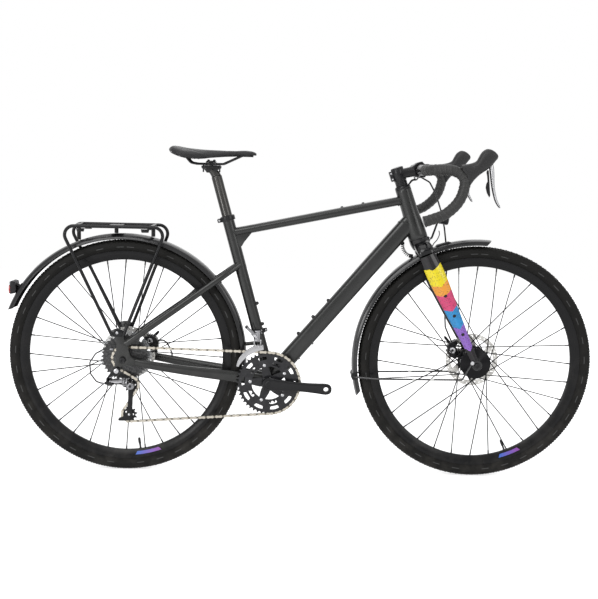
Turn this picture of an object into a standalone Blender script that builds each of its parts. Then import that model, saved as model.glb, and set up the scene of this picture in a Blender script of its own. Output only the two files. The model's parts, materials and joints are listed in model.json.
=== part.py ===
# Gravel bike with fenders, rear rack and lights, in metres.
# X points forward, Y to the bike's left, Z up; the drive side is at negative Y.
# Everything is laid out from the rear axle, then moved so that the origin is
# under the middle of the bike.
import math

import bmesh
import bpy
from mathutils import Matrix, Vector

for old in list(bpy.data.objects):
    bpy.data.objects.remove(old, do_unlink=True)

# Wheels
WHEEL_RADIUS = 0.350
WHEEL_SPACE = 0.3466
WHEELBASE = 2 * WHEEL_RADIUS + WHEEL_SPACE
TYRE_WIDTH = 0.040
TYRE_HEIGHT = 0.0392
BEAD_RADIUS = WHEEL_RADIUS - TYRE_HEIGHT
RIM_DEPTH = 0.027
RIM_WIDTH = 0.025
RIM_WALL = 0.003
SPOKE_COUNT = 32
SPOKE_RADIUS = 0.0010
ROTOR_RADIUS = 0.080
ROTOR_THICKNESS = 0.0018
AXLE_RADIUS = 0.006
FRONT_HUB_HALF = 0.050
REAR_HUB_HALF = 0.0675
WHEEL_SEGMENTS = 24

# Frame
HEAD_ANGLE = 71.0
FORK_OFFSET = 0.051
CROWN_CLEARANCE = 0.0415
AXLE_TO_CROWN = WHEEL_RADIUS + CROWN_CLEARANCE
HEAD_TUBE_LENGTH = 0.153
HEAD_TUBE_BOTTOM_RADIUS = 0.0288
HEAD_TUBE_TOP_RADIUS = 0.0232
STEERER_RADIUS = 0.0143
STEERER_FOOT_RADIUS = 0.0199
SEAT_TUBE_CLEARANCE = 0.085
CHAINSTAY_LENGTH = WHEEL_RADIUS + SEAT_TUBE_CLEARANCE
BOTTOM_BRACKET_DROP = 0.0665
SHELL_RADIUS = 0.021
SHELL_HALF = 0.034
SEAT_TUBE_ANGLE = 74.4
SEAT_TUBE_SHIFT = 0.005
SEAT_TUBE_LENGTH = 0.511
SEAT_TUBE_RADIUS = 0.01745
POST_RADIUS = 0.01545
TOP_TUBE_SEAT_DROP = 0.052
SEATSTAY_DROP = 0.148
TOP_TUBE_HEAD_HEIGHT = 0.120
TOP_TUBE_WIDTH = 0.036
TOP_TUBE_HEIGHT = 0.026
DOWN_TUBE_HEAD_HEIGHT = 0.060
DOWN_TUBE_WIDTH = 0.045
DOWN_TUBE_HEIGHT = 0.050
DROPOUT_THICKNESS = 0.007
BOSS_RADIUS = 0.0055
BOSS_HEIGHT = 0.005

# Cockpit
SPACER_HEIGHT = 0.0235
SPACER_RADIUS = 0.0160
STEM_LENGTH = 0.0645
STEM_FALL = 0.007
STEM_CLAMP_HEIGHT = 0.040
BAR_CLAMP_RADIUS = 0.0159
BAR_RADIUS = 0.0119
BAR_HALF_WIDTH = 0.2205
BAR_REACH = 0.097
BAR_DROP = 0.139
BAR_FLARE = 0.014
TAPE_THICKNESS = 0.0036
TAPE_TURNS = 14
TAPE_SIDES = 8
HOOD_WIDTH = 0.034
LEVER_WIDTH = 0.012
LEVER_LENGTH = 0.128

# Seat
POST_LENGTH = 0.300
SADDLE_LENGTH = 0.255
SADDLE_WIDTH = 0.145
SADDLE_NOSE_WIDTH = 0.038
SADDLE_HEIGHT = 0.968
RAIL_DROP = 0.042
POST_HEAD_HEIGHT = 0.0328
RAIL_RADIUS = 0.0035
RAIL_SPACING = 0.044

# Drivetrain
PITCH = 0.0127
CHAIN_PLANE = -0.0495
CHAIN_HALF_HEIGHT = 0.0041
ROLLER_HALF = 0.0032
INNER_LINK_HALF = 0.0012
PLATE_THICKNESS = 0.0009
OUTER_TEETH = 46
INNER_TEETH = 30
RING_SPACING = 0.0075
RING_THICKNESS = 0.0018
SPROCKET_TEETH = (11, 13, 15, 17, 20, 23, 26, 30, 34)
DRIVEN_SPROCKET = 3
SPROCKET_SPACING = 0.00434
SPROCKET_THICKNESS = 0.0016
PULLEY_TEETH = 11
CAGE_LENGTH = 0.090
CAGE_ANGLE = -93.0
CRANK_LENGTH = 0.170
CRANK_ANGLE = -3.0
BOLT_CIRCLE_RADIUS = 0.055
SPINDLE_RADIUS = 0.012
PEDAL_HOLE_RADIUS = 0.007
PEDAL_FACE = 0.0845
ARM_THICKNESS = 0.013

# Rear derailleur
HANGER_BACK = 0.017
HANGER_FALL = 0.032
LINK_LENGTH = 0.040
LINK_SPACING = 0.012
LINK_SLANT = 40.0
GUIDE_FORWARD = 0.022
GUIDE_FALL = 0.079

# Front derailleur
SHIFT_CLAMP_HEIGHT = 0.152
SHIFT_CAGE_CLEARANCE = 0.0065
SHIFT_CAGE_HALF = 0.0056

# Fenders, rack and lights
FENDER_CLEARANCE = 0.0195
FENDER_RADIUS = WHEEL_RADIUS + FENDER_CLEARANCE
FENDER_WIDTH = 0.054
FENDER_THICKNESS = 0.0018
FENDER_DEPTH = 0.0160
REAR_FENDER_SHIFT = 0.008
REAR_FENDER_DROP = 0.002
REAR_FENDER_START = -4.0
REAR_FENDER_END = 158.56
FRONT_FENDER_START = 84.5
FRONT_FENDER_END = 197.0
RACK_TUBE_RADIUS = 0.005
RACK_HALF_WIDTH = 0.060
RACK_RISE = 0.390
RACK_TOP = WHEEL_RADIUS + RACK_RISE
RACK_LENGTH = 0.290
RACK_FOOT_HALF_WIDTH = 0.0795
STAY_RADIUS = 0.0026

# Clearances
SEAT_GAP = 0.0003
RUNNING_GAP = 0.0004

# Sides of the round pieces
TUBE_SIDES = 12
HUB_SIDES = 16
SMALL_SIDES = 6

bbX = math.sqrt(CHAINSTAY_LENGTH ** 2 - BOTTOM_BRACKET_DROP ** 2)
bbZ = WHEEL_RADIUS - BOTTOM_BRACKET_DROP
rearAxle = Vector((0, 0, WHEEL_RADIUS))
frontAxle = Vector((WHEELBASE, 0, WHEEL_RADIUS))
crankAxle = Vector((bbX, 0, bbZ))

headTilt = math.radians(HEAD_ANGLE)
steerUp = Vector((-math.cos(headTilt), 0, math.sin(headTilt)))
steerForward = Vector((math.sin(headTilt), 0, math.cos(headTilt)))
steerOrigin = frontAxle - steerForward * FORK_OFFSET
steerOrigin -= steerUp * ((steerOrigin.z - WHEEL_RADIUS) / steerUp.z)
seatTilt = math.radians(SEAT_TUBE_ANGLE)
seatUp = Vector((-math.cos(seatTilt), 0, math.sin(seatTilt)))
seatForward = Vector((math.sin(seatTilt), 0, math.cos(seatTilt)))
seatOrigin = crankAxle + Vector((SEAT_TUBE_SHIFT, 0, 0))

rimOuter = BEAD_RADIUS + 0.0057
rimInner = rimOuter - RIM_DEPTH
headBottom = AXLE_TO_CROWN + SEAT_GAP
headTop = headBottom + HEAD_TUBE_LENGTH
stemMiddle = headTop + SEAT_GAP * 2 + SPACER_HEIGHT + STEM_CLAMP_HEIGHT / 2
fenderInnerRadius = FENDER_RADIUS - FENDER_THICKNESS
rearFenderCentre = rearAxle + Vector((-REAR_FENDER_SHIFT, 0, -REAR_FENDER_DROP))


def onSteering(along, forward=0.0, y=0.0):
    return steerOrigin + steerUp * along + steerForward * forward + Vector((0, y, 0))


def onSeatTube(along, forward=0.0, y=0.0):
    return seatOrigin + seatUp * along + seatForward * forward + Vector((0, y, 0))


def polar(centre, radius, degrees, y=0.0):
    angle = math.radians(degrees)
    return Vector((centre.x + radius * math.cos(angle), y, centre.z + radius * math.sin(angle)))


# Materials, one for each finish
def finish(name, colour, roughness, metallic):
    material = bpy.data.materials.new(name)
    material.use_nodes = True
    shader = material.node_tree.nodes["Principled BSDF"]
    shader.inputs["Base Color"].default_value = (*colour, 1.0)
    shader.inputs["Roughness"].default_value = roughness
    shader.inputs["Metallic"].default_value = metallic
    material.diffuse_color = (*colour, 1.0)
    return material


framePaint = finish("frame_anthracite", (0.030, 0.031, 0.030), 0.35, 0.6)
forkPaint = finish("fork_gloss", (0.65, 0.20, 0.22), 0.20, 0.0)
blackMetal = finish("black_metal", (0.012, 0.012, 0.013), 0.35, 0.6)
blackGloss = finish("black_gloss", (0.010, 0.010, 0.011), 0.20, 0.0)
blackPlastic = finish("black_plastic", (0.015, 0.015, 0.016), 0.50, 0.0)
tyreRubber = finish("tyre_rubber", (0.022, 0.021, 0.019), 0.75, 0.0)
barTape = finish("bar_tape", (0.020, 0.020, 0.019), 0.65, 0.0)
saddleVinyl = finish("saddle_vinyl", (0.022, 0.023, 0.025), 0.50, 0.0)
silverMetal = finish("silver_metal", (0.55, 0.55, 0.56), 0.30, 1.0)
chainSteel = finish("chain_steel", (0.42, 0.39, 0.34), 0.35, 1.0)
rotorSteel = finish("rotor_steel", (0.50, 0.50, 0.51), 0.35, 1.0)
lampBlack = finish("lamp_black", (0.015, 0.015, 0.016), 0.30, 0.0)


# Making solids
def toObject(bm, name, material=None):
    bmesh.ops.remove_doubles(bm, verts=bm.verts, dist=0.000001)
    bmesh.ops.recalc_face_normals(bm, faces=bm.faces)
    mesh = bpy.data.meshes.new(name)
    bm.to_mesh(mesh)
    bm.free()
    made = bpy.data.objects.new(name, mesh)
    bpy.context.collection.objects.link(made)
    if material:
        mesh.materials.append(material)
    return made


def settle(made):
    # replaces an object's mesh by the one that its modifiers give
    graph = bpy.context.evaluated_depsgraph_get()
    mesh = bpy.data.meshes.new_from_object(made.evaluated_get(graph))
    made.modifiers.clear()
    made.data = mesh


def combine(made, operation, tools):
    for tool in tools:
        tool.hide_render = True
        tool.display_type = "WIRE"
        fit = made.modifiers.new("fit", "BOOLEAN")
        fit.operation = operation
        fit.solver = "EXACT"
        fit.object = tool
        settle(made)
        bpy.data.objects.remove(tool, do_unlink=True)
    return made


def join(made, *tools):
    return combine(made, "UNION", tools)


def cut(made, *tools):
    return combine(made, "DIFFERENCE", tools)


def chamfer(made, width, angle=40.0, segments=1):
    edge = made.modifiers.new("edge", "BEVEL")
    edge.width = width
    edge.segments = segments
    edge.limit_method = "ANGLE"
    edge.angle_limit = math.radians(angle)
    settle(made)
    return made


def axisFrame(origin, direction, side=Vector((1, 0, 0))):
    # local Z runs along the direction, local X lies near the side
    up = direction.normalized()
    across = (side - up * side.dot(up)).normalized()
    return Matrix.Translation(origin) @ Matrix((across, up.cross(across), up)).transposed().to_4x4()


def turned(name, profile, sides, frame, material=None):
    # turns (radius, height) points about the frame's Z axis
    bm = bmesh.new()
    points = [bm.verts.new((radius, 0, height)) for radius, height in profile]
    pairs = list(zip(points, points[1:]))
    if profile[0][0] > 0:
        pairs.append((points[-1], points[0]))
    edges = [bm.edges.new(pair) for pair in pairs]
    bmesh.ops.spin(bm, geom=points + edges, cent=(0, 0, 0), axis=(0, 0, 1),
                   angle=2 * math.pi, steps=sides, use_merge=False)
    bmesh.ops.remove_doubles(bm, verts=bm.verts, dist=0.000002)
    ends = {height for (radius, height), (_, following) in zip(profile, profile[1:])
            if radius == 0 and following == height}
    ends |= {height for (_, before), (radius, height) in zip(profile, profile[1:])
             if radius == 0 and before == height}
    flat = [v for v in bm.verts if v.co.xy.length < 0.000002 and any(abs(v.co.z - z) < 0.000002 for z in ends)]
    bmesh.ops.dissolve_verts(bm, verts=flat)
    bmesh.ops.transform(bm, matrix=frame, verts=bm.verts)
    return toObject(bm, name, material)


def roundBore(radius):
    # a bore whose flats clear a round piece of this radius
    return (radius + SEAT_GAP) / math.cos(math.pi / TUBE_SIDES)


def onAxle(centre):
    # a turning frame whose heights are distances along Y
    return axisFrame(centre, Vector((0, 1, 0)))


def rod(start, end, radius, sides=SMALL_SIDES, name="rod", material=None):
    start, end = Vector(start), Vector(end)
    length = (end - start).length
    side = Vector((1, 0, 0)) if abs((end - start).normalized().x) < 0.9 else Vector((0, 1, 0))
    frame = axisFrame(start, end - start, side)
    return turned(name, ((0, 0), (radius, 0), (radius, length), (0, length)), sides, frame, material)


def plate(name, outline, yStart, yEnd, material=None):
    # an outline of (x, z) points pushed out along Y
    bm = bmesh.new()
    face = bm.faces.new([bm.verts.new((x, yStart, z)) for x, z in outline])
    pushed = bmesh.ops.extrude_face_region(bm, geom=[face])
    top = [item for item in pushed["geom"] if isinstance(item, bmesh.types.BMVert)]
    bmesh.ops.translate(bm, verts=top, vec=(0, yEnd - yStart, 0))
    return toObject(bm, name, material)


def block(low, high, name="block", material=None):
    outline = ((low[0], low[2]), (high[0], low[2]), (high[0], high[2]), (low[0], high[2]))
    return plate(name, outline, low[1], high[1], material)


def lofted(name, rings, material=None, closed=False):
    # skins rings of points; open lofts get flat ends
    bm = bmesh.new()
    loops = [[bm.verts.new(point) for point in ring] for ring in rings]
    count = len(loops[0])
    spans = list(zip(loops, loops[1:]))
    if closed:
        spans.append((loops[-1], loops[0]))
    for near, far in spans:
        for i in range(count):
            j = (i + 1) % count
            bm.faces.new((near[i], near[j], far[j], far[i]))
    if not closed:
        bm.faces.new(loops[0])
        bm.faces.new(list(reversed(loops[-1])))
    return toObject(bm, name, material)


def ovalSection(halfWidth, halfHeight, sides, squareness=2.0):
    points = []
    for i in range(sides):
        angle = 2 * math.pi * (i + 0.5) / sides
        c, s = math.cos(angle), math.sin(angle)
        u = math.copysign(abs(c) ** (2 / squareness), c) * halfWidth
        v = math.copysign(abs(s) ** (2 / squareness), s) * halfHeight
        points.append((u, v))
    return points


def swept(name, path, sizes, sides=12, squareness=2.0, across=Vector((0, 1, 0)), material=None):
    # carries an oval of (half width, half height) along a path
    rings = []
    for i, point in enumerate(path):
        point = Vector(point)
        before = Vector(path[max(i - 1, 0)])
        after = Vector(path[min(i + 1, len(path) - 1)])
        run = (after - before).normalized()
        side = (across - run * across.dot(run)).normalized()
        up = run.cross(side)
        section = ovalSection(*sizes[i], sides, squareness)
        rings.append([point + side * u + up * v for u, v in section])
    return lofted(name, rings, material)


def smoothed(points, step):
    # a Catmull-Rom curve through the points, read about every step
    points = [Vector(point) for point in points]
    ends = [points[0] * 2 - points[1]] + points + [points[-1] * 2 - points[-2]]
    fine = []
    for i in range(1, len(ends) - 2):
        a, b, c, d = ends[i - 1:i + 3]
        for k in range(12):
            t = k / 12
            fine.append(0.5 * (2 * b + (c - a) * t + (2 * a - 5 * b + 4 * c - d) * t * t
                               + (3 * b - a - 3 * c + d) * t ** 3))
    fine.append(points[-1])
    lengths = [0.0]
    for a, b in zip(fine, fine[1:]):
        lengths.append(lengths[-1] + (b - a).length)
    count = max(2, round(lengths[-1] / step))
    read, k = [], 0
    for i in range(count + 1):
        target = lengths[-1] * i / count
        while k < len(fine) - 2 and lengths[k + 1] < target:
            k += 1
        share = (target - lengths[k]) / (lengths[k + 1] - lengths[k])
        read.append(fine[k].lerp(fine[k + 1], share))
    return read


def filleted(points, radius, steps=3):
    # a run of straight lines whose corners are rounded
    points = [Vector(point) for point in points]
    path = [points[0]]
    for before, corner, after in zip(points, points[1:], points[2:]):
        to, away = (before - corner).normalized(), (after - corner).normalized()
        turn = to.angle(away)
        reach = radius / math.tan(turn / 2)
        centre = corner + (to + away).normalized() * (radius / math.sin(turn / 2))
        start, end = corner + to * reach - centre, corner + away * reach - centre
        for k in range(steps + 1):
            path.append(centre + start.slerp(end, k / steps) * radius)
    path.append(points[-1])
    return path


def tube(name, points, radius, resolution=2, material=None, radii=None):
    # a bevelled curve made a mesh
    curve = bpy.data.curves.new(name, "CURVE")
    curve.dimensions = "3D"
    curve.bevel_depth = radius
    curve.bevel_resolution = resolution
    curve.use_fill_caps = True
    spline = curve.splines.new("POLY")
    spline.points.add(len(points) - 1)
    for i, (knot, point) in enumerate(zip(spline.points, points)):
        knot.co = (*point, 1.0)
        knot.radius = radii[i] / radius if radii else 1.0
    holder = bpy.data.objects.new(name, curve)
    bpy.context.collection.objects.link(holder)
    mesh = bpy.data.meshes.new_from_object(holder.evaluated_get(bpy.context.evaluated_depsgraph_get()))
    bpy.data.objects.remove(holder, do_unlink=True)
    bm = bmesh.new()
    bm.from_mesh(mesh)
    return toObject(bm, name, material)


def mirroredPoints(points):
    return [Vector((point[0], -point[1], point[2])) for point in points]


# Joint axes, each an empty that the moving pieces hang from
bike = bpy.data.objects.new("bike", None)
bpy.context.collection.objects.link(bike)


def axisEmpty(name, location, parent=bike):
    empty = bpy.data.objects.new(name, None)
    empty.empty_display_size = 0.03
    bpy.context.collection.objects.link(empty)
    empty.parent = parent
    parentPlace = Vector(parent.get("place", (0, 0, 0)))
    empty.location = Vector(location) - parentPlace
    empty["place"] = tuple(location)
    return empty


def hang(made, axis, material):
    # gives a finished piece its axis, its finish and smooth shading
    place = Vector(axis.get("place", (0, 0, 0)))
    bm = bmesh.new()
    bm.from_mesh(made.data)
    bmesh.ops.dissolve_limit(bm, angle_limit=0.005, verts=bm.verts, edges=bm.edges)
    bmesh.ops.translate(bm, verts=bm.verts, vec=-place)
    bm.to_mesh(made.data)
    bm.free()
    made.data.materials.clear()
    made.data.materials.append(material)
    made.data.shade_smooth()
    made.data.set_sharp_from_angle(angle=math.radians(35))
    made.parent = axis
    return made


steeringAxis = axisEmpty("steering_axis", onSteering(headBottom))
frontWheelAxis = axisEmpty("front_wheel_axis", frontAxle, steeringAxis)
rearWheelAxis = axisEmpty("rear_wheel_axis", rearAxle)
cassetteAxis = axisEmpty("cassette_axis", rearAxle)
crankSpin = axisEmpty("crank_axis", crankAxle)
seatSlide = axisEmpty("seatpost_axis", onSeatTube(SEAT_TUBE_LENGTH))


# Wheels
def makeTyre(name, centre):
    half = TYRE_WIDTH / 2
    foot = RIM_WIDTH / 2 - RIM_WALL - SEAT_GAP
    lip = rimOuter + SEAT_GAP
    crown = WHEEL_RADIUS - lip
    side = [(BEAD_RADIUS, foot), (lip, foot), (lip + crown * 0.40, half), (lip + crown * 0.84, half * 0.68)]
    profile = side + [(WHEEL_RADIUS, 0.0)] + [(radius, -y) for radius, y in reversed(side)]
    return turned(name, profile, WHEEL_SEGMENTS, onAxle(centre))


def makeRim(name, centre):
    half = RIM_WIDTH / 2
    well = BEAD_RADIUS - SEAT_GAP
    side = [(well, half - RIM_WALL), (rimOuter, half - RIM_WALL), (rimOuter, half), (rimInner, half * 0.40)]
    profile = side + [(radius, -y) for radius, y in reversed(side)]
    return turned(name, profile, WHEEL_SEGMENTS, onAxle(centre))


def makeRotor(name, centre, plane, bossRadius):
    half = ROTOR_THICKNESS / 2
    disc = turned(name, ((bossRadius + SEAT_GAP, -half), (ROTOR_RADIUS, -half), (ROTOR_RADIUS, half),
                         (bossRadius + SEAT_GAP, half)), 20, onAxle(centre + Vector((0, plane, 0))))
    windows = 5
    trackInner, carrier = ROTOR_RADIUS - 0.014, bossRadius + 0.010
    for k in range(windows):
        middle = 360 / windows * k + 4
        corners = ((trackInner, -28), (trackInner, 0), (trackInner, 28), (carrier, 6), (carrier, -18))
        outline = [polar(centre, radius, middle + turn) for radius, turn in corners]
        cut(disc, plate("window", [(p.x, p.z) for p in outline], plane - 0.01, plane + 0.01))
    return disc


flangeHalf = 0.0021


def rimFacet(degrees):
    # how far the rim's inner facets stand from the axle in this direction
    facet = 2 * math.pi / WHEEL_SEGMENTS
    offset = math.radians(degrees) % facet - facet / 2
    return rimInner * math.cos(facet / 2) / math.cos(offset)


def makeSpokes(centre, flanges, flangeRadius):
    # crossed spokes, each a slim three-sided rod from the middle of a flange facet to the rim
    spacing = 360 / SPOKE_COUNT
    bm = bmesh.new()
    for k in range(SPOKE_COUNT):
        left = k % 2
        leading = 1 if k % 4 < 2 else -1
        rimAngle = 90 + spacing * k
        hubAngle = rimAngle + leading * spacing * (6 if left else 5)
        lateral = leading * (flangeHalf - SPOKE_RADIUS)
        facet = flangeRadius * math.cos(math.pi / HUB_SIDES)
        surface = polar(centre, facet, hubAngle, flanges[left] + lateral)
        offCentre = 0.0012 if left else -0.0012
        end = polar(centre, rimFacet(rimAngle) - SEAT_GAP * 2, rimAngle, offCentre + lateral)
        run = (end - surface).normalized()
        start = surface - run * 0.007
        side = run.cross(Vector((0, 1, 0))).normalized()
        up = run.cross(side)
        ends = []
        for point in (start, end):
            ring = []
            for n in range(3):
                angle = 2 * math.pi * n / 3
                offset = (side * math.cos(angle) + up * math.sin(angle)) * SPOKE_RADIUS
                ring.append(bm.verts.new(point + offset))
            ends.append(ring)
        bm.faces.new(ends[0])
        bm.faces.new(list(reversed(ends[1])))
        for n in range(3):
            bm.faces.new((ends[0][n], ends[1][n], ends[1][(n + 1) % 3], ends[0][(n + 1) % 3]))
    return toObject(bm, "spokes")


axleBore = AXLE_RADIUS + RUNNING_GAP
rotorBossRadius = 0.022
frontRotorPlane = FRONT_HUB_HALF - 0.0105
rearRotorPlane = REAR_HUB_HALF - 0.0153
endCapRadius = 0.0095


def hubEnd(half, side):
    return side * (half - SEAT_GAP)


def makeFrontHub(name):
    # a dynamo hub: a wide drum between two spoke flanges
    drum, flange = 0.0405, 0.0455
    flanges = (-0.0285, 0.0225)
    profile = [(axleBore, hubEnd(FRONT_HUB_HALF, -1)), (endCapRadius, hubEnd(FRONT_HUB_HALF, -1)),
               (endCapRadius, -0.037), (flange, flanges[0] - flangeHalf), (flange, flanges[0] + flangeHalf),
               (drum, flanges[0] + flangeHalf), (drum, flanges[1] - flangeHalf),
               (flange, flanges[1] - flangeHalf), (flange, flanges[1] + flangeHalf),
               (rotorBossRadius, flanges[1] + 0.006),
               (rotorBossRadius, frontRotorPlane + 0.0012), (endCapRadius, frontRotorPlane + 0.0012),
               (endCapRadius, hubEnd(FRONT_HUB_HALF, 1)), (axleBore, hubEnd(FRONT_HUB_HALF, 1))]
    hub = turned(name, profile, HUB_SIDES, onAxle(frontAxle))
    return join(hub, makeSpokes(frontAxle, flanges, flange))


freehubRadius = 0.0170
largestPlane = CHAIN_PLANE + (len(SPROCKET_TEETH) - 1 - DRIVEN_SPROCKET) * SPROCKET_SPACING
smallestPlane = CHAIN_PLANE - DRIVEN_SPROCKET * SPROCKET_SPACING


def makeRearHub(name):
    # hub shell with the freehub body on the drive side
    barrel, flange = 0.0160, 0.0285
    rightFlange = largestPlane + 0.0063
    flanges = (rightFlange, 0.0335)
    profile = [(axleBore, hubEnd(REAR_HUB_HALF, -1)), (endCapRadius, hubEnd(REAR_HUB_HALF, -1)),
               (endCapRadius, smallestPlane - 0.0028), (freehubRadius, smallestPlane - 0.0020),
               (freehubRadius, rightFlange - 0.0040), (flange, rightFlange - flangeHalf),
               (flange, rightFlange + flangeHalf), (barrel, rightFlange + 0.0045),
               (barrel, flanges[1] - 0.0045), (flange, flanges[1] - flangeHalf), (flange, flanges[1] + flangeHalf),
               (rotorBossRadius, flanges[1] + 0.005), (rotorBossRadius, rearRotorPlane + 0.0012),
               (endCapRadius, rearRotorPlane + 0.0012), (endCapRadius, hubEnd(REAR_HUB_HALF, 1)),
               (axleBore, hubEnd(REAR_HUB_HALF, 1))]
    hub = turned(name, profile, HUB_SIDES, onAxle(rearAxle))
    return join(hub, makeSpokes(rearAxle, flanges, flange))


def makeAxle(name, centre, outerFace):
    # a clamped axle with a head at each end
    head = outerFace + SEAT_GAP
    profile = ((0, -head - 0.006), (0.0085, -head - 0.006), (0.0085, -head), (AXLE_RADIUS, -head),
               (AXLE_RADIUS, head), (0.0095, head), (0.0095, head + 0.008), (0, head + 0.008))
    return turned(name, profile, 8, onAxle(centre))


for wheelName, centre, axis in (("front", frontAxle, frontWheelAxis), ("rear", rearAxle, rearWheelAxis)):
    hang(makeTyre(wheelName + "_tyre", centre), axis, tyreRubber)
    hang(makeRim(wheelName + "_rim", centre), axis, blackMetal)
hang(makeFrontHub("front_hub_spokes"), frontWheelAxis, blackMetal)
hang(makeRearHub("rear_hub_spokes"), rearWheelAxis, blackMetal)
hang(makeRotor("front_rotor", frontAxle, frontRotorPlane, rotorBossRadius), frontWheelAxis, rotorSteel)
hang(makeRotor("rear_rotor", rearAxle, rearRotorPlane, rotorBossRadius), rearWheelAxis, rotorSteel)

# Frame
dropoutInner = REAR_HUB_HALF
dropoutOuter = dropoutInner + DROPOUT_THICKNESS
rackLug = Vector((-0.015, 0, WHEEL_RADIUS + 0.084))
hangerPoint = rearAxle + Vector((-HANGER_BACK, 0, -HANGER_FALL))
caliperPadTop = WHEEL_RADIUS + 0.012
caliperPads = (0.047, 0.079)


def makeHeadTube():
    height = HEAD_TUBE_LENGTH
    profile = ((0, 0), (HEAD_TUBE_BOTTOM_RADIUS, 0), (HEAD_TUBE_BOTTOM_RADIUS * 0.985, height * 0.20),
               (HEAD_TUBE_TOP_RADIUS * 1.03, height * 0.55), (HEAD_TUBE_TOP_RADIUS, height), (0, height))
    return turned("frame", profile, TUBE_SIDES, axisFrame(onSteering(headBottom), steerUp))


def steererProfile(grow, foot, top):
    # the steerer narrows from its foot to its straight part; a bore around it also clears its corners
    taper = headBottom + HEAD_TUBE_LENGTH * 0.30
    spread = 1 / math.cos(math.pi / TUBE_SIDES) if grow else 1.0
    wide, narrow = (STEERER_FOOT_RADIUS + grow) * spread, (STEERER_RADIUS + grow) * spread
    return (0, foot), (wide, foot), (wide, headBottom + 0.012), (narrow, taper), (narrow, top), (0, top)


def makeDropout(side):
    a = rearAxle
    raw = [(0.014, -0.016), (0.034, -0.019), (0.042, -0.004), (0.024, 0.010), (0.017, 0.030), (0.016, 0.046),
           (0.002, 0.064), (-0.004, 0.086), (-0.012, 0.094), (-0.021, 0.092), (-0.026, 0.080), (-0.018, 0.050),
           (-0.019, 0.012), (-0.019, -0.006)]
    if side < 0:
        raw += [(-HANGER_BACK - 0.008, -HANGER_FALL + 0.010), (-HANGER_BACK - 0.009, -HANGER_FALL - 0.004),
                (-HANGER_BACK, -HANGER_FALL - 0.010), (-HANGER_BACK + 0.009, -HANGER_FALL - 0.005),
                (-HANGER_BACK + 0.012, -HANGER_FALL + 0.012)]
    else:
        raw += [(-0.010, -0.017)]
    outline = [(a.x + x, a.z + z) for x, z in raw]
    return plate("dropout", outline, side * dropoutInner, side * dropoutOuter)


def makeChainstay(side):
    lateral = dropoutInner + DROPOUT_THICKNESS / 2
    drop = bbZ - WHEEL_RADIUS
    shape = ((0.085, 1.000, 0.10, 0.0060, 0.0095), (0.180, 0.965, 0.22, 0.0082, 0.0118),
             (0.465, 0.790, 0.50, 0.0100, 0.0143),
             (0.695, 0.545, 0.70, 0.0100, 0.0170), (0.800, 0.437, 0.80, 0.0085, 0.0178),
             (0.925, 0.345, 0.93, 0.0090, 0.0175), (0.985, 0.300, 0.98, 0.0090, 0.0170))
    path = [(bbX * along, side * lateral * out, WHEEL_RADIUS + drop * fall) for along, out, fall, _, _ in shape]
    return swept("chainstay", path, [(width, height) for _, _, _, width, height in shape], 8, 2.6)


stayTop = onSeatTube(SEAT_TUBE_LENGTH - SEATSTAY_DROP)


stayFoot = rearAxle + Vector((0.008, 0, 0.046))
stayRun = (stayTop - stayFoot).normalized()
stayShape = ((0.0, 1.000, 0.0060), (0.18, 0.990, 0.0073), (0.55, 0.765, 0.0075), (0.82, 0.575, 0.0075),
             (0.93, 0.380, 0.0075), (1.0, 0.150, 0.0075))
stayLateral = dropoutInner + DROPOUT_THICKNESS / 2


def makeSeatstay(side):
    path = []
    for share, out, _ in stayShape:
        point = stayFoot.lerp(stayTop, share)
        point.y = side * stayLateral * out
        path.append(point)
    return swept("seatstay", path, [(width, 0.0095) for _, _, width in stayShape], 8, 2.2)


def stayCrossing(radius):
    # where the stays leave a circle about the rear fender's centre, and how far apart they stand there
    offset = stayFoot - rearFenderCentre
    along = -stayRun.dot(offset)
    away = (offset + stayRun * along).length
    point = stayFoot + stayRun * (along + math.sqrt(radius ** 2 - away ** 2))
    share = (point - stayFoot).length / (stayTop - stayFoot).length
    for (low, lowOut, _), (high, highOut, _) in zip(stayShape, stayShape[1:]):
        if low <= share <= high:
            return point, stayLateral * (lowOut + (highOut - lowOut) * (share - low) / (high - low))
    return point, stayLateral * stayShape[-1][1]


def boss(foot, direction, radius=BOSS_RADIUS, height=BOSS_HEIGHT, sink=0.004):
    direction = direction.normalized()
    return rod(foot - direction * sink, foot + direction * height, radius)


downTubeTop = onSteering(headBottom + DOWN_TUBE_HEAD_HEIGHT)
downRun = (downTubeTop - crankAxle).normalized()
downNormal = Vector((-downRun.z, 0, downRun.x))
railHeight = SADDLE_HEIGHT - RAIL_DROP
postTop = (railHeight - POST_HEAD_HEIGHT - crankAxle.z) / seatUp.z
topTubeHeight = SEAT_TUBE_LENGTH - TOP_TUBE_SEAT_DROP
topTubeRear = onSeatTube(topTubeHeight)
topTubeFront = onSteering(headBottom + TOP_TUBE_HEAD_HEIGHT)
topRun = (topTubeFront - topTubeRear).normalized()
topNormal = Vector((-topRun.z, 0, topRun.x))
downBossSpots = (0.165, 0.232)
seatBossSpots = (0.172, 0.236)
seatFenderHeight = 0.118
bridgeRadius = 0.006


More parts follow.
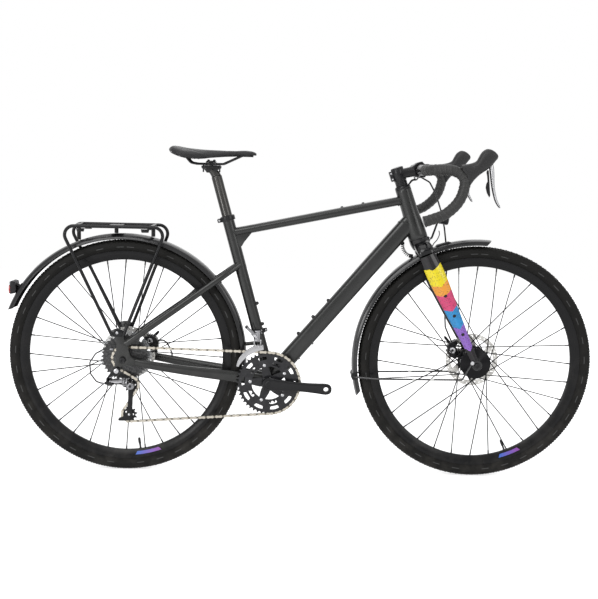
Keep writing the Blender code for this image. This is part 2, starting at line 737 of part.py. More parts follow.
def makeFrame():
    frame = makeHeadTube()
    length = (downTubeTop - crankAxle).length
    downPath = [crankAxle + downRun * length * share for share in (0.0, 0.10, 0.30, 0.75, 0.92, 1.0)]
    wide, tall = DOWN_TUBE_WIDTH / 2, DOWN_TUBE_HEIGHT / 2
    downSizes = ((wide, tall * 0.80), (wide, tall), (wide, tall), (wide, tall), (wide * 0.96, tall * 0.98),
                 (wide * 0.84, tall * 0.94))
    join(frame, swept("down", downPath, downSizes, 12, 3.2))
    topPath = [topTubeRear.lerp(topTubeFront, share) for share in (0.0, 0.12, 0.5, 0.9, 1.0)]
    wide, tall = TOP_TUBE_WIDTH / 2, TOP_TUBE_HEIGHT / 2
    topSizes = ((min(wide, SEAT_TUBE_RADIUS * 0.92), tall), (wide, tall * 0.95), (wide, tall),
                (wide, tall), (wide * 0.98, tall))
    join(frame, swept("top", topPath, topSizes, 10, 2.4))
    gusset = [onSeatTube(topTubeHeight - 0.046, 0.010), onSeatTube(topTubeHeight - 0.046, 0.020),
              onSeatTube(topTubeHeight - 0.036, 0.030), topTubeRear + topRun * 0.062 - topNormal * 0.009,
              topTubeRear + topRun * 0.062, topTubeRear]
    join(frame, chamfer(plate("gusset", [(p.x, p.z) for p in gusset], -0.0125, 0.0125), 0.004))
    join(frame, rod(onSeatTube(0.004), onSeatTube(SEAT_TUBE_LENGTH), SEAT_TUBE_RADIUS, TUBE_SIDES))
    join(frame, rod(crankAxle - Vector((0, SHELL_HALF, 0)), crankAxle + Vector((0, SHELL_HALF, 0)),
                    SHELL_RADIUS, TUBE_SIDES))
    for side in (-1, 1):
        join(frame, makeChainstay(side), makeSeatstay(side), makeDropout(side))
        lug = Vector((rackLug.x, side * dropoutOuter, rackLug.z))
        join(frame, boss(lug, Vector((0, side, 0)), 0.007, 0.002, 0.003))
    for spot in downBossSpots:
        join(frame, boss(crankAxle + downRun * spot + downNormal * DOWN_TUBE_HEIGHT / 2, downNormal))
    for spot in seatBossSpots:
        join(frame, boss(onSeatTube(spot, SEAT_TUBE_RADIUS), seatForward, sink=0.0015))
    for spot in caliperPads:
        join(frame, block((spot - 0.006, dropoutInner - 0.009, WHEEL_RADIUS - 0.010),
                          (spot + 0.006, dropoutInner + 0.004, caliperPadTop)))
    # the seatstay bridge and the seat tube stub carry the rear fender
    bridge, reach = stayCrossing(FENDER_RADIUS + SEAT_GAP + 0.008 + bridgeRadius)
    half = Vector((0, reach - 0.0065, 0))
    join(frame, rod(bridge - half, bridge + half, bridgeRadius))
    foot = onSeatTube(seatFenderHeight)
    inward = (rearFenderCentre - foot).normalized()
    reach = (rearFenderCentre - foot).length - FENDER_RADIUS - SEAT_GAP
    join(frame, rod(foot + inward * SEAT_TUBE_RADIUS * 0.92, foot + inward * reach, bridgeRadius))
    # bores for the steerer, seatpost, bottom bracket, axle and hanger bolt
    steererBore = [(radius, height - headBottom) for radius, height
                   in steererProfile(RUNNING_GAP, headBottom - 0.01, headTop + 0.01)]
    cut(frame, turned("bore", steererBore, TUBE_SIDES, axisFrame(onSteering(headBottom), steerUp)))
    boreBottom = postTop - POST_LENGTH - 0.115
    boreTop = SEAT_TUBE_LENGTH + 0.01
    cut(frame, rod(onSeatTube(boreBottom), onSeatTube(boreTop), POST_RADIUS + SEAT_GAP, TUBE_SIDES))
    cut(frame, rod(crankAxle - Vector((0, 0.05, 0)), crankAxle + Vector((0, 0.05, 0)), shellBore, TUBE_SIDES))
    cut(frame, rod(rearAxle - Vector((0, 0.1, 0)), rearAxle + Vector((0, 0.1, 0)), axleBore, 12))
    cut(frame, rod(hangerPoint - Vector((0, 0.1, 0)), hangerPoint - Vector((0, 0.03, 0)), 0.0046, 8))
    return frame


shellBore = SPINDLE_RADIUS + 0.0048
sleeveRadius = shellBore - SEAT_GAP
cupFace = SHELL_HALF + 0.0084


def makeBottomBracket(name):
    # two outboard cups joined by the sleeve inside the shell
    bore, cup, inner = SPINDLE_RADIUS + RUNNING_GAP + 0.0001, SHELL_RADIUS + 0.0005, SHELL_HALF + SEAT_GAP
    profile = ((bore, -cupFace), (cup, -cupFace), (cup, -inner), (sleeveRadius, -inner),
               (sleeveRadius, inner), (cup, inner), (cup, cupFace), (bore, cupFace))
    return turned(name, profile, TUBE_SIDES, onAxle(crankAxle))


def makeSeatClamp(name):
    # a split collar with its bolt ears behind the seat tube
    inner, outer = SEAT_TUBE_RADIUS + SEAT_GAP, SEAT_TUBE_RADIUS + 0.0045
    low, high = SEAT_TUBE_LENGTH - 0.016, SEAT_TUBE_LENGTH
    profile = ((inner, low), (outer, low), (outer, high), (inner, high))
    clamp = turned(name, profile, TUBE_SIDES, axisFrame(seatOrigin, seatUp))
    ears = plate("ears", [(p.x, p.z) for p in (onSeatTube(low + 0.002, -outer - 0.009),
                 onSeatTube(low + 0.002, -inner - 0.0015), onSeatTube(high - 0.002, -inner - 0.0015),
                 onSeatTube(high - 0.002, -outer - 0.009))], -0.009, 0.009)
    return join(clamp, ears)


hang(makeFrame(), bike, framePaint)
hang(makeSeatClamp("seat_clamp"), bike, blackMetal)
hang(makeBottomBracket("bottom_bracket"), bike, blackMetal)
hang(makeAxle("rear_axle", rearAxle, dropoutOuter), bike, blackMetal)

# Fork
bladeInnerFoot = FRONT_HUB_HALF + SEAT_GAP
bladeOuterFoot = bladeInnerFoot + 0.0115
rotorSlot = ROTOR_THICKNESS / 2 + 0.0014


def bladePoint(share):
    # the blade's middle line, from the crown to the axle
    start, end = onSteering(AXLE_TO_CROWN - 0.052, 0.007), frontAxle
    bow = Vector((-0.001, 0, -0.001)) * math.sin(math.pi * share)
    return start.lerp(end, share) + bow


bladeRun = (bladePoint(1.0) - bladePoint(0.8)).normalized()
bladeBack = Vector((bladeRun.z, 0, -bladeRun.x))


def makeBlade(side):
    shape = ((0.0, 0.0470, 0.0115, 0.0240), (0.14, 0.0482, 0.0118, 0.0275), (0.30, 0.0498, 0.0110, 0.0255),
             (0.52, 0.0520, 0.0095, 0.0200), (0.80, 0.0550, 0.0070, 0.0130), (0.93, 0.0560, 0.0057, 0.0105),
             (1.035, 0.0560, 0.0055, 0.0095))
    path = []
    for share, out, _, _ in shape:
        point = bladePoint(share)
        point.y = side * out
        path.append(point)
    return swept("blade", path, [(width, depth) for _, _, width, depth in shape], 8, 2.8)


caliperStand = 0.0145


def makeFork(name):
    foot = AXLE_TO_CROWN
    top = stemMiddle + STEM_CLAMP_HEIGHT / 2 - 0.003
    fork = turned(name, steererProfile(0.0, foot - 0.02, top), TUBE_SIDES, axisFrame(steerOrigin, steerUp))
    collar = ((0, foot - 0.030), (0.024, foot - 0.030), (HEAD_TUBE_BOTTOM_RADIUS, foot - 0.014),
              (HEAD_TUBE_BOTTOM_RADIUS, foot), (0, foot))
    join(fork, turned("collar", collar, TUBE_SIDES, axisFrame(steerOrigin, steerUp)))
    arch = [onSteering(foot - 0.050, 0.007, -0.050), onSteering(foot - 0.033, 0.006, -0.041),
            onSteering(foot - 0.021, 0.003, -0.016), onSteering(foot - 0.021, 0.003, 0.016),
            onSteering(foot - 0.033, 0.006, 0.041), onSteering(foot - 0.050, 0.007, 0.050)]
    sizes = ((0.0225, 0.009), (0.0235, 0.0132), (0.0235, 0.0148), (0.0235, 0.0148), (0.0235, 0.0132),
             (0.0225, 0.009))
    join(fork, swept("arch", arch, sizes, 10, 2.8, across=steerForward))
    for side in (-1, 1):
        join(fork, makeBlade(side))
    for along in (-0.003, 0.027):
        pad = frontAxle - bladeRun * (0.064 - along)
        low = pad + bladeBack * 0.002 - bladeRun * 0.006
        corners = (low, low + bladeRun * 0.012, low + bladeRun * 0.012 + bladeBack * caliperStand,
                   low + bladeBack * caliperStand)
        join(fork, plate("pad", [(p.x, p.z) for p in corners], 0.0505, 0.0590))
    cut(fork, rod(frontAxle - Vector((0, 0.1, 0)), frontAxle + Vector((0, 0.1, 0)), axleBore, 12))
    return fork


def makeFenderStrip(name, centre, start, end):
    # a bent strip: a flat crown with sloping flanks and short side edges
    half = FENDER_WIDTH / 2
    edge, shoulder = FENDER_RADIUS - FENDER_DEPTH, FENDER_RADIUS - FENDER_DEPTH * 0.30
    outer = ((-half, edge), (-half * 0.84, shoulder), (-half * 0.36, FENDER_RADIUS),
             (half * 0.36, FENDER_RADIUS), (half * 0.84, shoulder), (half, edge))
    inner = ((half - 0.0020, edge - 0.0004), (half * 0.50, fenderInnerRadius),
             (-half * 0.50, fenderInnerRadius), (-half + 0.0020, edge - 0.0004))
    steps = round((end - start) / 10.5)
    rings = []
    for k in range(steps + 1):
        angle = start + (end - start) * k / steps
        rings.append([polar(centre, radius, angle, y) for y, radius in outer + inner])
    return lofted(name, rings)


frontStayAngle = 187.2


def makeFrontFender(name):
    fender = makeFenderStrip(name, frontAxle, FRONT_FENDER_START, FRONT_FENDER_END)
    # a lug that reaches up to the underside of the fork crown
    crown = onSteering(AXLE_TO_CROWN - 0.035 - SEAT_GAP, 0.002)
    inward = (frontAxle - crown).normalized()
    top = crown + inward * 0.0008
    reach = (frontAxle - top).length - FENDER_RADIUS + 0.0026
    join(fender, rod(top, top + inward * reach, 0.006))
    return join(fender, makeFrontStays())


def makeFrontStays():
    # one bent wire from fork end to fork end, fixed across the back of the fender
    clipRadius = FENDER_RADIUS + STAY_RADIUS * 0.7
    back = polar(frontAxle, clipRadius, frontStayAngle)
    side = bladeOuterFoot + STAY_RADIUS + SEAT_GAP * 2
    right = [(frontAxle.x - 0.016, -side, frontAxle.z + 0.008), (frontAxle.x - 0.044, -side, back.z + 0.004),
             (back.x + 0.080, -side * 0.86, back.z), (back.x + 0.012, -FENDER_WIDTH / 2 - 0.006, back.z),
             (back.x, -FENDER_WIDTH / 2 + 0.004, back.z)]
    path = right + [tuple(point) for point in reversed(mirroredPoints(right))]
    return tube("stays", filleted(path, 0.006, 1), STAY_RADIUS, 1)


hang(makeFork("fork"), steeringAxis, forkPaint)
hang(makeAxle("front_axle", frontAxle, bladeOuterFoot), steeringAxis, blackMetal)
hang(makeFrontFender("front_fender"), steeringAxis, blackGloss)

# Stem, bar and levers
barCentre = onSteering(stemMiddle - STEM_FALL, STEM_LENGTH)
stemCentre = onSteering(stemMiddle)
stemRun = (barCentre - stemCentre).normalized()
stemUp = Vector((-stemRun.z, 0, stemRun.x))


def makeHeadsetCover(name):
    # bearing cover and spacers under the stem
    bore = STEERER_RADIUS + SEAT_GAP
    low = headTop + SEAT_GAP
    high = low + SPACER_HEIGHT
    profile = ((bore, low), (HEAD_TUBE_TOP_RADIUS, low), (HEAD_TUBE_TOP_RADIUS, low + 0.004),
               (SPACER_RADIUS, low + 0.010), (SPACER_RADIUS, high), (bore, high))
    return turned(name, profile, TUBE_SIDES, axisFrame(steerOrigin, steerUp))


def makeStem(name):
    low, high = stemMiddle - STEM_CLAMP_HEIGHT / 2, stemMiddle + STEM_CLAMP_HEIGHT / 2
    stem = rod(onSteering(low), onSteering(high), STEERER_RADIUS + 0.0045, TUBE_SIDES, name)
    body = [stemCentre + stemRun * along for along in (0.004, 0.022, STEM_LENGTH - 0.012, STEM_LENGTH - 0.001)]
    sizes = ((0.0165, 0.0165), (0.0160, 0.0150), (0.0175, 0.0165), (0.0205, 0.0190))
    join(stem, swept("body", body, sizes, 12, 3.0))
    rear = [onSteering(low + 0.004, -STEERER_RADIUS - 0.002), onSteering(low + 0.004, -STEERER_RADIUS - 0.0125),
            onSteering(high - 0.004, -STEERER_RADIUS - 0.0125), onSteering(high - 0.004, -STEERER_RADIUS - 0.002)]
    join(stem, chamfer(plate("rear", [(p.x, p.z) for p in rear], -0.011, 0.011), 0.003))
    cut(stem, rod(onSteering(low - 0.01), onSteering(high + 0.01), STEERER_RADIUS + SEAT_GAP, TUBE_SIDES))
    cut(stem, rod(barCentre - Vector((0, 0.05, 0)), barCentre + Vector((0, 0.05, 0)),
                  roundBore(BAR_CLAMP_RADIUS), TUBE_SIDES))
    return stem


def makeFaceplate(name):
    # the front half of the bar clamp
    outer = BAR_CLAMP_RADIUS + 0.0048
    inner = roundBore(BAR_CLAMP_RADIUS)
    cap = rod(barCentre - Vector((0, 0.0205, 0)), barCentre + Vector((0, 0.0205, 0)), outer, TUBE_SIDES, name)
    lugs = [barCentre + stemRun * 0.001 + stemUp * 0.0235, barCentre + stemRun * 0.0075 + stemUp * 0.0235,
            barCentre + stemRun * 0.0075 - stemUp * 0.0235, barCentre + stemRun * 0.001 - stemUp * 0.0235]
    join(cap, plate("lugs", [(p.x, p.z) for p in lugs], -0.0195, 0.0195))
    cut(cap, rod(barCentre - Vector((0, 0.05, 0)), barCentre + Vector((0, 0.05, 0)), inner, TUBE_SIDES))
    split = [barCentre + stemRun * 0.0009 + stemUp * 0.05, barCentre - stemRun * 0.05 + stemUp * 0.05,
             barCentre - stemRun * 0.05 - stemUp * 0.05, barCentre + stemRun * 0.0009 - stemUp * 0.05]
    cut(cap, plate("split", [(p.x, p.z) for p in split], -0.05, 0.05))
    return cap


def barRoute(side):
    # the bar's middle line on one side, from the clamp to the end of the drop
    shape = ((0.000, 0.55, 0.000), (0.000, 0.70, 0.000), (0.060, 0.84, 0.005), (0.250, 0.935, 0.020),
             (0.560, 0.985, 0.018), (0.820, 1.000, -0.036), (0.960, 1.010, -0.130), (0.998, 1.018, -0.240),
             (0.940, 1.034, -0.430), (0.850, 1.044, -0.570), (0.700, 1.052, -0.705), (0.450, 1.060, -0.850),
             (0.180, 1.063, -0.930), (-0.110, 1.063, -1.000))
    points = []
    for ahead, out, rise in shape:
        flare = BAR_FLARE / BAR_HALF_WIDTH * (out - 1.0) / 0.063 if out > 1.0 else 0.0
        lateral = BAR_HALF_WIDTH * (min(out, 1.0) + flare)
        points.append(barCentre + Vector((BAR_REACH * ahead, side * lateral, BAR_DROP * rise)))
    return points


def tapePath(side):
    # two points a turn; the bar's own mesh uses every second one
    route = smoothed(barRoute(side), 0.001)
    return [route[round(i * (len(route) - 1) / (2 * TAPE_TURNS))] for i in range(2 * TAPE_TURNS + 1)]


def makeBar(name):
    right = tapePath(-1)[::2]
    swell = [barCentre + Vector((0, -0.075, 0)), barCentre + Vector((0, -0.038, 0))]
    half = list(reversed(right)) + swell
    path = half + [Vector(point) for point in reversed(mirroredPoints(half))]
    radii = [BAR_RADIUS] * (len(half) - 1) + [BAR_CLAMP_RADIUS]
    return tube(name, path, BAR_RADIUS, 2, radii=radii + list(reversed(radii)))


def ringsAlong(path, radii, sides):
    # circles carried along a path without twist
    rings, side = [], None
    for i, (point, radius) in enumerate(zip(path, radii)):
        ahead = (path[min(i + 1, len(path) - 1)] - point).normalized()
        behind = (point - path[max(i - 1, 0)]).normalized()
        run = (ahead + behind).normalized()
        side = run.orthogonal() if side is None else side - run * side.dot(run)
        side = side.normalized()
        up = run.cross(side)
        turns = [2 * math.pi * k / sides for k in range(sides)]
        rings.append([point + (side * math.cos(turn) + up * math.sin(turn)) * radius for turn in turns])
    return rings


tapeRadius = BAR_RADIUS + TAPE_THICKNESS


def makeTape(name, side):
    # wound tape: each turn stands a little over the next
    path = tapePath(side)
    outer = ringsAlong(path, [tapeRadius - 0.0010 * (i % 2) for i in range(len(path))], TAPE_SIDES)
    bore = (BAR_RADIUS + SEAT_GAP) / math.cos(math.pi / TAPE_SIDES)
    inner = ringsAlong(path[::2], [bore] * (TAPE_TURNS + 1), TAPE_SIDES)
    return lofted(name, outer + list(reversed(inner)), closed=True)


def hoodAnchor(side):
    return barCentre + Vector((BAR_REACH, side * (BAR_HALF_WIDTH + 0.002), 0))


def leverPivot(side):
    return hoodAnchor(side) + Vector((0.068, 0, 0.026))


def makeHood(name, side):
    # the rubber-covered lever bracket, hollow at its nose where the lever turns
    a = hoodAnchor(side)
    raw = ((-0.009, 0.000), (0.003, -0.016), (0.006, -0.031), (0.012, -0.041), (0.024, -0.022),
           (0.042, -0.007), (0.062, 0.006), (0.086, 0.036), (0.085, 0.047), (0.068, 0.060), (0.054, 0.061),
           (0.041, 0.051), (0.031, 0.031), (0.012, 0.022), (-0.011, 0.017))
    half = HOOD_WIDTH / 2
    hood = plate(name, [(a.x + x, a.z + z) for x, z in raw], a.y - half, a.y + half)
    chamfer(hood, 0.0062, 60.0)
    path = tapePath(side)
    cut(hood, lofted("wrap", ringsAlong(path, [tapeRadius + SEAT_GAP * 1.5] * len(path), TAPE_SIDES)))
    slotHalf = LEVER_WIDTH / 2 + SEAT_GAP
    slot = ((0.056, 0.036), (0.070, 0.041), (0.100, 0.030), (0.080, -0.020), (0.030, -0.020), (0.0430, 0.008))
    cut(hood, plate("slot", [(a.x + x, a.z + z) for x, z in slot], a.y - slotHalf, a.y + slotHalf))
    pivot = leverPivot(side)
    join(hood, rod(pivot - Vector((0, slotHalf + 0.003, 0)), pivot + Vector((0, slotHalf + 0.003, 0)), 0.0022))
    return hood


def leverRoute(side):
    p = leverPivot(side)
    k = LEVER_LENGTH / 0.128
    shape = ((-0.001, 0.006), (0.001, -0.008), (0.0045, -0.026), (0.0090, -0.065), (0.0160, -0.095),
             (0.0225, -0.111), (0.0300, -0.122))
    return [p + Vector((x, 0, z)) * k for x, z in shape]


def makeLever(name, side):
    half = LEVER_WIDTH / 2
    sizes = ((half, 0.0040), (half, 0.0062), (half, 0.0058), (half, 0.0043), (half, 0.0036),
             (half * 0.9, 0.0032), (half * 0.7, 0.0028))
    lever = swept(name, leverRoute(side), sizes, 8, 2.6)
    pivot = leverPivot(side)
    cut(lever, rod(pivot - Vector((0, 0.02, 0)), pivot + Vector((0, 0.02, 0)), 0.0026))
    hinge = paddleHinge(side)
    join(lever, rod(hinge + Vector((0.0055, 0, 0)), hinge - Vector((0.0040, 0, 0)), 0.0014))
    return lever


def paddleHinge(side):
    return leverPivot(side) + Vector((-0.0062, 0, -0.026))


def makePaddle(name, side):
    h = paddleHinge(side)
    raw = ((-0.0035, 0.004), (0.0015, 0.004), (0.0030, -0.010), (0.0050, -0.030), (0.0065, -0.046),
           (0.0085, -0.064), (0.0060, -0.070), (-0.0010, -0.058), (-0.0050, -0.044), (-0.0040, -0.034),
           (-0.0005, -0.026), (-0.0025, -0.010), (-0.0045, -0.003))
    paddle = plate(name, [(h.x + x, h.z + z) for x, z in raw], h.y - 0.0022, h.y + 0.0022)
    join(paddle, rod(h - Vector((0.0035, 0, 0)), h + Vector((0.0012, 0, 0)), 0.0036))
    cut(paddle, rod(h - Vector((0.01, 0, 0)), h + Vector((0.01, 0, 0)), 0.0018))
    return paddle


hang(makeHeadsetCover("headset_cover"), steeringAxis, blackMetal)
hang(makeStem("stem"), steeringAxis, blackMetal)
hang(makeFaceplate("stem_faceplate"), steeringAxis, blackMetal)
hang(makeBar("handlebar"), steeringAxis, blackMetal)
for label, side in (("right", -1), ("left", 1)):
    hang(makeTape("bar_tape_" + label, side), steeringAxis, barTape)
    hang(makeHood("brake_hood_" + label, side), steeringAxis, blackPlastic)
    leverAxis = axisEmpty("lever_axis_" + label, leverPivot(side), steeringAxis)
    hang(makeLever("brake_lever_" + label, side), leverAxis, silverMetal)
    paddleAxis = axisEmpty("paddle_axis_" + label, paddleHinge(side), leverAxis)
    hang(makePaddle("shift_paddle_" + label, side), paddleAxis, blackMetal)

# Seatpost and saddle
clampCentre = onSeatTube(postTop + 0.018, -0.010)
clampCentre.z = railHeight - 0.0150
saddleRear = clampCentre.x - 0.122
cradleHalf = RAIL_SPACING / 2 + RAIL_RADIUS + 0.002


def makeSeatpost(name):
    post = rod(onSeatTube(postTop - POST_LENGTH), onSeatTube(postTop), POST_RADIUS, TUBE_SIDES, name)
    head = [onSeatTube(postTop - 0.012), onSeatTube(postTop + 0.006, -0.003), clampCentre + Vector((0, 0, -0.003))]
    join(post, swept("head", head, ((0.0135, 0.0145), (0.0130, 0.0130), (0.0150, 0.0100)), 12, 2.4))
    top = railHeight - RAIL_RADIUS - SEAT_GAP
    cradle = ((-0.019, top - 0.010), (-0.010, top - 0.017), (0.010, top - 0.017), (0.019, top - 0.010),
              (0.020, top), (-0.020, top))
    join(post, plate("cradle", [(clampCentre.x + x, z) for x, z in cradle], -cradleHalf, cradleHalf))
    return post


def makeSaddleClamp(name):
    # the upper clamp with its two bolts down into the cradle
    low = railHeight + RAIL_RADIUS + SEAT_GAP
    c = clampCentre.x
    clampPlate = ((c - 0.015, low), (c + 0.015, low), (c + 0.013, low + 0.006), (c - 0.013, low + 0.006))
    clamp = plate(name, clampPlate, -cradleHalf, cradleHalf)
    cradleTop = railHeight - RAIL_RADIUS
    for x in (-0.0085, 0.0085):
        join(clamp, rod((c + x, 0, cradleTop), (c + x, 0, low + 0.008), 0.0030))
    return clamp


def saddleStations():
    # share of the length, half width, top and skirt against the saddle's height
    nose = SADDLE_NOSE_WIDTH / SADDLE_WIDTH
    return ((0.000, 0.45, 0.0050, -0.0040), (0.040, 0.78, 0.0105, -0.0130), (0.100, 0.95, 0.0090, -0.0200),
            (0.180, 1.00, 0.0050, -0.0260), (0.290, 0.93, 0.0020, -0.0290), (0.400, 0.74, 0.0000, -0.0270),
            (0.510, 0.54, -0.0008, -0.0230), (0.630, 0.38, -0.0010, -0.0190),
            (0.760, nose * 1.10, -0.0006, -0.0170), (0.880, nose, 0.0000, -0.0180),
            (0.960, nose * 0.86, -0.0020, -0.0170), (1.000, nose * 0.48, -0.0070, -0.0140))


def saddleRing(x, half, top, skirt, thickness):
    # one cross-section: a crown that rolls over into drawn-in sides, with its underside hollow
    rise = top - skirt
    shape = ((0.00, 0.00), (0.45, -0.05), (0.80, -0.24), (1.00, -0.65), (0.96, -1.00))
    hollow = ((0.00, 0.00), (0.62, -0.13), (0.97, -1.00))
    outer = [(half * u, top + rise * v) for u, v in shape]
    reach = max(half - thickness * 0.6, half * 0.5)
    inner = [(reach * u, max(top + rise * v - thickness, skirt + 0.0004)) for u, v in reversed(hollow)]
    inner[0] = (inner[0][0], skirt)
    left = outer + inner
    right = [(-y, z) for y, z in reversed(left[1:-1])]
    return [Vector((x, y, SADDLE_HEIGHT + z)) for y, z in left + right]


def makeSaddleCover(name):
    # the padded top: a crowned sheet that wraps down to its skirt
    rings = []
    for share, width, top, skirt in saddleStations():
        x = saddleRear + SADDLE_LENGTH * share
        rings.append(saddleRing(x, SADDLE_WIDTH / 2 * width, top, skirt, coverThickness))
    return lofted(name, rings)


coverThickness = 0.0085
shellThickness = 0.0030


def shellSection(x, half, top, skirt):
    # the moulded base follows the cover's hollow with a small gap
    rise = top - skirt
    gap = coverThickness + SEAT_GAP * 2
    reach = max(half - coverThickness * 0.6 - SEAT_GAP * 2, 0.004)
    crown = top - gap
    edge = min(crown - 0.0015, top - rise * 0.64 - gap * 0.6)
    shape = ((0.0, crown), (reach * 0.45, crown - (crown - edge) * 0.15), (reach * 0.78, edge))
    under = [(y * 0.97, z - shellThickness) for y, z in reversed(shape)]
    left = list(shape) + under
    right = [(-y, z) for y, z in reversed(left[1:-1])]
    return [Vector((x, y, SADDLE_HEIGHT + z)) for y, z in left + right]


def makeSaddleShell(name):
    rings = []
    for share, width, top, skirt in saddleStations()[2:-1]:
        x = saddleRear + SADDLE_LENGTH * share
        rings.append(shellSection(x, SADDLE_WIDTH / 2 * width, top, skirt))
    return lofted(name, rings)


def makeRails(name):
    # one wire, bent round under the nose, with its ends at the back of the shell
    half = RAIL_SPACING / 2
    rear, c = saddleRear, clampCentre.x
    socketFront = saddleRear + SADDLE_LENGTH * 0.80
    right = [(rear + 0.041, -half * 1.15, SADDLE_HEIGHT - 0.0125), (rear + 0.064, -half, railHeight + 0.003),
             (rear + 0.082, -half, railHeight), (c - 0.022, -half, railHeight), (c + 0.022, -half, railHeight),
             (c + 0.036, -half, railHeight + 0.0002),
             (c + 0.085, -half * 0.52, railHeight + 0.017),
             (socketFront - 0.006, -half * 0.26, railHeight + 0.0222),
             (socketFront + 0.004, -0.0035, railHeight + 0.0232)]
    path = smoothed(right + [tuple(point) for point in reversed(mirroredPoints(right))], 0.017)
    return tube(name, path, RAIL_RADIUS, 1)


hang(makeSeatpost("seatpost"), seatSlide, blackMetal)
hang(makeSaddleClamp("saddle_clamp"), seatSlide, blackMetal)
hang(makeRails("saddle_rails"), seatSlide, blackMetal)
hang(makeSaddleShell("saddle_shell"), seatSlide, blackPlastic)
hang(makeSaddleCover("saddle_cover"), seatSlide, saddleVinyl)


# Chain route: pitch circles, tangents and arcs
def pitchRadius(teeth):
    return teeth * PITCH / (2 * math.pi)


drivenTeeth = SPROCKET_TEETH[DRIVEN_SPROCKET]
guidePoint = rearAxle + Vector((GUIDE_FORWARD, 0, -GUIDE_FALL))


def tensionPoint(cageDegrees):
    return polar(guidePoint, CAGE_LENGTH, cageDegrees)


def chainWheels(cageDegrees):
    # centre, pitch radius and sense of each wheel in the order that the chain meets them
    return ((rearAxle, pitchRadius(drivenTeeth), 1), (crankAxle, pitchRadius(OUTER_TEETH), 1),
            (tensionPoint(cageDegrees), pitchRadius(PULLEY_TEETH), 1),
            (guidePoint, pitchRadius(PULLEY_TEETH), -1))


def chainRoute(cageDegrees):
    # pieces of the route: arcs (centre, radius, start, sweep) and runs (start, heading, length)
    wheels = chainWheels(cageDegrees)
    headings, lengths = [], []
    for i, (centre, radius, sense) in enumerate(wheels):
        nextCentre, nextRadius, nextSense = wheels[(i + 1) % len(wheels)]
        gap = nextCentre - centre
        span = math.hypot(gap.x, gap.z)
        offset = nextRadius * nextSense - radius * sense
        headings.append(math.atan2(gap.z, gap.x) + math.asin(offset / span))
        lengths.append(math.sqrt(span ** 2 - offset ** 2))
    pieces = []
    for i, (centre, radius, sense) in enumerate(wheels):
        before, after = headings[i - 1], headings[i]
        sweep = ((before - after) if sense > 0 else (after - before)) % (2 * math.pi)
        start = before + sense * math.pi / 2
        pieces.append(("arc", centre, radius, start, sweep, sense))
        leave = start - sense * sweep
        point = Vector((centre.x + radius * math.cos(leave), 0, centre.z + radius * math.sin(leave)))
        pieces.append(("run", point, after, lengths[i]))
    return pieces


def routeLength(pieces):
    return sum(piece[2] * piece[4] if piece[0] == "arc" else piece[3] for piece in pieces)


def routePoint(pieces, distance):
    # a point of the route and its outward normal, which points away from the wheels
    for piece in pieces:
        length = piece[2] * piece[4] if piece[0] == "arc" else piece[3]
        if distance <= length:
            break
        distance -= length
    if piece[0] == "arc":
        _, centre, radius, start, _, sense = piece
        angle = start - sense * distance / radius
        outward = Vector((math.cos(angle), 0, math.sin(angle)))
        return Vector((centre.x, 0, centre.z)) + outward * radius, outward * sense
    _, point, heading, _ = piece
    run = Vector((math.cos(heading), 0, math.sin(heading)))
    return point + run * distance, Vector((-run.z, 0, run.x))


def settledCage():
    # turns the cage until the chain closes on a whole, even number of links
    nominal = routeLength(chainRoute(CAGE_ANGLE))
    links = 2 * round(nominal / PITCH / 2)
    short, long = CAGE_ANGLE - 40.0, CAGE_ANGLE + 40.0
    if routeLength(chainRoute(short)) > routeLength(chainRoute(long)):
        short, long = long, short
    for _ in range(50):
        middle = (short + long) / 2
        if routeLength(chainRoute(middle)) > links * PITCH:
            long = middle
        else:
            short = middle
    return (short + long) / 2, links


cageSettled, chainLinks = settledCage()
route = chainRoute(cageSettled)
cageDirection = (tensionPoint(cageSettled) - guidePoint).normalized()
cageBack = Vector((cageDirection.z, 0, -cageDirection.x))


def toothPhase(order):
    # the angle of a tooth gap that holds a roller, on the wheel met in this order
    travelled = 0.0
    for piece in route[:2 * order]:
        travelled += piece[2] * piece[4] if piece[0] == "arc" else piece[3]
    _, _, radius, start, _, sense = route[2 * order]
    along = (-travelled) % PITCH
    return start - sense * along / radius


def makeChain(name):
    # two strips of plates, joined at each pin by a block that narrows towards the wheels
    bm = bmesh.new()
    inner, outer = INNER_LINK_HALF, INNER_LINK_HALF + PLATE_THICKNESS * 1.5
    rise = CHAIN_HALF_HEIGHT
    marks = ((-ROLLER_HALF, inner, rise), (ROLLER_HALF, inner, rise), (0.0, inner, -rise), (0.0, outer, rise),
             (0.0, outer, -rise))
    stations = []
    for k in range(chainLinks):
        row = []
        for along, lateral, height in marks:
            point, outward = routePoint(route, (k * PITCH + along) % (chainLinks * PITCH))
            row.append([bm.verts.new(point + outward * height + Vector((0, CHAIN_PLANE + side * lateral, 0)))
                        for side in (-1, 1)])
        stations.append(row)
    for station, following in zip(stations, stations[1:] + stations[:1]):
        back, front, foot, top, low = station
        nextBack, _, nextFoot, nextTop, nextLow = following
        for side in (0, 1):
            bm.faces.new((back[side], front[side], top[side]))
            bm.faces.new((top[side], front[side], nextBack[side], nextTop[side]))
            bm.faces.new((low[side], foot[side], nextFoot[side], nextLow[side]))
            bm.faces.new((top[side], nextTop[side], nextLow[side], low[side]))
            bm.faces.new((front[side], foot[side], nextFoot[side], nextBack[side]))
        bm.faces.new((back[0], back[1], front[1], front[0]))
        bm.faces.new((front[0], front[1], foot[1], foot[0]))
        bm.faces.new((back[1], back[0], foot[0], foot[1]))
    return toObject(bm, name)


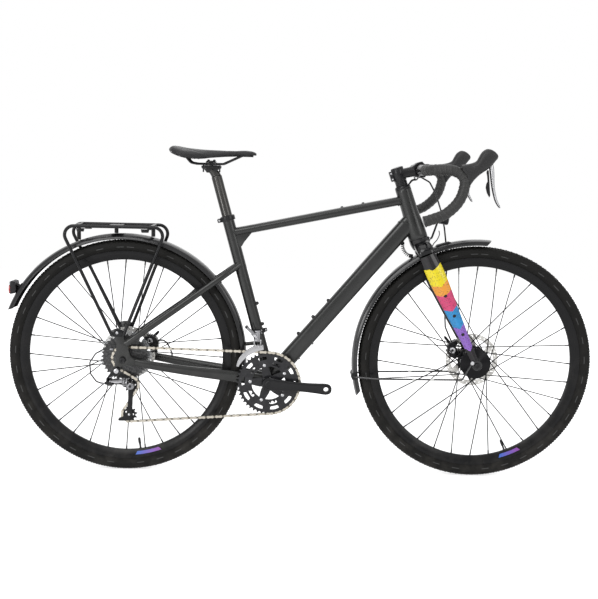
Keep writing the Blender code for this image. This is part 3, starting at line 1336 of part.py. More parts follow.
# Toothed wheels
def toothedOutline(centre, teeth, phase, floor=0.0):
    # the gaps are pointed, like the chain's wedge-shaped blocks, or have a floor of this half width
    radius = pitchRadius(teeth)
    root, tip = radius - CHAIN_HALF_HEIGHT - 0.0005, radius + 0.0026
    step = 2 * math.pi / teeth
    free = step / 2 - floor / (radius - CHAIN_HALF_HEIGHT)
    outline = []
    for k in range(teeth):
        middle = phase + step * (k + 0.5)
        marks = [(root, middle - free), (tip, middle)]
        if floor:
            marks.append((root, middle + free))
        for reach, angle in marks:
            outline.append((centre.x + reach * math.cos(angle), centre.z + reach * math.sin(angle)))
    return outline


def makeCassette(name):
    half = SPROCKET_THICKNESS / 2
    first, last = smallestPlane - half, largestPlane + half
    ends = [rearAxle + Vector((0, y, 0)) for y in (first + 0.0002, last - 0.0002)]
    core = rod(*ends, 0.0198, 8, name)
    for i, teeth in enumerate(SPROCKET_TEETH):
        plane = smallestPlane + i * SPROCKET_SPACING
        if i == DRIVEN_SPROCKET:
            outline = toothedOutline(rearAxle, teeth, toothPhase(0))
        else:
            corners = 24 if i == len(SPROCKET_TEETH) - 1 else 12
            ring = [polar(rearAxle, pitchRadius(teeth) + 0.001, 360 * k / corners) for k in range(corners)]
            outline = [(p.x, p.z) for p in ring]
        join(core, plate("sprocket", outline, plane - half, plane + half))
    return cut(core, rod(rearAxle - Vector((0, 0.08, 0)), rearAxle, freehubRadius + 0.0006, 16))


crankRun = Vector((math.cos(math.radians(CRANK_ANGLE)), 0, math.sin(math.radians(CRANK_ANGLE))))
boltAngles = [CRANK_ANGLE + 35.0 + 72.0 * k for k in range(5)]
innerPlane = CHAIN_PLANE + RING_SPACING


def makeRing(name, teeth, plane, bodyDepth, phase):
    # a toothed ring; a deep one has five tabs that reach the spider, and ten windows
    half = RING_THICKNESS / 2
    ring = plate(name, toothedOutline(crankAxle, teeth, phase), plane - half, plane + half)
    body = pitchRadius(teeth) - bodyDepth
    tab = BOLT_CIRCLE_RADIUS - 0.006
    holes = []
    if body <= BOLT_CIRCLE_RADIUS + 0.004:
        holes.append([polar(crankAxle, tab, 18 * k) for k in range(20)])
    else:
        tabbed = ((tab, -8), (tab, 8), (body, 13), (body, 36), (body, 59))
        holes.append([polar(crankAxle, radius, angle + turn) for angle in boltAngles for radius, turn in tabbed])
        window = ((body + 0.0052, -8.5), (body + 0.0140, -10), (body + 0.0150, 0), (body + 0.0140, 10),
                  (body + 0.0052, 8.5))
        for angle in boltAngles:
            for middle in (angle, angle + 36):
                holes.append([polar(crankAxle, radius, middle + turn) for radius, turn in window])
    return cut(ring, *(plate("hole", [(p.x, p.z) for p in hole], plane - 0.01, plane + 0.01) for hole in holes))


bossInner = cupFace + SEAT_GAP
spiderInner = -(innerPlane - RING_THICKNESS / 2 - SEAT_GAP)
spiderOuter = -(CHAIN_PLANE + RING_THICKNESS / 2 + SEAT_GAP)


def makeArm(side, run, start):
    # a crank arm that leans outward to the pedal end
    base = crankAxle + Vector((0, side * start, 0))
    end = crankAxle + run * CRANK_LENGTH + Vector((0, side * (PEDAL_FACE - ARM_THICKNESS / 2), 0))
    half = ARM_THICKNESS / 2
    rings = []
    for share, width, thick in ((0.02, 0.0190, half), (0.20, 0.0165, half), (0.50, 0.0135, half * 0.95),
                                (0.85, 0.0150, half * 0.95), (1.0, 0.0165, half), (1.07, 0.0125, half),
                                (1.097, 0.0050, half)):
        point = base.lerp(end, min(share, 1.0)) + run * CRANK_LENGTH * max(share - 1.0, 0.0)
        wide = Vector((-run.z, 0, run.x))
        rings.append([point + wide * u + Vector((0, v, 0)) for u, v in ovalSection(width, thick, 8, 5.0)])
    return lofted("arm", rings)


def pedalHole(run):
    end = crankAxle + run * CRANK_LENGTH
    return rod(end - Vector((0, 0.12, 0)), end + Vector((0, 0.12, 0)), PEDAL_HOLE_RADIUS, 12)


def makeRightCrank(name):
    bore = SPINDLE_RADIUS + SEAT_GAP
    profile = ((0, -bossInner), (0.0215, -bossInner), (0.0215, -0.0620), (0.0185, -0.0705), (0, -0.0705))
    crank = turned(name, profile, TUBE_SIDES, onAxle(crankAxle))
    join(crank, makeArm(-1, crankRun, 0.0640))
    for angle in boltAngles:
        corners = ((0.016, -26), (0.045, -8.5), (BOLT_CIRCLE_RADIUS + 0.0065, -5.5),
                   (BOLT_CIRCLE_RADIUS + 0.0065, 5.5), (0.045, 8.5), (0.016, 26))
        outline = [polar(crankAxle, radius, angle + turn) for radius, turn in corners]
        join(crank, plate("spider", [(p.x, p.z) for p in outline], -spiderOuter, -spiderInner))
    blind = crankAxle + Vector((0, -0.0658, 0))
    return cut(crank, pedalHole(crankRun), rod(blind, crankAxle, bore, TUBE_SIDES))


def makeLeftCrank(name):
    profile = ((0, -0.0655), (SPINDLE_RADIUS, -0.0655), (SPINDLE_RADIUS, bossInner), (0.0185, bossInner),
               (0.0185, 0.0700), (0.0160, 0.0725), (0, 0.0725))
    crank = turned(name, profile, TUBE_SIDES, onAxle(crankAxle))
    join(crank, makeArm(1, -crankRun, 0.0640))
    return cut(crank, pedalHole(-crankRun))


hang(makeCassette("cassette"), cassetteAxis, blackMetal)
hang(makeRing("outer_chainring", OUTER_TEETH, CHAIN_PLANE, 0.0270, toothPhase(1)), crankSpin, blackMetal)
hang(makeRing("inner_chainring", INNER_TEETH, innerPlane, 0.0090, 0.0), crankSpin, blackMetal)
hang(makeRightCrank("crank_right"), crankSpin, blackMetal)
hang(makeLeftCrank("crank_left"), crankSpin, blackMetal)
hang(makeChain("chain"), bike, chainSteel)

# Rear derailleur: a slanted parallelogram between two knuckles
slant = math.radians(LINK_SLANT)
linkAxis = Vector((0, math.sin(slant), math.cos(slant)))
linkInward = Vector((0, math.cos(slant), -math.sin(slant)))
linkOrigin = rearAxle + Vector((-0.036, -0.0715, -0.067))
earInner, earOuter = 0.0065, 0.0085
barrelHalf = earInner - SEAT_GAP
pinRadius, pinBore = 0.0021, 0.0025
cageInner = INNER_LINK_HALF + PLATE_THICKNESS * 2 + 0.0012
cagePlate = 0.0015
knuckleFace = -CHAIN_PLANE + cageInner + cagePlate + SEAT_GAP


def onLink(x, across, along):
    return linkOrigin + Vector((x, 0, 0)) + linkInward * across + linkAxis * along


def slantedBlock(xLow, xHigh, acrossLow, acrossHigh, alongLow, alongHigh):
    near = [onLink(xLow, a, b) for a, b in ((acrossLow, alongLow), (acrossHigh, alongLow),
                                           (acrossHigh, alongHigh), (acrossLow, alongHigh))]
    far = [point + Vector((xHigh - xLow, 0, 0)) for point in near]
    return lofted("slanted", [near, far])


def addEars(knuckle, x):
    # two ears with the link pins between them
    for level in (-1, 1):
        low, high = sorted((level * earInner, level * earOuter))
        join(knuckle, slantedBlock(x - 0.0062, x + 0.0062, -0.0105, 0.0105, low, high))
    for across in (-LINK_SPACING / 2, LINK_SPACING / 2):
        pinHalf = earOuter - 0.0005
        join(knuckle, rod(onLink(x, across, -pinHalf), onLink(x, across, pinHalf), pinRadius))
    return knuckle


def makeDerailleurBody(name):
    knuckle = slantedBlock(-0.0110, -0.0056, -0.0100, 0.0100, -0.0090, 0.0090)
    knuckle.name = name
    addEars(knuckle, 0.0)
    h = hangerPoint
    inner = -dropoutOuter - SEAT_GAP
    arm = ((h.x - 0.004, h.z + 0.0105), (h.x - 0.011, h.z + 0.002), (linkOrigin.x - 0.0105, linkOrigin.z + 0.012),
           (linkOrigin.x - 0.0105, linkOrigin.z - 0.002), (linkOrigin.x - 0.0060, linkOrigin.z + 0.012),
           (h.x - 0.004, h.z - 0.0105), (h.x + 0.005, h.z - 0.009), (h.x + 0.0105, h.z), (h.x + 0.006, h.z + 0.009))
    join(knuckle, plate("arm", arm, inner - 0.0085, inner))
    join(knuckle, rod((h.x, inner - 0.004, h.z), (h.x, -dropoutInner + 0.001, h.z), 0.0042))
    stop = Vector((linkOrigin.x - 0.009, inner - 0.0045, linkOrigin.z - 0.002))
    join(knuckle, rod(stop + Vector((0.004, 0, 0.001)), stop + Vector((-0.006, 0, -0.003)), 0.0036))
    return knuckle


def makeLink(name, across, thickness, tall):
    barrel = rod(onLink(0, across, -barrelHalf), onLink(0, across, barrelHalf), 0.0042, 8, name)
    join(barrel, rod(onLink(LINK_LENGTH, across, -barrelHalf), onLink(LINK_LENGTH, across, barrelHalf), 0.0042, 8))
    join(barrel, slantedBlock(0.002, LINK_LENGTH - 0.002, across - thickness, across + thickness,
                              -barrelHalf + 0.0002, barrelHalf - 0.0002))
    join(barrel, slantedBlock(0.0112, LINK_LENGTH - 0.0112, across - thickness * 0.9, across + thickness * 0.9,
                              -tall, tall))
    for x in (0, LINK_LENGTH):
        cut(barrel, rod(onLink(x, across, -0.02), onLink(x, across, 0.02), pinBore))
    return barrel


def makeKnuckle(name):
    x = LINK_LENGTH
    knuckle = slantedBlock(x + 0.0056, x + 0.0110, -0.0100, 0.0100, -0.0090, 0.0090)
    knuckle.name = name
    addEars(knuckle, x)
    g = guidePoint
    join(knuckle, rod((g.x, -knuckleFace - 0.0200, g.z), (g.x, -knuckleFace, g.z), 0.0115, 12))
    return cut(knuckle, rod((g.x, -knuckleFace - 0.0120, g.z), (g.x, -knuckleFace + 0.01, g.z), 0.0066, 12))


def makeCage(name):
    # two plates that hold the pulleys between them, with the pivot stub outboard
    raw = ((-0.0110, 0.0055), (-0.0110, -0.0055), (0.0000, -0.0115), (0.0120, -0.0090), (0.0780, -0.0075),
           (0.0920, -0.0105), (0.1040, -0.0050), (0.1090, 0.0060), (0.1110, 0.0300), (0.1050, 0.0310),
           (0.0940, 0.0130), (0.0780, 0.0070), (0.0120, 0.0080), (0.0000, 0.0115))
    scale = CAGE_LENGTH / 0.090
    outline = [guidePoint + cageDirection * (s * scale) + cageBack * t for s, t in raw]
    outline = [(p.x, p.z) for p in outline]
    cage = plate(name, outline, CHAIN_PLANE - cageInner - cagePlate, CHAIN_PLANE - cageInner)
    join(cage, plate("inner", outline, CHAIN_PLANE + cageInner, CHAIN_PLANE + cageInner + cagePlate))
    for centre in (guidePoint, tensionPoint(cageSettled)):
        join(cage, rod((centre.x, CHAIN_PLANE - cageInner - 0.001, centre.z),
                       (centre.x, CHAIN_PLANE + cageInner + 0.001, centre.z), 0.0022))
    g = guidePoint
    join(cage, rod((g.x, -knuckleFace - 0.0110, g.z), (g.x, CHAIN_PLANE - cageInner - 0.0008, g.z), 0.0060, 12))
    return cage


def makePulley(name, order):
    centre = (tensionPoint(cageSettled), guidePoint)[order - 2]
    half = INNER_LINK_HALF - SEAT_GAP
    # the chain's wide side meets the guide pulley
    floor = ROLLER_HALF + 0.0006 if order == 3 else 0.0
    outline = toothedOutline(centre, PULLEY_TEETH, toothPhase(order), floor)
    pulley = plate(name, outline, CHAIN_PLANE - half, CHAIN_PLANE + half)
    hub = cageInner - SEAT_GAP
    join(pulley, rod((centre.x, CHAIN_PLANE - hub, centre.z), (centre.x, CHAIN_PLANE + hub, centre.z), 0.0058, 8))
    reach = Vector((0, 0.02, 0))
    middle = Vector((centre.x, CHAIN_PLANE, centre.z))
    return cut(pulley, rod(middle - reach, middle + reach, 0.0026))


outerLinkAxis = axisEmpty("outer_link_axis", onLink(0, -LINK_SPACING / 2, 0))
innerLinkAxis = axisEmpty("inner_link_axis", onLink(0, LINK_SPACING / 2, 0))
knuckleAxis = axisEmpty("knuckle_axis", onLink(LINK_LENGTH, -LINK_SPACING / 2, 0), outerLinkAxis)
cageAxis = axisEmpty("cage_axis", guidePoint, knuckleAxis)
guideAxis = axisEmpty("guide_pulley_axis", guidePoint, cageAxis)
tensionAxis = axisEmpty("tension_pulley_axis", tensionPoint(cageSettled), cageAxis)
hang(makeDerailleurBody("rear_derailleur_body"), bike, blackMetal)
hang(makeLink("derailleur_outer_link", -LINK_SPACING / 2, 0.0018, 0.0080), outerLinkAxis, silverMetal)
hang(makeLink("derailleur_inner_link", LINK_SPACING / 2, 0.0015, 0.0050), innerLinkAxis, blackMetal)
hang(makeKnuckle("derailleur_knuckle"), knuckleAxis, silverMetal)
hang(makeCage("derailleur_cage"), cageAxis, blackMetal)
hang(makePulley("guide_pulley", 3), guideAxis, blackPlastic)
hang(makePulley("tension_pulley", 2), tensionAxis, blackPlastic)

# Front derailleur: a clamp, one link and the cage over the outer chainring
shiftPivot = onSeatTube(SHIFT_CLAMP_HEIGHT + 0.004, 0.002, -0.0300)
shiftLower = shiftPivot + Vector((0, -0.0165, -0.0240))
cageRadius = pitchRadius(OUTER_TEETH) + 0.0030 + SHIFT_CAGE_CLEARANCE


def makeShiftClamp(name):
    inner, outer = SEAT_TUBE_RADIUS + SEAT_GAP, SEAT_TUBE_RADIUS + 0.0038
    low, high = SHIFT_CLAMP_HEIGHT - 0.007, SHIFT_CLAMP_HEIGHT + 0.007
    clamp = turned(name, ((inner, low), (outer, low), (outer, high), (inner, high)), TUBE_SIDES,
                   axisFrame(seatOrigin, seatUp))
    p = shiftPivot
    for x in (-0.0110, 0.0080):
        low = Vector((p.x + x, -SEAT_TUBE_RADIUS - 0.0020, p.z - 0.0050))
        join(clamp, block((low.x, p.y - 0.0042, low.z), (low.x + 0.003, low.y, low.z + 0.0095)))
    join(clamp, rod((p.x - 0.0100, p.y, p.z), (p.x + 0.0100, p.y, p.z), 0.0020))
    return clamp


def makeShiftLink(name):
    a, b = shiftPivot, shiftLower
    half = 0.0080 - SEAT_GAP
    link = rod((a.x - half, a.y, a.z), (a.x + half, a.y, a.z), 0.0040, 8, name)
    join(link, rod((b.x - half, b.y, b.z), (b.x + half, b.y, b.z), 0.0040, 8))
    run = (b - a).normalized()
    side = Vector((0, -run.z, run.y)) * 0.0016
    corners = (a + side, b + side, b - side, a - side)
    rings = [[point + Vector((x, 0, 0)) for point in corners] for x in (0.0002 - half, half - 0.0002)]
    join(link, lofted("web", rings))
    for centre in (a, b):
        cut(link, rod((centre.x - 0.03, centre.y, centre.z), (centre.x + 0.03, centre.y, centre.z), 0.0024))
    return link


def makeShiftCage(name):
    # outer and inner plates that follow the chainring, joined over the chain and at the tail
    angles = (99, 110, 121, 132, 143, 152)
    depths = (0.013, 0.0165, 0.0165, 0.0145, 0.0115, 0.0070)
    lower = [polar(crankAxle, cageRadius, angle) for angle in angles]
    upper = [polar(crankAxle, cageRadius + depth, angle) for angle, depth in zip(angles, depths)]
    outline = [(p.x, p.z) for p in lower + list(reversed(upper))]
    outerFace = CHAIN_PLANE - SHIFT_CAGE_HALF
    cage = plate(name, outline, outerFace - 0.0012, outerFace)
    join(cage, plate("inner", outline, CHAIN_PLANE + SHIFT_CAGE_HALF, CHAIN_PLANE + SHIFT_CAGE_HALF + 0.0012))
    bridge = [polar(crankAxle, cageRadius + 0.0118, 99.5), polar(crankAxle, cageRadius + 0.0140, 108),
              polar(crankAxle, cageRadius + 0.0155, 108), polar(crankAxle, cageRadius + 0.0127, 99.5)]
    near, far = outerFace - 0.0008, CHAIN_PLANE + SHIFT_CAGE_HALF + 0.0008
    join(cage, plate("bridge", [(p.x, p.z) for p in bridge], near, far))
    tail = polar(crankAxle, cageRadius + 0.0035, 150)
    join(cage, rod((tail.x, near, tail.z), (tail.x, far, tail.z), 0.0018))
    b = shiftLower
    top = polar(crankAxle, cageRadius + 0.0125, 104)
    for x in (-0.0110, 0.0080):
        arm = ((b.x + x, b.z + 0.004), (b.x + x + 0.003, b.z + 0.004), (b.x + x + 0.003, top.z - 0.002),
               (b.x + x, top.z - 0.002))
        join(cage, plate("arm", arm, b.y - 0.0030, b.y + 0.0030))
    join(cage, rod((b.x - 0.0100, b.y, b.z), (b.x + 0.0100, b.y, b.z), 0.0020))
    return cage


shiftLinkAxis = axisEmpty("shift_link_axis", shiftPivot)
shiftCageAxis = axisEmpty("shift_cage_axis", shiftLower, shiftLinkAxis)
hang(makeShiftClamp("front_derailleur_clamp"), bike, silverMetal)
hang(makeShiftLink("front_derailleur_link"), shiftLinkAxis, silverMetal)
hang(makeShiftCage("front_derailleur_cage"), shiftCageAxis, silverMetal)

# Disc brakes
rearCaliperPivot = Vector((0.064, rearRotorPlane + 0.0150, WHEEL_RADIUS + 0.038))
frontCaliperCentre = frontAxle - bladeRun * 0.052 + bladeBack * (0.002 + caliperStand + SEAT_GAP + 0.017)
frontCaliperPivot = frontCaliperCentre + Vector((0, frontRotorPlane + 0.0190, 0))
armThickness = 0.004


def makeRearCaliper(name):
    base = caliperPadTop + SEAT_GAP
    raw = ((0.038, base), (0.088, base), (0.091, base + 0.010), (0.086, base + 0.034), (0.074, base + 0.042),
           (0.050, base + 0.040), (0.040, base + 0.026))
    body = chamfer(plate(name, raw, rearRotorPlane - 0.0150, rearRotorPlane + 0.0145), 0.003)
    cut(body, rod(rearAxle + Vector((0, rearRotorPlane - rotorSlot, 0)),
                  rearAxle + Vector((0, rearRotorPlane + rotorSlot, 0)), ROTOR_RADIUS + 0.0015, 32))
    p = rearCaliperPivot
    return join(body, rod((p.x, p.y - 0.003, p.z), (p.x, p.y + SEAT_GAP + armThickness + 0.001, p.z), 0.0030))


def makeFrontCaliper(name):
    c = frontCaliperCentre
    raw = ((-0.024, -0.017), (0.024, -0.017), (0.026, 0.004), (0.020, 0.016), (-0.016, 0.017), (-0.025, 0.006))
    outline = [c + bladeRun * t + bladeBack * n for t, n in raw]
    body = plate(name, [(p.x, p.z) for p in outline], frontRotorPlane - 0.0110, frontRotorPlane + 0.0185)
    chamfer(body, 0.003)
    cut(body, rod(frontAxle + Vector((0, frontRotorPlane - rotorSlot, 0)),
                  frontAxle + Vector((0, frontRotorPlane + rotorSlot, 0)), ROTOR_RADIUS + 0.0015, 32))
    p = frontCaliperPivot
    return join(body, rod((p.x, p.y - 0.003, p.z), (p.x, p.y + SEAT_GAP + armThickness + 0.001, p.z), 0.0030))


def makeCaliperArm(name, pivot, toward, base):
    # a cable arm: an eye on its pin and a tapered tongue
    run = toward.normalized()
    side = Vector((-run.z, 0, run.x))
    reach = toward.length
    raw = ((-0.006, -0.004), (-0.006, 0.004), (0.0, 0.0078), (reach, 0.0042), (reach + 0.004, 0.0),
           (reach, -0.0042), (0.0, -0.0078))
    outline = [pivot + run * s + side * t for s, t in raw]
    arm = plate(name, [(p.x, p.z) for p in outline], base, base + armThickness)
    return cut(arm, rod((pivot.x, base - 0.01, pivot.z), (pivot.x, base + 0.02, pivot.z), 0.0035))


rearArmBase = rearCaliperPivot.y + SEAT_GAP
frontArmBase = frontCaliperPivot.y + SEAT_GAP
rearArmAxis = axisEmpty("rear_caliper_arm_axis", rearCaliperPivot)
frontArmAxis = axisEmpty("front_caliper_arm_axis", frontCaliperPivot, steeringAxis)
rearArmReach = Vector((0.020, 0, 0.022))
frontArmReach = Vector((-0.024, 0, 0.030))
hang(makeRearCaliper("rear_caliper"), bike, blackMetal)
hang(makeFrontCaliper("front_caliper"), steeringAxis, blackMetal)
rearArm = makeCaliperArm("rear_caliper_arm", rearCaliperPivot, rearArmReach, rearArmBase)
hang(rearArm, rearArmAxis, silverMetal)
frontArm = makeCaliperArm("front_caliper_arm", frontCaliperPivot, frontArmReach, frontArmBase)
hang(frontArm, frontArmAxis, silverMetal)


# Rear fender, rack and lights
def makeRearFender(name):
    return makeFenderStrip(name, rearFenderCentre, REAR_FENDER_START, REAR_FENDER_END)


rackFront = 0.116
rackRear = rackFront - RACK_LENGTH


def makeRack(name):
    # two bent side loops, cross members, foot lugs and the plates over the fender
    foot = rackLug
    rack = None
    for side in (-1, 1):
        y = side * RACK_HALF_WIDTH
        low = side * RACK_FOOT_HALF_WIDTH
        legTurn = RACK_TOP - 0.030
        loop = [(foot.x + 0.018, low, foot.z - 0.012), (rackFront, y * 1.03, legTurn),
                (rackFront - 0.010, y, RACK_TOP), (rackRear + 0.012, y, RACK_TOP),
                (rackRear, y * 1.03, legTurn - 0.006), (foot.x - 0.014, low, foot.z - 0.012)]
        rail = tube(name, filleted(loop, 0.014, 1), RACK_TUBE_RADIUS, 1)
        lugOutline = ((foot.x - 0.018, foot.z - 0.014), (foot.x + 0.021, foot.z - 0.014),
                      (foot.x + 0.019, foot.z + 0.004), (foot.x + 0.006, foot.z + 0.009),
                      (foot.x - 0.006, foot.z + 0.009), (foot.x - 0.017, foot.z + 0.004))
        lugFace = dropoutOuter + 0.002 + SEAT_GAP
        join(rail, plate("lug", lugOutline, side * lugFace, side * (lugFace + 0.0040)))
        rack = rail if rack is None else join(rack, rail)
    for x in (rackRear + 0.034, rackFront - 0.036):
        join(rack, rod((x, -RACK_HALF_WIDTH, RACK_TOP), (x, RACK_HALF_WIDTH, RACK_TOP), RACK_TUBE_RADIUS * 0.9))
    middle = (rackRear + rackFront) / 2
    join(rack, block((middle - 0.020, -RACK_HALF_WIDTH, RACK_TOP - 0.0030),
                     (middle + 0.020, RACK_HALF_WIDTH, RACK_TOP + 0.0020)))
    # struts that stand on the fender crown
    for x in (rackRear + 0.034, middle, rackFront - 0.036):
        back = x - rearFenderCentre.x
        surface = rearFenderCentre.z + math.sqrt(FENDER_RADIUS ** 2 - back ** 2) + SEAT_GAP * 2
        lean = abs(back) / FENDER_RADIUS * 0.006
        join(rack, rod((x, 0, surface + lean), (x, 0, RACK_TOP), 0.006))
    return rack


lampAngle = 146.6
lampPlace = polar(rearFenderCentre, FENDER_RADIUS, lampAngle)


def makeRearLight(name):
    # a rounded lamp whose red lens faces back, with a foot on the fender
    x, z = lampPlace.x, lampPlace.z
    raw = ((x - 0.030, z - 0.018), (x - 0.027, z - 0.020), (x - 0.010, z - 0.017), (x - 0.006, z - 0.004),
           (x - 0.010, z + 0.018), (x - 0.024, z + 0.020), (x - 0.030, z + 0.017), (x - 0.033, z))
    lamp = chamfer(plate(name, raw, -0.024, 0.024), 0.004)
    outward = (lampPlace - rearFenderCentre).normalized()
    seat = rearFenderCentre + outward * (FENDER_RADIUS + SEAT_GAP)
    return join(lamp, rod(seat, seat + outward * 0.013, 0.006))


lampBolt = onSteering(AXLE_TO_CROWN - 0.012, HEAD_TUBE_BOTTOM_RADIUS + 0.0003)
frontLampCentre = Vector((barCentre.x + 0.072, 0, barCentre.z - 0.153))


def makeFrontLight(name):
    # a lamp with its lens to the front, on a bent bracket from the fork crown
    c = frontLampCentre
    profile = ((0, -0.026), (0.010, -0.024), (0.0155, -0.014), (0.0175, 0.008), (0.0185, 0.020),
               (0.0165, 0.023), (0, 0.024))
    lamp = turned(name, profile, 12, axisFrame(c, Vector((1, 0, -0.08)), Vector((0, 0, 1))))
    start = lampBolt + steerForward * 0.0003
    route = [start, start + steerForward * 0.012, c + Vector((-0.022, 0, -0.030)), c + Vector((-0.012, 0, -0.008))]
    join(lamp, tube("bracket", filleted(route, 0.006, 1), 0.0030, 1))
    return lamp


hang(makeRearFender("rear_fender"), bike, blackGloss)
hang(makeRack("rear_rack"), bike, blackMetal)
hang(makeRearLight("rear_light"), bike, lampBlack)
hang(makeFrontLight("front_light"), steeringAxis, lampBlack)


# Cables that the bike holds all the way
def makeCable(name, points, radius, axis):
    path = smoothed(points, radius * 6)
    return hang(tube(name, path, radius, 2), axis, blackPlastic)


cableRadius = 0.0024
stopPoint = Vector((linkOrigin.x - 0.0165, -dropoutOuter - SEAT_GAP - 0.0045, linkOrigin.z - 0.0050))
shiftLoop = ((-0.0265, 0.0005 - dropoutOuter, 0.030), (-0.052, -0.0760, 0.0325), (-0.078, -0.0780, 0.018),
             (-0.095, -0.0790, -0.008), (-0.093, -0.0790, -0.042), (-0.076, -0.0790, -0.065))
shiftRoute = [rearAxle + Vector(place) for place in shiftLoop] + [stopPoint]
makeCable("rear_shift_cable", shiftRoute, 0.0021, bike)
rearBrakeBend = ((0.0886, 0.0600, 0.0360), (0.102, 0.0605, 0.0385), (0.114, 0.0615, 0.0300),
                 (0.124, 0.0625, 0.0120), (0.1308, 0.0633, -0.0091))
rearBrakeRoute = [rearAxle + Vector(place) for place in rearBrakeBend]
makeCable("rear_brake_cable", rearBrakeRoute, cableRadius, bike)
tapeStart = BAR_HALF_WIDTH * 0.55 - 0.0006
underBar = BAR_RADIUS + cableRadius - SEAT_GAP
caliperSeat = frontCaliperCentre - bladeRun * 0.0250 - bladeBack * 0.002
besideBlade = ((-0.1276, 0.042, 0.500), (-0.1106, 0.032, 0.447), (-0.0996, 0.033, 0.400), (-0.0916, 0.040, 0.350),
               (-0.0851, 0.0560, 0.290), (-0.0831, 0.0672, 0.240), (-0.0829, 0.0700, 0.180),
               (-0.0826, 0.0685, 0.130), (-0.0806, 0.0630, 0.095))
frontBrakeRoute = [barCentre + Vector((0, tapeStart, -underBar)), barCentre + Vector((0, 0.096, -underBar)),
                   barCentre + Vector((0.004, 0.078, -0.0175)), barCentre + Vector((0.036, 0.052, -0.036)),
                   *(frontAxle + Vector(place) for place in besideBlade),
                   caliperSeat + Vector((-0.0055, 0.053, 0.0115)), caliperSeat + Vector((0, 0.0505, 0.0005))]
makeCable("front_brake_cable", frontBrakeRoute, cableRadius, steeringAxis)


def makeControlCables(name):
    # the cables leave the tape on each side, run under the stem and meet at the bearing cover
    made = None
    end = onSteering(headTop + SEAT_GAP * 2 + 0.0055, HEAD_TUBE_TOP_RADIUS - 0.004)
    diagonal = underBar * 0.7071
    for side in (-1, 1):
        route = [barCentre + Vector((-diagonal, side * tapeStart, -diagonal)),
                 barCentre + Vector((-diagonal, side * 0.090, -diagonal)),
                 barCentre + Vector((-0.0100, side * 0.060, -0.0185)),
                 barCentre + Vector((-0.0120, side * 0.022, -0.0285)),
                 end + Vector((0.0100, side * 0.0080, 0.0140)),
                 end + Vector((0.0010, side * 0.0015, 0.0018))]
        piece = tube(name, smoothed(route, cableRadius * 6), cableRadius, 2)
        made = piece if made is None else join(made, piece)
    return made


hang(makeControlCables("control_cables"), steeringAxis, blackPlastic)

# The origin lies under the middle of the bike
frontEnd = WHEELBASE + WHEEL_RADIUS
rearEnd = polar(rearFenderCentre, FENDER_RADIUS, REAR_FENDER_END).x
bike.location = (-(frontEnd + rearEnd) / 2, 0, 0)
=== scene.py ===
# Gravel bike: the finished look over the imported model, lit and framed like a studio side view
import json
import math

import bmesh
import bpy
from mathutils import Matrix, Vector


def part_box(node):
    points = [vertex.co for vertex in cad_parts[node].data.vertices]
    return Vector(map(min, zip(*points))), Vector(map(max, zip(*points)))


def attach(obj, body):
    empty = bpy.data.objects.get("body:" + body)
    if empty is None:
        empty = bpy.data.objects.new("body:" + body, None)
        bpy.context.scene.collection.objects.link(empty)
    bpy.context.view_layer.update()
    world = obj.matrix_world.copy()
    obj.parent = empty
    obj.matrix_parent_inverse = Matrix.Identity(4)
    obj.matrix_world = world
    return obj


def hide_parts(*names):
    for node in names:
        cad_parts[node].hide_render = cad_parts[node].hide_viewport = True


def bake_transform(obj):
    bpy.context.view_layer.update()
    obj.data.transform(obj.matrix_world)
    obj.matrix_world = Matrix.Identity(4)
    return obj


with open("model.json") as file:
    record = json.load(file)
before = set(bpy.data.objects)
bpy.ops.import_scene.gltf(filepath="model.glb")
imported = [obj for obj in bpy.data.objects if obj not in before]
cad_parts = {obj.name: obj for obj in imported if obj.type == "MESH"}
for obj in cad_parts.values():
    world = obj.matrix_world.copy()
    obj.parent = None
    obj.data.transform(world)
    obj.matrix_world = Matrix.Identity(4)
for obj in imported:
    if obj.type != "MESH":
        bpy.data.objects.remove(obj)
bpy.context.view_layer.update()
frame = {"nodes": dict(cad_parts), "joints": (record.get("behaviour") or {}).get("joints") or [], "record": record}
joints = {joint["name"]: joint for joint in frame["joints"]}
up, left = Vector((0, 0, 1)), Vector((0, 1, 0))
print("frame loaded:", len(frame["nodes"]), "nodes")


# places that everything else is worked out from
def middleOf(node):
    low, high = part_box(node)
    return (Vector(low) + Vector(high)) / 2


rearHub, frontHub = middleOf("rear_tyre"), middleOf("front_tyre")
crankAxle = middleOf("bottom_bracket")
steerBase = Vector(joints["steering_turn"]["pos_m"])
steerUp = Vector(joints["steering_turn"]["axis"]).normalized()
steerAhead = Vector((steerUp.z, 0, -steerUp.x))
seatUp = Vector(joints["seatpost_slide"]["axis"]).normalized()
seatAhead = Vector((seatUp.z, 0, -seatUp.x))
seatFoot = crankAxle + Vector((0.005, 0, 0))
forkFace, dropoutFace, fit = 0.0503 + 0.0115, 0.0745, 0.0003  # outer faces of the two ends, and the gap of a seat


def fromRear(x, z, y=0.0):  # a point counted from below the rear axle
    return Vector((rearHub.x + x, y, z))


def onSteerer(along, ahead=0.0, y=0.0):  # counted up from the foot of the head tube
    return steerBase + steerUp * along + steerAhead * ahead + left * y


def onSeatTube(along, ahead=0.0, y=0.0):
    return seatFoot + seatUp * along + seatAhead * ahead + left * y


def onCircle(centre, radius, degrees, y=0.0):
    angle = math.radians(degrees)
    return Vector((centre.x + radius * math.cos(angle), y, centre.z + radius * math.sin(angle)))


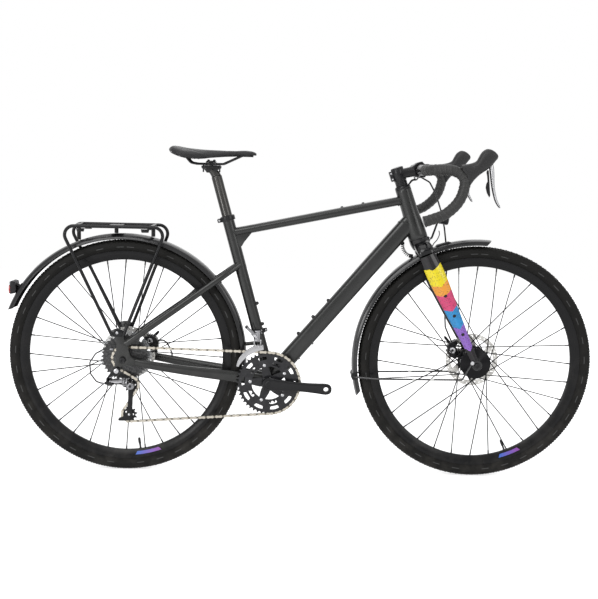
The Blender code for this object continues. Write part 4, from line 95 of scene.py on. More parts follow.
# curves
def flowing(points, count):  # an even reading of a smooth curve; points may be tuples of any length
    rows = [tuple(point) for point in points]
    size = len(rows[0])
    ends = [tuple(2 * a - b for a, b in zip(rows[0], rows[1]))] + rows
    ends.append(tuple(2 * a - b for a, b in zip(rows[-1], rows[-2])))
    fine = []
    for i in range(1, len(ends) - 2):
        a, b, c, d = ends[i - 1:i + 3]
        for k in range(16):
            t = k / 16
            fine.append([0.5 * (2 * b[n] + (c[n] - a[n]) * t + (2 * a[n] - 5 * b[n] + 4 * c[n] - d[n]) * t * t
                                + (3 * b[n] - a[n] - 3 * c[n] + d[n]) * t ** 3) for n in range(size)])
    fine.append(list(rows[-1]))
    travelled = [0.0]
    for a, b in zip(fine, fine[1:]):
        travelled.append(travelled[-1] + math.sqrt(sum((q - p) ** 2 for p, q in zip(a[:3], b[:3]))))
    read, k = [], 0
    for i in range(count):
        target = travelled[-1] * i / (count - 1)
        while k < len(fine) - 2 and travelled[k + 1] < target:
            k += 1
        share = (target - travelled[k]) / max(travelled[k + 1] - travelled[k], 1e-9)
        read.append([p + (q - p) * share for p, q in zip(fine[k], fine[k + 1])])
    return read


def rounded(points, radius, steps=6):  # straight runs with rounded corners
    points = [Vector(point) for point in points]
    path = [points[0]]
    for before, corner, after in zip(points, points[1:], points[2:]):
        to, away = (before - corner).normalized(), (after - corner).normalized()
        turn = to.angle(away)
        reach = min(radius / math.tan(turn / 2), 0.48 * (before - corner).length, 0.48 * (after - corner).length)
        bend = reach * math.tan(turn / 2)
        centre = corner + (to + away).normalized() * (bend / math.sin(turn / 2))
        start, end = corner + to * reach - centre, corner + away * reach - centre
        path += [centre + start.normalized().slerp(end.normalized(), k / steps) * bend for k in range(steps + 1)]
    return path + [points[-1]]


def ringsAlong(path, radii, sides):  # circles carried along a path without twist
    rings, side = [], None
    for i, point in enumerate(path):
        ahead = (path[min(i + 1, len(path) - 1)] - point)
        behind = (point - path[max(i - 1, 0)])
        run = (ahead.normalized() + behind.normalized()).normalized()
        side = run.orthogonal() if side is None else side - run * side.dot(run)
        side = side.normalized()
        across = run.cross(side)
        radius = radii[i] if isinstance(radii, list) else radii
        turns = [2 * math.pi * k / sides for k in range(sides)]
        rings.append([point + (side * math.cos(turn) + across * math.sin(turn)) * radius for turn in turns])
    return rings


def ovalRing(point, run, halfWidth, halfHeight, sides, squareness, across=left):
    side = (across - run * across.dot(run)).normalized()
    top = run.cross(side)
    ring = []
    for i in range(sides):
        angle = 2 * math.pi * (i + 0.5) / sides
        c, s = math.cos(angle), math.sin(angle)
        u = eased(c, 2 / squareness) * halfWidth
        v = eased(s, 2 / squareness) * halfHeight
        ring.append(point + side * u + top * v)
    return ring


def eased(value, power):  # a cosine or sine bent towards a rounded square
    return math.copysign(abs(value) ** power, value)


def mirrored(points):
    return [Vector((point.x, -point.y, point.z)) for point in reversed(points)]


def mm(*rows):  # rows of millimetres as metres
    return [tuple(round(value / 1000, 7) for value in row) for row in rows]


# adding closed shapes to a mesh in the making
def addLoft(bm, rings, closed=False):
    loops = [[bm.verts.new(point) for point in ring] for ring in rings]
    spans = list(zip(loops, loops[1:])) + ([(loops[-1], loops[0])] if closed else [])
    count = len(loops[0])
    for near, far in spans:
        for i in range(count):
            j = (i + 1) % count
            bm.faces.new((near[i], near[j], far[j], far[i]))
    if not closed:
        for loop in (list(reversed(loops[0])), loops[-1]):
            middle = bm.verts.new(sum((v.co for v in loop), Vector()) / count)
            for i in range(count):
                bm.faces.new((loop[i], loop[(i + 1) % count], middle))


def addTube(bm, path, radius, sides=12):
    addLoft(bm, ringsAlong([Vector(point) for point in path], radius, sides))


def addSweep(bm, shape, sides=24, squareness=2.0, across=left, count=0):
    # each entry of the shape is (x, y, z, half width, half height)
    rows = flowing(shape, count) if count else shape
    points = [Vector(row[:3]) for row in rows]
    rings = []
    for i, row in enumerate(rows):
        run = (points[min(i + 1, len(points) - 1)] - points[max(i - 1, 0)]).normalized()
        rings.append(ovalRing(points[i], run, row[3], row[4], sides, squareness, across))
    addLoft(bm, rings)


def addTurned(bm, profile, centre, axis=left, sides=48):
    # profile: (radius, height) points; a profile that starts off the axis makes a ring
    axis = axis.normalized()
    side = axis.orthogonal().normalized()
    across = axis.cross(side)
    closed = profile[0][0] > 0
    loops = []
    for radius, height in profile:
        if radius <= 0:
            loops.append([bm.verts.new(centre + axis * height)] * sides)
            continue
        turns = [2 * math.pi * k / sides for k in range(sides)]
        loops.append([bm.verts.new(centre + axis * height + (side * math.cos(t) + across * math.sin(t)) * radius)
                      for t in turns])
    spans = list(zip(loops, loops[1:])) + ([(loops[-1], loops[0])] if closed else [])
    for near, far in spans:
        for i in range(sides):
            j = (i + 1) % sides
            corners = []
            for v in (near[i], near[j], far[j], far[i]):
                if v not in corners:
                    corners.append(v)
            if len(corners) > 2:
                bm.faces.new(corners)


def addPlate(bm, outline, yLow, yHigh, holes=()):
    # an outline of (x, z) points with holes, pushed out along Y
    edges = []
    for loop in (outline, *holes):
        ring = [bm.verts.new((x, yLow, z)) for x, z in loop]
        edges += [bm.edges.new((ring[i], ring[(i + 1) % len(ring)])) for i in range(len(ring))]
    if holes:
        made = bmesh.ops.triangle_fill(bm, edges=edges, use_beauty=True, normal=(0, -1, 0))
        faces = [item for item in made["geom"] if isinstance(item, bmesh.types.BMFace)]
    else:
        faces = [bm.faces.new([edge.verts[0] for edge in edges])]
    pushed = bmesh.ops.extrude_face_region(bm, geom=faces)
    top = [item for item in pushed["geom"] if isinstance(item, bmesh.types.BMVert)]
    bmesh.ops.translate(bm, verts=top, vec=(0, yHigh - yLow, 0))


def flat(points):
    return [(point.x, point.z) for point in points]


def disc(centre, radius, sides=16, start=0.0):
    return flat([onCircle(centre, radius, start + 360 * k / sides) for k in range(sides)])


def objectFrom(name, bm):
    bmesh.ops.remove_doubles(bm, verts=bm.verts, dist=1e-6)
    bmesh.ops.recalc_face_normals(bm, faces=bm.faces)
    mesh = bpy.data.meshes.new(name)
    bm.to_mesh(mesh)
    bm.free()
    made = bpy.data.objects.new(name, mesh)
    bpy.context.collection.objects.link(made)
    return made


def settled(made):  # keeps what the modifiers give and removes them
    graph = bpy.context.evaluated_depsgraph_get()
    mesh = bpy.data.meshes.new_from_object(made.evaluated_get(graph))
    made.modifiers.clear()
    made.data = mesh
    return made


def bevelled(made, width, segments=2):
    edge = made.modifiers.new("edge", "BEVEL")
    edge.width, edge.segments, edge.limit_method = width, segments, "ANGLE"
    edge.angle_limit, edge.use_clamp_overlap = math.radians(30), True
    return settled(made)


def carved(solid, tool, crossing=False):  # cuts a closed shape out of an object; gives back the mesh for more work
    cutter = objectFrom("cutter", tool)
    carve = solid.modifiers.new("carve", "BOOLEAN")
    carve.object, carve.operation, carve.solver, carve.use_self = cutter, "DIFFERENCE", "EXACT", crossing
    settled(solid)
    bm = bmesh.new()
    bm.from_mesh(solid.data)
    for made in (cutter, solid):
        bpy.data.objects.remove(made)
    return bm


def bodyOf(node):
    bodies = frame["record"]["behaviour"]["bodies"]
    return next(name for name, nodes in bodies.items() if node in nodes)


def finished(name, bm, finish, stands=None, body="", bevel=0.0, angle=35, segments=2):
    # the piece rides the body of the part that it stands for, or the body that is given
    made = objectFrom(name, bm) if isinstance(bm, bmesh.types.BMesh) else bm
    if bevel:
        bevelled(made, bevel, segments)
    made.data.materials.clear()
    made.data.materials.append(finish)
    made.data.shade_smooth()
    made.data.set_sharp_from_angle(angle=math.radians(angle))
    if stands:
        body = bodyOf(stands)
    if body:
        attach(made, body)
    if stands:
        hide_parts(stands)
    return made


def cadCopy(node):  # the node's own solid as a clean mesh to refine
    bm = bmesh.new()
    bm.from_mesh(frame["nodes"][node].data)
    bmesh.ops.remove_doubles(bm, verts=bm.verts, dist=2e-6)
    bmesh.ops.dissolve_limit(bm, angle_limit=0.01, verts=bm.verts, edges=bm.edges)
    return bm


# shader groups that the finishes share
def group(name, inputs, *outputs):
    made = bpy.data.node_groups.new(name, "ShaderNodeTree")
    for label, value in inputs.items():
        made.interface.new_socket(label, in_out="INPUT", socket_type="NodeSocketFloat").default_value = value
    for label in outputs:
        made.interface.new_socket(label, in_out="OUTPUT", socket_type="NodeSocketFloat")
    return made, made.nodes.new("NodeGroupInput"), made.nodes.new("NodeGroupOutput")


def added(tree, kind, **links):  # a node whose inputs are set, or linked, by their names
    node = tree.nodes.new(kind)
    for label, value in links.items():
        socket = node.inputs[label.replace("_", " ")]
        if isinstance(value, bpy.types.NodeSocket):
            tree.links.new(value, socket)
        else:
            socket.default_value = value
    return node


def math2(tree, operation, a, b=None, clamp=False):
    node = tree.nodes.new("ShaderNodeMath")
    node.operation, node.use_clamp = operation, clamp
    for i, value in enumerate((a, b)):
        if value is None:
            continue
        if isinstance(value, (int, float)):
            node.inputs[i].default_value = value
        else:
            tree.links.new(value, node.inputs[i])
    return node.outputs[0]


def grainGroup():
    # fine grain and broad smudges: a height for the bump and a mask for roughness
    tree, given, out = group("surface_grain", {"Fine": 900.0, "Broad": 14.0}, "Height", "Smudge")
    place = added(tree, "ShaderNodeTexCoord").outputs["Object"]
    for label, detail, target in (("Fine", 3.0, "Height"), ("Broad", 5.0, "Smudge")):
        noise = added(tree, "ShaderNodeTexNoise", Detail=detail, Vector=place, Scale=given.outputs[label])
        tree.links.new(noise.outputs["Fac"], out.inputs[target])
    return tree


def dustGroup():
    # pale dust that gathers low down and in broken patches
    tree, given, out = group("road_dust", {"Reach": 0.25, "Scale": 30.0}, "Mask")
    place = added(tree, "ShaderNodeTexCoord").outputs["Object"]
    height = added(tree, "ShaderNodeSeparateXYZ", Vector=place).outputs["Z"]
    low = math2(tree, "SUBTRACT", 1.0, math2(tree, "DIVIDE", height, given.outputs["Reach"]), clamp=True)
    noise = added(tree, "ShaderNodeTexNoise", Detail=6.0, Vector=place, Scale=given.outputs["Scale"])
    patch = math2(tree, "SUBTRACT", noise.outputs["Fac"], 0.42, clamp=True)
    tree.links.new(math2(tree, "MULTIPLY", low, patch, clamp=True), out.inputs["Mask"])
    return tree


def wearGroup():
    # rubbed edges, found from how sharply the surface turns
    tree, given, out = group("edge_wear", {"Reach": 0.55, "Scale": 120.0}, "Mask")
    place = added(tree, "ShaderNodeTexCoord").outputs["Object"]
    noise = added(tree, "ShaderNodeTexNoise", Vector=place, Scale=given.outputs["Scale"])
    turning = added(tree, "ShaderNodeNewGeometry").outputs["Pointiness"]
    sharp = math2(tree, "MULTIPLY", math2(tree, "SUBTRACT", turning, given.outputs["Reach"]), 12.0, clamp=True)
    tree.links.new(math2(tree, "MULTIPLY", sharp, noise.outputs["Fac"], clamp=True), out.inputs["Mask"])
    return tree


surfaceGrain, roadDust, edgeWear = grainGroup(), dustGroup(), wearGroup()


def placed(tree, shared, **values):
    node = tree.nodes.new("ShaderNodeGroup")
    node.node_tree = shared
    for label, value in values.items():
        node.inputs[label].default_value = value
    return node


def blended(tree, mask, first, second):
    mix = tree.nodes.new("ShaderNodeMix")
    mix.data_type = "RGBA"
    tree.links.new(mask, mix.inputs["Factor"])
    for index, value in ((6, first), (7, second)):
        if isinstance(value, (tuple, list)):
            mix.inputs[index].default_value = (*value[:3], 1.0)
        else:
            tree.links.new(value, mix.inputs[index])
    return mix.outputs[2]


def ranged(tree, value, low, high):
    return added(tree, "ShaderNodeMapRange", To_Min=low, To_Max=high, Value=value).outputs[0]


def material(name, colour, roughness, metallic=0.0, coat=0.0, tint=None, fine=900.0, broad=14.0, bump=0.02,
             spread=0.08, dust=0.0, wear=None, specular=0.5, sheen=0.0):
    # a base coat with a second tone, grain, smudges, and optional dust and rubbed edges
    made = bpy.data.materials.new(name)
    made.use_nodes = True
    tree = made.node_tree
    shader = tree.nodes["Principled BSDF"]
    for label, value in (("Metallic", metallic), ("Coat Weight", coat), ("Coat Roughness", 0.12),
                         ("Specular IOR Level", specular), ("Sheen Weight", sheen)):
        shader.inputs[label].default_value = value
    grain = placed(tree, surfaceGrain, Fine=fine, Broad=broad)
    paint = blended(tree, grain.outputs["Smudge"], colour, tint or tuple(min(c * 1.25 + 0.002, 1) for c in colour))
    if dust:
        veil = placed(tree, roadDust, Reach=0.5)
        paint = blended(tree, math2(tree, "MULTIPLY", veil.outputs["Mask"], dust), paint, (0.16, 0.15, 0.135))
    if wear:
        rubbed = placed(tree, edgeWear)
        paint = blended(tree, rubbed.outputs["Mask"], paint, wear)
    tree.links.new(paint, shader.inputs["Base Color"])
    rough = ranged(tree, grain.outputs["Smudge"], max(roughness - spread, 0.02), min(roughness + spread, 1.0))
    tree.links.new(rough, shader.inputs["Roughness"])
    relief = added(tree, "ShaderNodeBump", Strength=bump, Distance=0.001, Height=grain.outputs["Height"])
    tree.links.new(relief.outputs["Normal"], shader.inputs["Normal"])
    return made


def repainted(made, mask, colour):  # lays a colour over a finish where the mask is one
    tree = made.node_tree
    base = tree.nodes["Principled BSDF"].inputs["Base Color"]
    tree.links.new(blended(tree, mask, base.links[0].from_socket, colour), base)
    return made


framePaint = material("frame_paint", (0.028, 0.0285, 0.028), 0.28, metallic=0.75, coat=0.1, specular=0.3,
                      tint=(0.04, 0.0405, 0.04), fine=2600, bump=0.05, dust=0.5)
glossBlack = material("gloss_black", (0.004, 0.004, 0.0045), 0.12, coat=0.1, fine=500, bump=0.01, dust=0.3,
                      specular=0.2)
satinBlack = material("satin_black", (0.007, 0.007, 0.008), 0.28, bump=0.02, wear=(0.05, 0.05, 0.055), specular=0.2)
anodised = material("anodised_black", (0.01, 0.01, 0.011), 0.24, fine=1500, wear=(0.07, 0.07, 0.075), specular=0.22)
postBlack = material("seatpost_black", (0.042, 0.041, 0.039), 0.26, metallic=0.85, fine=1500, wear=(0.14, 0.14, 0.15))
powderCoat = material("powder_coat", (0.005, 0.005, 0.006), 0.2, fine=1800, bump=0.08, specular=0.22)
fenderShell = material("fender_shell", (0.01, 0.01, 0.011), 0.22, coat=0.15, tint=(0.014, 0.014, 0.015), bump=0.02,
                       dust=0.4, specular=0.3)
mattePlastic = material("matte_plastic", (0.008, 0.008, 0.009), 0.42, fine=2200, bump=0.1, specular=0.2)
hoodRubber = material("hood_rubber", (0.009, 0.009, 0.0095), 0.46, fine=3000, bump=0.16, specular=0.35)
cableSkin = material("cable_skin", (0.006, 0.006, 0.007), 0.32, fine=1200, bump=0.03, specular=0.35)
polished = material("polished_aluminium", (0.44, 0.44, 0.45), 0.2, metallic=1.0, tint=(0.36, 0.36, 0.37), fine=1500,
                    bump=0.02)
boltSteel = material("bolt_steel", (0.36, 0.36, 0.37), 0.25, metallic=1.0, fine=1500, bump=0.02)
blackSteel = material("black_bolt_steel", (0.03, 0.03, 0.032), 0.3, metallic=0.9, fine=1500, bump=0.02)
greyAlloy = material("grey_alloy", (0.17, 0.17, 0.175), 0.28, metallic=1.0, tint=(0.25, 0.25, 0.26), fine=1200,
                     bump=0.04)
print("finishes made")


# Geometry Nodes that repeat a shape
def nodeTree(name, inputs):
    tree = bpy.data.node_groups.new(name, "GeometryNodeTree")
    tree.interface.new_socket("Geometry", in_out="INPUT", socket_type="NodeSocketGeometry")
    for label, kind in inputs:
        tree.interface.new_socket(label, in_out="INPUT", socket_type=kind)
    tree.interface.new_socket("Geometry", in_out="OUTPUT", socket_type="NodeSocketGeometry")
    return tree, tree.nodes.new("NodeGroupInput"), tree.nodes.new("NodeGroupOutput")


def closedTree(tree, given, out, shape):
    real = added(tree, "GeometryNodeRealizeInstances", Geometry=shape)
    painted = added(tree, "GeometryNodeSetMaterial", Geometry=real.outputs[0], Material=given.outputs["Material"])
    tree.links.new(painted.outputs[0], out.inputs[0])
    return tree


def spokeNodes():
    # crossed spokes with their nipples: one spoke turned evenly about the wheel's axle
    tree, given, out = nodeTree("spokes_round_a_hub", [("Count", "NodeSocketInt"), ("Centre", "NodeSocketVector"),
            ("Foot", "NodeSocketVector"), ("Neck", "NodeSocketVector"), ("Tip", "NodeSocketVector"),
            ("Thickness", "NodeSocketFloat"), ("Nipple", "NodeSocketFloat"), ("Material", "NodeSocketMaterial")])
    parts = added(tree, "GeometryNodeJoinGeometry")
    for low, high, size, sides in (("Foot", "Tip", "Thickness", 6), ("Neck", "Tip", "Nipple", 8)):
        line = added(tree, "GeometryNodeCurvePrimitiveLine", Start=given.outputs[low], End=given.outputs[high])
        ring = added(tree, "GeometryNodeCurvePrimitiveCircle", Resolution=sides, Radius=given.outputs[size])
        solid = added(tree, "GeometryNodeCurveToMesh", Curve=line.outputs[0], Profile_Curve=ring.outputs[0],
                      Fill_Caps=True)
        tree.links.new(solid.outputs[0], parts.inputs[0])
    step = math2(tree, "DIVIDE", 2 * math.pi, given.outputs["Count"])
    turn = math2(tree, "MULTIPLY", tree.nodes.new("GeometryNodeInputIndex").outputs[0], step)
    spin = added(tree, "ShaderNodeCombineXYZ", Y=turn)
    spots = added(tree, "GeometryNodeMeshLine", Count=given.outputs["Count"], Start_Location=given.outputs["Centre"],
                  Offset=(0.0, 0.0, 0.0))
    set_ = added(tree, "GeometryNodeInstanceOnPoints", Points=spots.outputs[0], Instance=parts.outputs[0],
                 Rotation=spin.outputs[0])
    return closedTree(tree, given, out, set_.outputs[0])


def spotNodes():
    # a template set on every point of a mesh, turned by the point's own "turn"
    tree, given, out = nodeTree("template_on_points", [("Template", "NodeSocketObject"), ("Size", "NodeSocketFloat"),
            ("Material", "NodeSocketMaterial")])
    shape = added(tree, "GeometryNodeObjectInfo", Object=given.outputs["Template"])
    turn = tree.nodes.new("GeometryNodeInputNamedAttribute")
    turn.data_type = "FLOAT_VECTOR"
    turn.inputs["Name"].default_value = "turn"
    set_ = added(tree, "GeometryNodeInstanceOnPoints", Points=given.outputs["Geometry"],
                 Instance=shape.outputs["Geometry"], Rotation=turn.outputs["Attribute"], Scale=given.outputs["Size"])
    return closedTree(tree, given, out, set_.outputs[0])


spokesRoundHub, templateOnPoints = spokeNodes(), spotNodes()


def grown(tree, start, **values):  # runs a tree on a mesh and gives back the plain mesh
    holder = bpy.data.objects.new("grown", start)
    bpy.context.collection.objects.link(holder)
    made = holder.modifiers.new("grown", "NODES")
    made.node_group = tree
    labels = {item.name: item.identifier for item in tree.interface.items_tree if item.in_out == "INPUT"}
    for label, value in values.items():
        made[labels[label]] = value
    graph = bpy.context.evaluated_depsgraph_get()
    mesh = bpy.data.meshes.new_from_object(holder.evaluated_get(graph))
    bpy.data.objects.remove(holder)
    return mesh


def placedCopies(bm, template, spots, size=1.0):
    # spots: (place, turn) pairs, the turn as Euler angles; the copies join the mesh in the making
    start = bpy.data.meshes.new("spots")
    start.from_pydata([tuple(place) for place, _ in spots], [], [])
    turns = start.attributes.new("turn", "FLOAT_VECTOR", "POINT")
    for item, (_, turn) in zip(turns.data, spots):
        item.vector = tuple(turn)
    stand = objectFrom("template", template)
    bm.from_mesh(grown(templateOnPoints, start, Template=stand, Size=size, Material=boltSteel))
    bpy.data.objects.remove(stand)


def aimed(direction):  # Euler angles that point a template's own +Z along a direction
    return Vector(direction).normalized().to_track_quat("Z", "Y").to_euler()


def aroundAxle(centre, radius, count, y, start=0.0, facing=None):
    spots = []
    for k in range(count):
        angle = start + 360 * k / count
        turn = aimed((0, facing, 0)) if facing else (0, -math.radians(angle), 0)
        spots.append((onCircle(centre, radius, angle, y), turn))
    return spots


def screwShape(radius=0.0045, height=0.0028, socket=0.0021):  # a button head with a hexagon socket, facing +Z
    bm = bmesh.new()
    profile = [(0, height * 0.35), (socket, height * 0.35), (socket, height), (radius * 0.6, height * 0.96),
               (radius * 0.9, height * 0.55), (radius, 0), (0, -0.0005)]
    addTurned(bm, profile, Vector(), up, 12)
    return bm


def addScrews(name, size, spots, body, finish=boltSteel):
    bm = bmesh.new()
    placedCopies(bm, screwShape(*size), spots)
    return finished(name, bm, finish, None, body)


# tyres
tyreSizes = {"bead": 0.3108, "rim": 0.3165, "knobs": 132, "stripe": (0.327, 0.3292)}


def tyreMaterial():
    # rubber with fine grain, smudges, dust and a thin grey stripe broken into dashes
    made = material("tyre_rubber", (0.0095, 0.0093, 0.0088), 0.6, tint=(0.0165, 0.016, 0.015), fine=1400, broad=22,
                    bump=0.15, dust=0.6, specular=0.1)
    tree = made.node_tree
    split = added(tree, "ShaderNodeSeparateXYZ", Vector=added(tree, "ShaderNodeUVMap").outputs[0])
    low, high = tyreSizes["stripe"]
    inside = math2(tree, "MULTIPLY", math2(tree, "GREATER_THAN", split.outputs["Y"], low),
                   math2(tree, "LESS_THAN", split.outputs["Y"], high))
    dash = math2(tree, "GREATER_THAN", math2(tree, "SINE", math2(tree, "MULTIPLY", split.outputs["X"], 17.0)), 0.45)
    mask = math2(tree, "MULTIPLY", inside, dash)
    return repainted(made, mask, (0.075, 0.075, 0.075))


tyreRubber = tyreMaterial()


def makeTyre(node, hub):
    rim = tyreSizes["rim"]
    side = [(tyreSizes["bead"], 0.01), (rim - 0.0006, 0.0106), (rim + 0.0006, 0.0118), (rim + 0.0024, 0.0132),
            (rim + 0.005, 0.016), (0.3252, 0.0184), (0.327, 0.0193), (0.3292, 0.0199), (0.3318, 0.02),
            (0.335, 0.0196), (0.3388, 0.0182), (0.3404, 0.018), (0.3424, 0.016), (0.3456, 0.0122), (0.3478, 0.0078),
            (0.3487, 0.0036)]
    profile = side + [(0.3489, 0.0)] + [(r, -y) for r, y in reversed(side)]
    bm = bmesh.new()
    uv = bm.loops.layers.uv.new("UVMap")
    addTurned(bm, profile, hub, left, 144)
    for face in bm.faces:
        for loop in face.loops:
            d = loop.vert.co - hub
            loop[uv].uv = (math.atan2(d.z, abs(d.x) + 1e-9) * 2, math.hypot(d.x, d.z))
    finished(node + "_dressed", bm, tyreRubber, node, angle=50)
    knobs = bmesh.new()
    block = bmesh.new()  # a low tapered tread block; its own +X points away from the hub
    for sx, s in ((-0.0018, 1.0), (0.0008, 0.78)):
        for y, z in ((-1, -1), (1, -1), (1, 1), (-1, 1)):
            block.verts.new((sx, y * 0.0021 * s, z * 0.003 * s))
    block.verts.ensure_lookup_table()
    v = block.verts
    for quad in ((3, 2, 1, 0), (4, 5, 6, 7), (0, 1, 5, 4), (1, 2, 6, 5), (2, 3, 7, 6), (3, 0, 4, 7)):
        block.faces.new([v[i] for i in quad])
    spots = []
    step = 360 / tyreSizes["knobs"]
    for y, r, shift in ((0.0, 0.3491, 0.0), (-0.0062, 0.3483, 0.5), (0.0062, 0.3483, 0.5), (-0.0118, 0.3462, 0.0),
                        (0.0118, 0.3462, 0.0), (-0.0163, 0.3424, 0.5), (0.0163, 0.3424, 0.5)):
        spots += aroundAxle(hub, r, tyreSizes["knobs"], y, step * shift)
    placedCopies(knobs, block, spots)
    finished(node + "_tread", knobs, tyreRubber, node, angle=30)


for node, hub in (("rear_tyre", rearHub), ("front_tyre", frontHub)):
    makeTyre(node, hub)
print("tyres made")

# rims, valves and their stickers
rimSizes = {"outer": 0.3165, "inner": 0.2895, "width": 0.025, "wall": 0.0015}
rimBlack = material("rim_black", (0.006, 0.006, 0.0065), 0.28, fine=1500, bump=0.02, dust=0.4, specular=0.15)


def stickerMaterial():
    # blue that runs to purple along the sticker
    made = material("rim_sticker", (0.05, 0.12, 0.55), 0.3, coat=0.3, bump=0.0)
    tree = made.node_tree
    split = added(tree, "ShaderNodeSeparateXYZ", Vector=added(tree, "ShaderNodeUVMap").outputs[0])
    tree.links.new(blended(tree, split.outputs["X"], (0.035, 0.14, 0.62), (0.3, 0.06, 0.42)),
                   tree.nodes["Principled BSDF"].inputs["Base Color"])
    return made


rimSticker = stickerMaterial()


def makeRim(node, hub, valveAngle, stickerSpan):
    outer, inner, half = rimSizes["outer"], rimSizes["inner"], rimSizes["width"] / 2
    wall = half - rimSizes["wall"]
    side = [(0.31, 0.0104), (outer - 0.0012, wall - 0.0002), (outer, wall + 0.0004), (outer, half - 0.0004),
            (outer - 0.0004, half), (0.3085, half), (0.306, half - 0.0004), (0.299, 0.0092), (0.2925, 0.0064),
            (inner + 0.0004, 0.0046), (inner, 0.0034)]
    profile = side + [(r, -y) for r, y in reversed(side)]
    bm = bmesh.new()
    addTurned(bm, profile, hub, left, 144)
    finished(node + "_dressed", bm, rimBlack, node, angle=28)
    bm = bmesh.new()
    ahead = (onCircle(hub, 1, valveAngle) - hub).normalized()
    top = hub + ahead * inner
    shape = mm((0, 3), (4.8, 3), (4.8, -0.8), (2.9, -1.6), (2.9, -14), (3.6, -14.8), (4, -16), (4, -29), (3.4, -31.8),
               (1.8, -33.5), (0, -33.8))
    addTurned(bm, shape, top, ahead, 14)
    finished(node + "_valve", bm, cableSkin, body=bodyOf(node))
    low, high = stickerSpan
    bm = bmesh.new()
    uv = bm.loops.layers.uv.new("UVMap")
    for y in (-1, 1):
        rows = []
        for k in range(9):
            t = k / 8
            angle = low + (high - low) * t
            inset = 0.6 * math.sin(math.radians(90 * (1 - abs(2 * t - 1))))
            place = []
            for r, out in ((0.2958, 0.008), (0.305, 0.0116)):
                turn = angle + (1.1 if r < 0.3 else 0.0) * (1 - 2 * t)
                place.append(onCircle(hub, r, turn, y * (out + 0.00055 + 0.00002 * inset)))
            rows.append([bm.verts.new(p) for p in place] + [bm.verts.new(p - left * (y * 0.0004))
                    for p in reversed(place)])
        for near, far, k in zip(rows, rows[1:], range(8)):
            for i in range(4):
                face = bm.faces.new((near[i], near[(i + 1) % 4], far[(i + 1) % 4], far[i]))
                for loop in face.loops:
                    loop[uv].uv = ((k + (loop.vert in far)) / 8, 0.5)
        bm.faces.new(rows[0])
        bm.faces.new(list(reversed(rows[-1])))
    finished(node + "_sticker", bm, rimSticker, body=bodyOf(node), angle=40)


makeRim("rear_rim", rearHub, -81.5, (-84.5, -69.5))
makeRim("front_rim", frontHub, -69.0, (-73.5, -60.5))

# hubs with crossed spokes
spokeSizes = {"count": 32, "radius": 0.0016, "nipple": 0.0021, "nippleLength": 0.011}
spokeBlack = material("spoke_black", (0.005, 0.005, 0.006), 0.42, fine=900, specular=0.15)


def makeSpokes(node, hub, flanges, flangeRadius):
    bm = bmesh.new()
    spacing = 360 / spokeSizes["count"]
    for k in range(4):
        onLeft = k % 2
        leading = 1 if k % 4 < 2 else -1
        rimAngle = 90 + spacing * k
        hubAngle = rimAngle + leading * spacing * (6 if onLeft else 5)
        lateral = leading * 0.0014
        foot = onCircle(Vector(), flangeRadius - 0.0035, hubAngle, flanges[onLeft] + lateral)
        tip = onCircle(Vector(), rimSizes["inner"] + 0.0006, rimAngle, (0.0012 if onLeft else -0.0012))
        neck = tip + (foot - tip).normalized() * spokeSizes["nippleLength"]
        bm.from_mesh(grown(spokesRoundHub, bpy.data.meshes.new("empty"), Count=spokeSizes["count"] // 4,
                           Centre=tuple(hub), Foot=tuple(foot), Neck=tuple(neck), Tip=tuple(tip),
                           Thickness=spokeSizes["radius"], Nipple=spokeSizes["nipple"], Material=spokeBlack))
        heads = bmesh.new()
        addTurned(heads, mm((0, 1.6), (1.4, 1.2), (1.8, 0), (0, -0.8)), Vector(), up, 8)
        facing = 1 if lateral > 0 else -1
        placedCopies(bm, heads, aroundAxle(hub, flangeRadius - 0.0035, spokeSizes["count"] // 4,
                flanges[onLeft] + facing * 0.0022, hubAngle, facing))
    finished(node + "_spokes", bm, spokeBlack, node, angle=40)


def makeHub(node, hub, profile, flanges, flangeRadius, finish):
    bm = bmesh.new()
    addTurned(bm, profile, hub, left, 64)
    finished(node + "_shell", bm, finish, node, bevel=0.0006)
    makeSpokes(node, hub, flanges, flangeRadius)


hubBlack = material("hub_black", (0.004, 0.004, 0.005), 0.24, fine=1500, wear=(0.03, 0.03, 0.033), specular=0.12)
frontFlanges, rearFlanges = (-0.0285, 0.0225), (-0.0215, 0.0335)
makeHub("front_hub_spokes", frontHub, mm((6.6, -49.7), (9.5, -49.7), (9.5, -45), (11.8, -44.4), (11.8, -38.5),
        (17.5, -37.2), (21, -35.2), (33, -33.8), (36.5, -31.8), (44, -30.6), (45.5, -29.8), (45.5, -27),
        (43.8, -26.2), (40.5, -25.8), (40.5, 19.8), (43.8, 20.3), (45.5, 21.1), (45.5, 23.9), (44, 24.7), (33, 26.6),
        (22, 28.5), (22, 40.7), (15, 40.9), (11, 42.5), (9.5, 45), (9.5, 49.7), (6.6, 49.7)), frontFlanges, 0.0455,
        hubBlack)
makeHub("rear_hub_spokes", rearHub, mm((6.6, -67.2), (9.5, -67.2), (9.5, -65.5), (17, -64.5), (17, -26), (24, -24.2),
        (27.8, -23.5), (28.5, -22.9), (28.5, -20.1), (27.8, -19.4), (21.5, -18.2), (17, -15.5), (15.5, -10), (15, 5),
        (15.5, 23), (17.5, 27.5), (22.5, 30.3), (27.8, 31.3), (28.5, 32), (28.5, 35), (27.5, 35.8), (22, 38.5),
        (22, 53.4), (15, 53.8), (11, 56), (9.5, 58.5), (9.5, 67.2), (6.6, 67.2)), rearFlanges, 0.0285, hubBlack)
print("wheels laced")

# brake discs
rotorSizes = {"radius": 0.08, "thickness": 0.0018, "arms": 6, "slots": 36}
rotorSteel = material("rotor_steel", (0.66, 0.65, 0.62), 0.34, metallic=0.85, tint=(0.52, 0.51, 0.49), fine=2600,
                      bump=0.08)


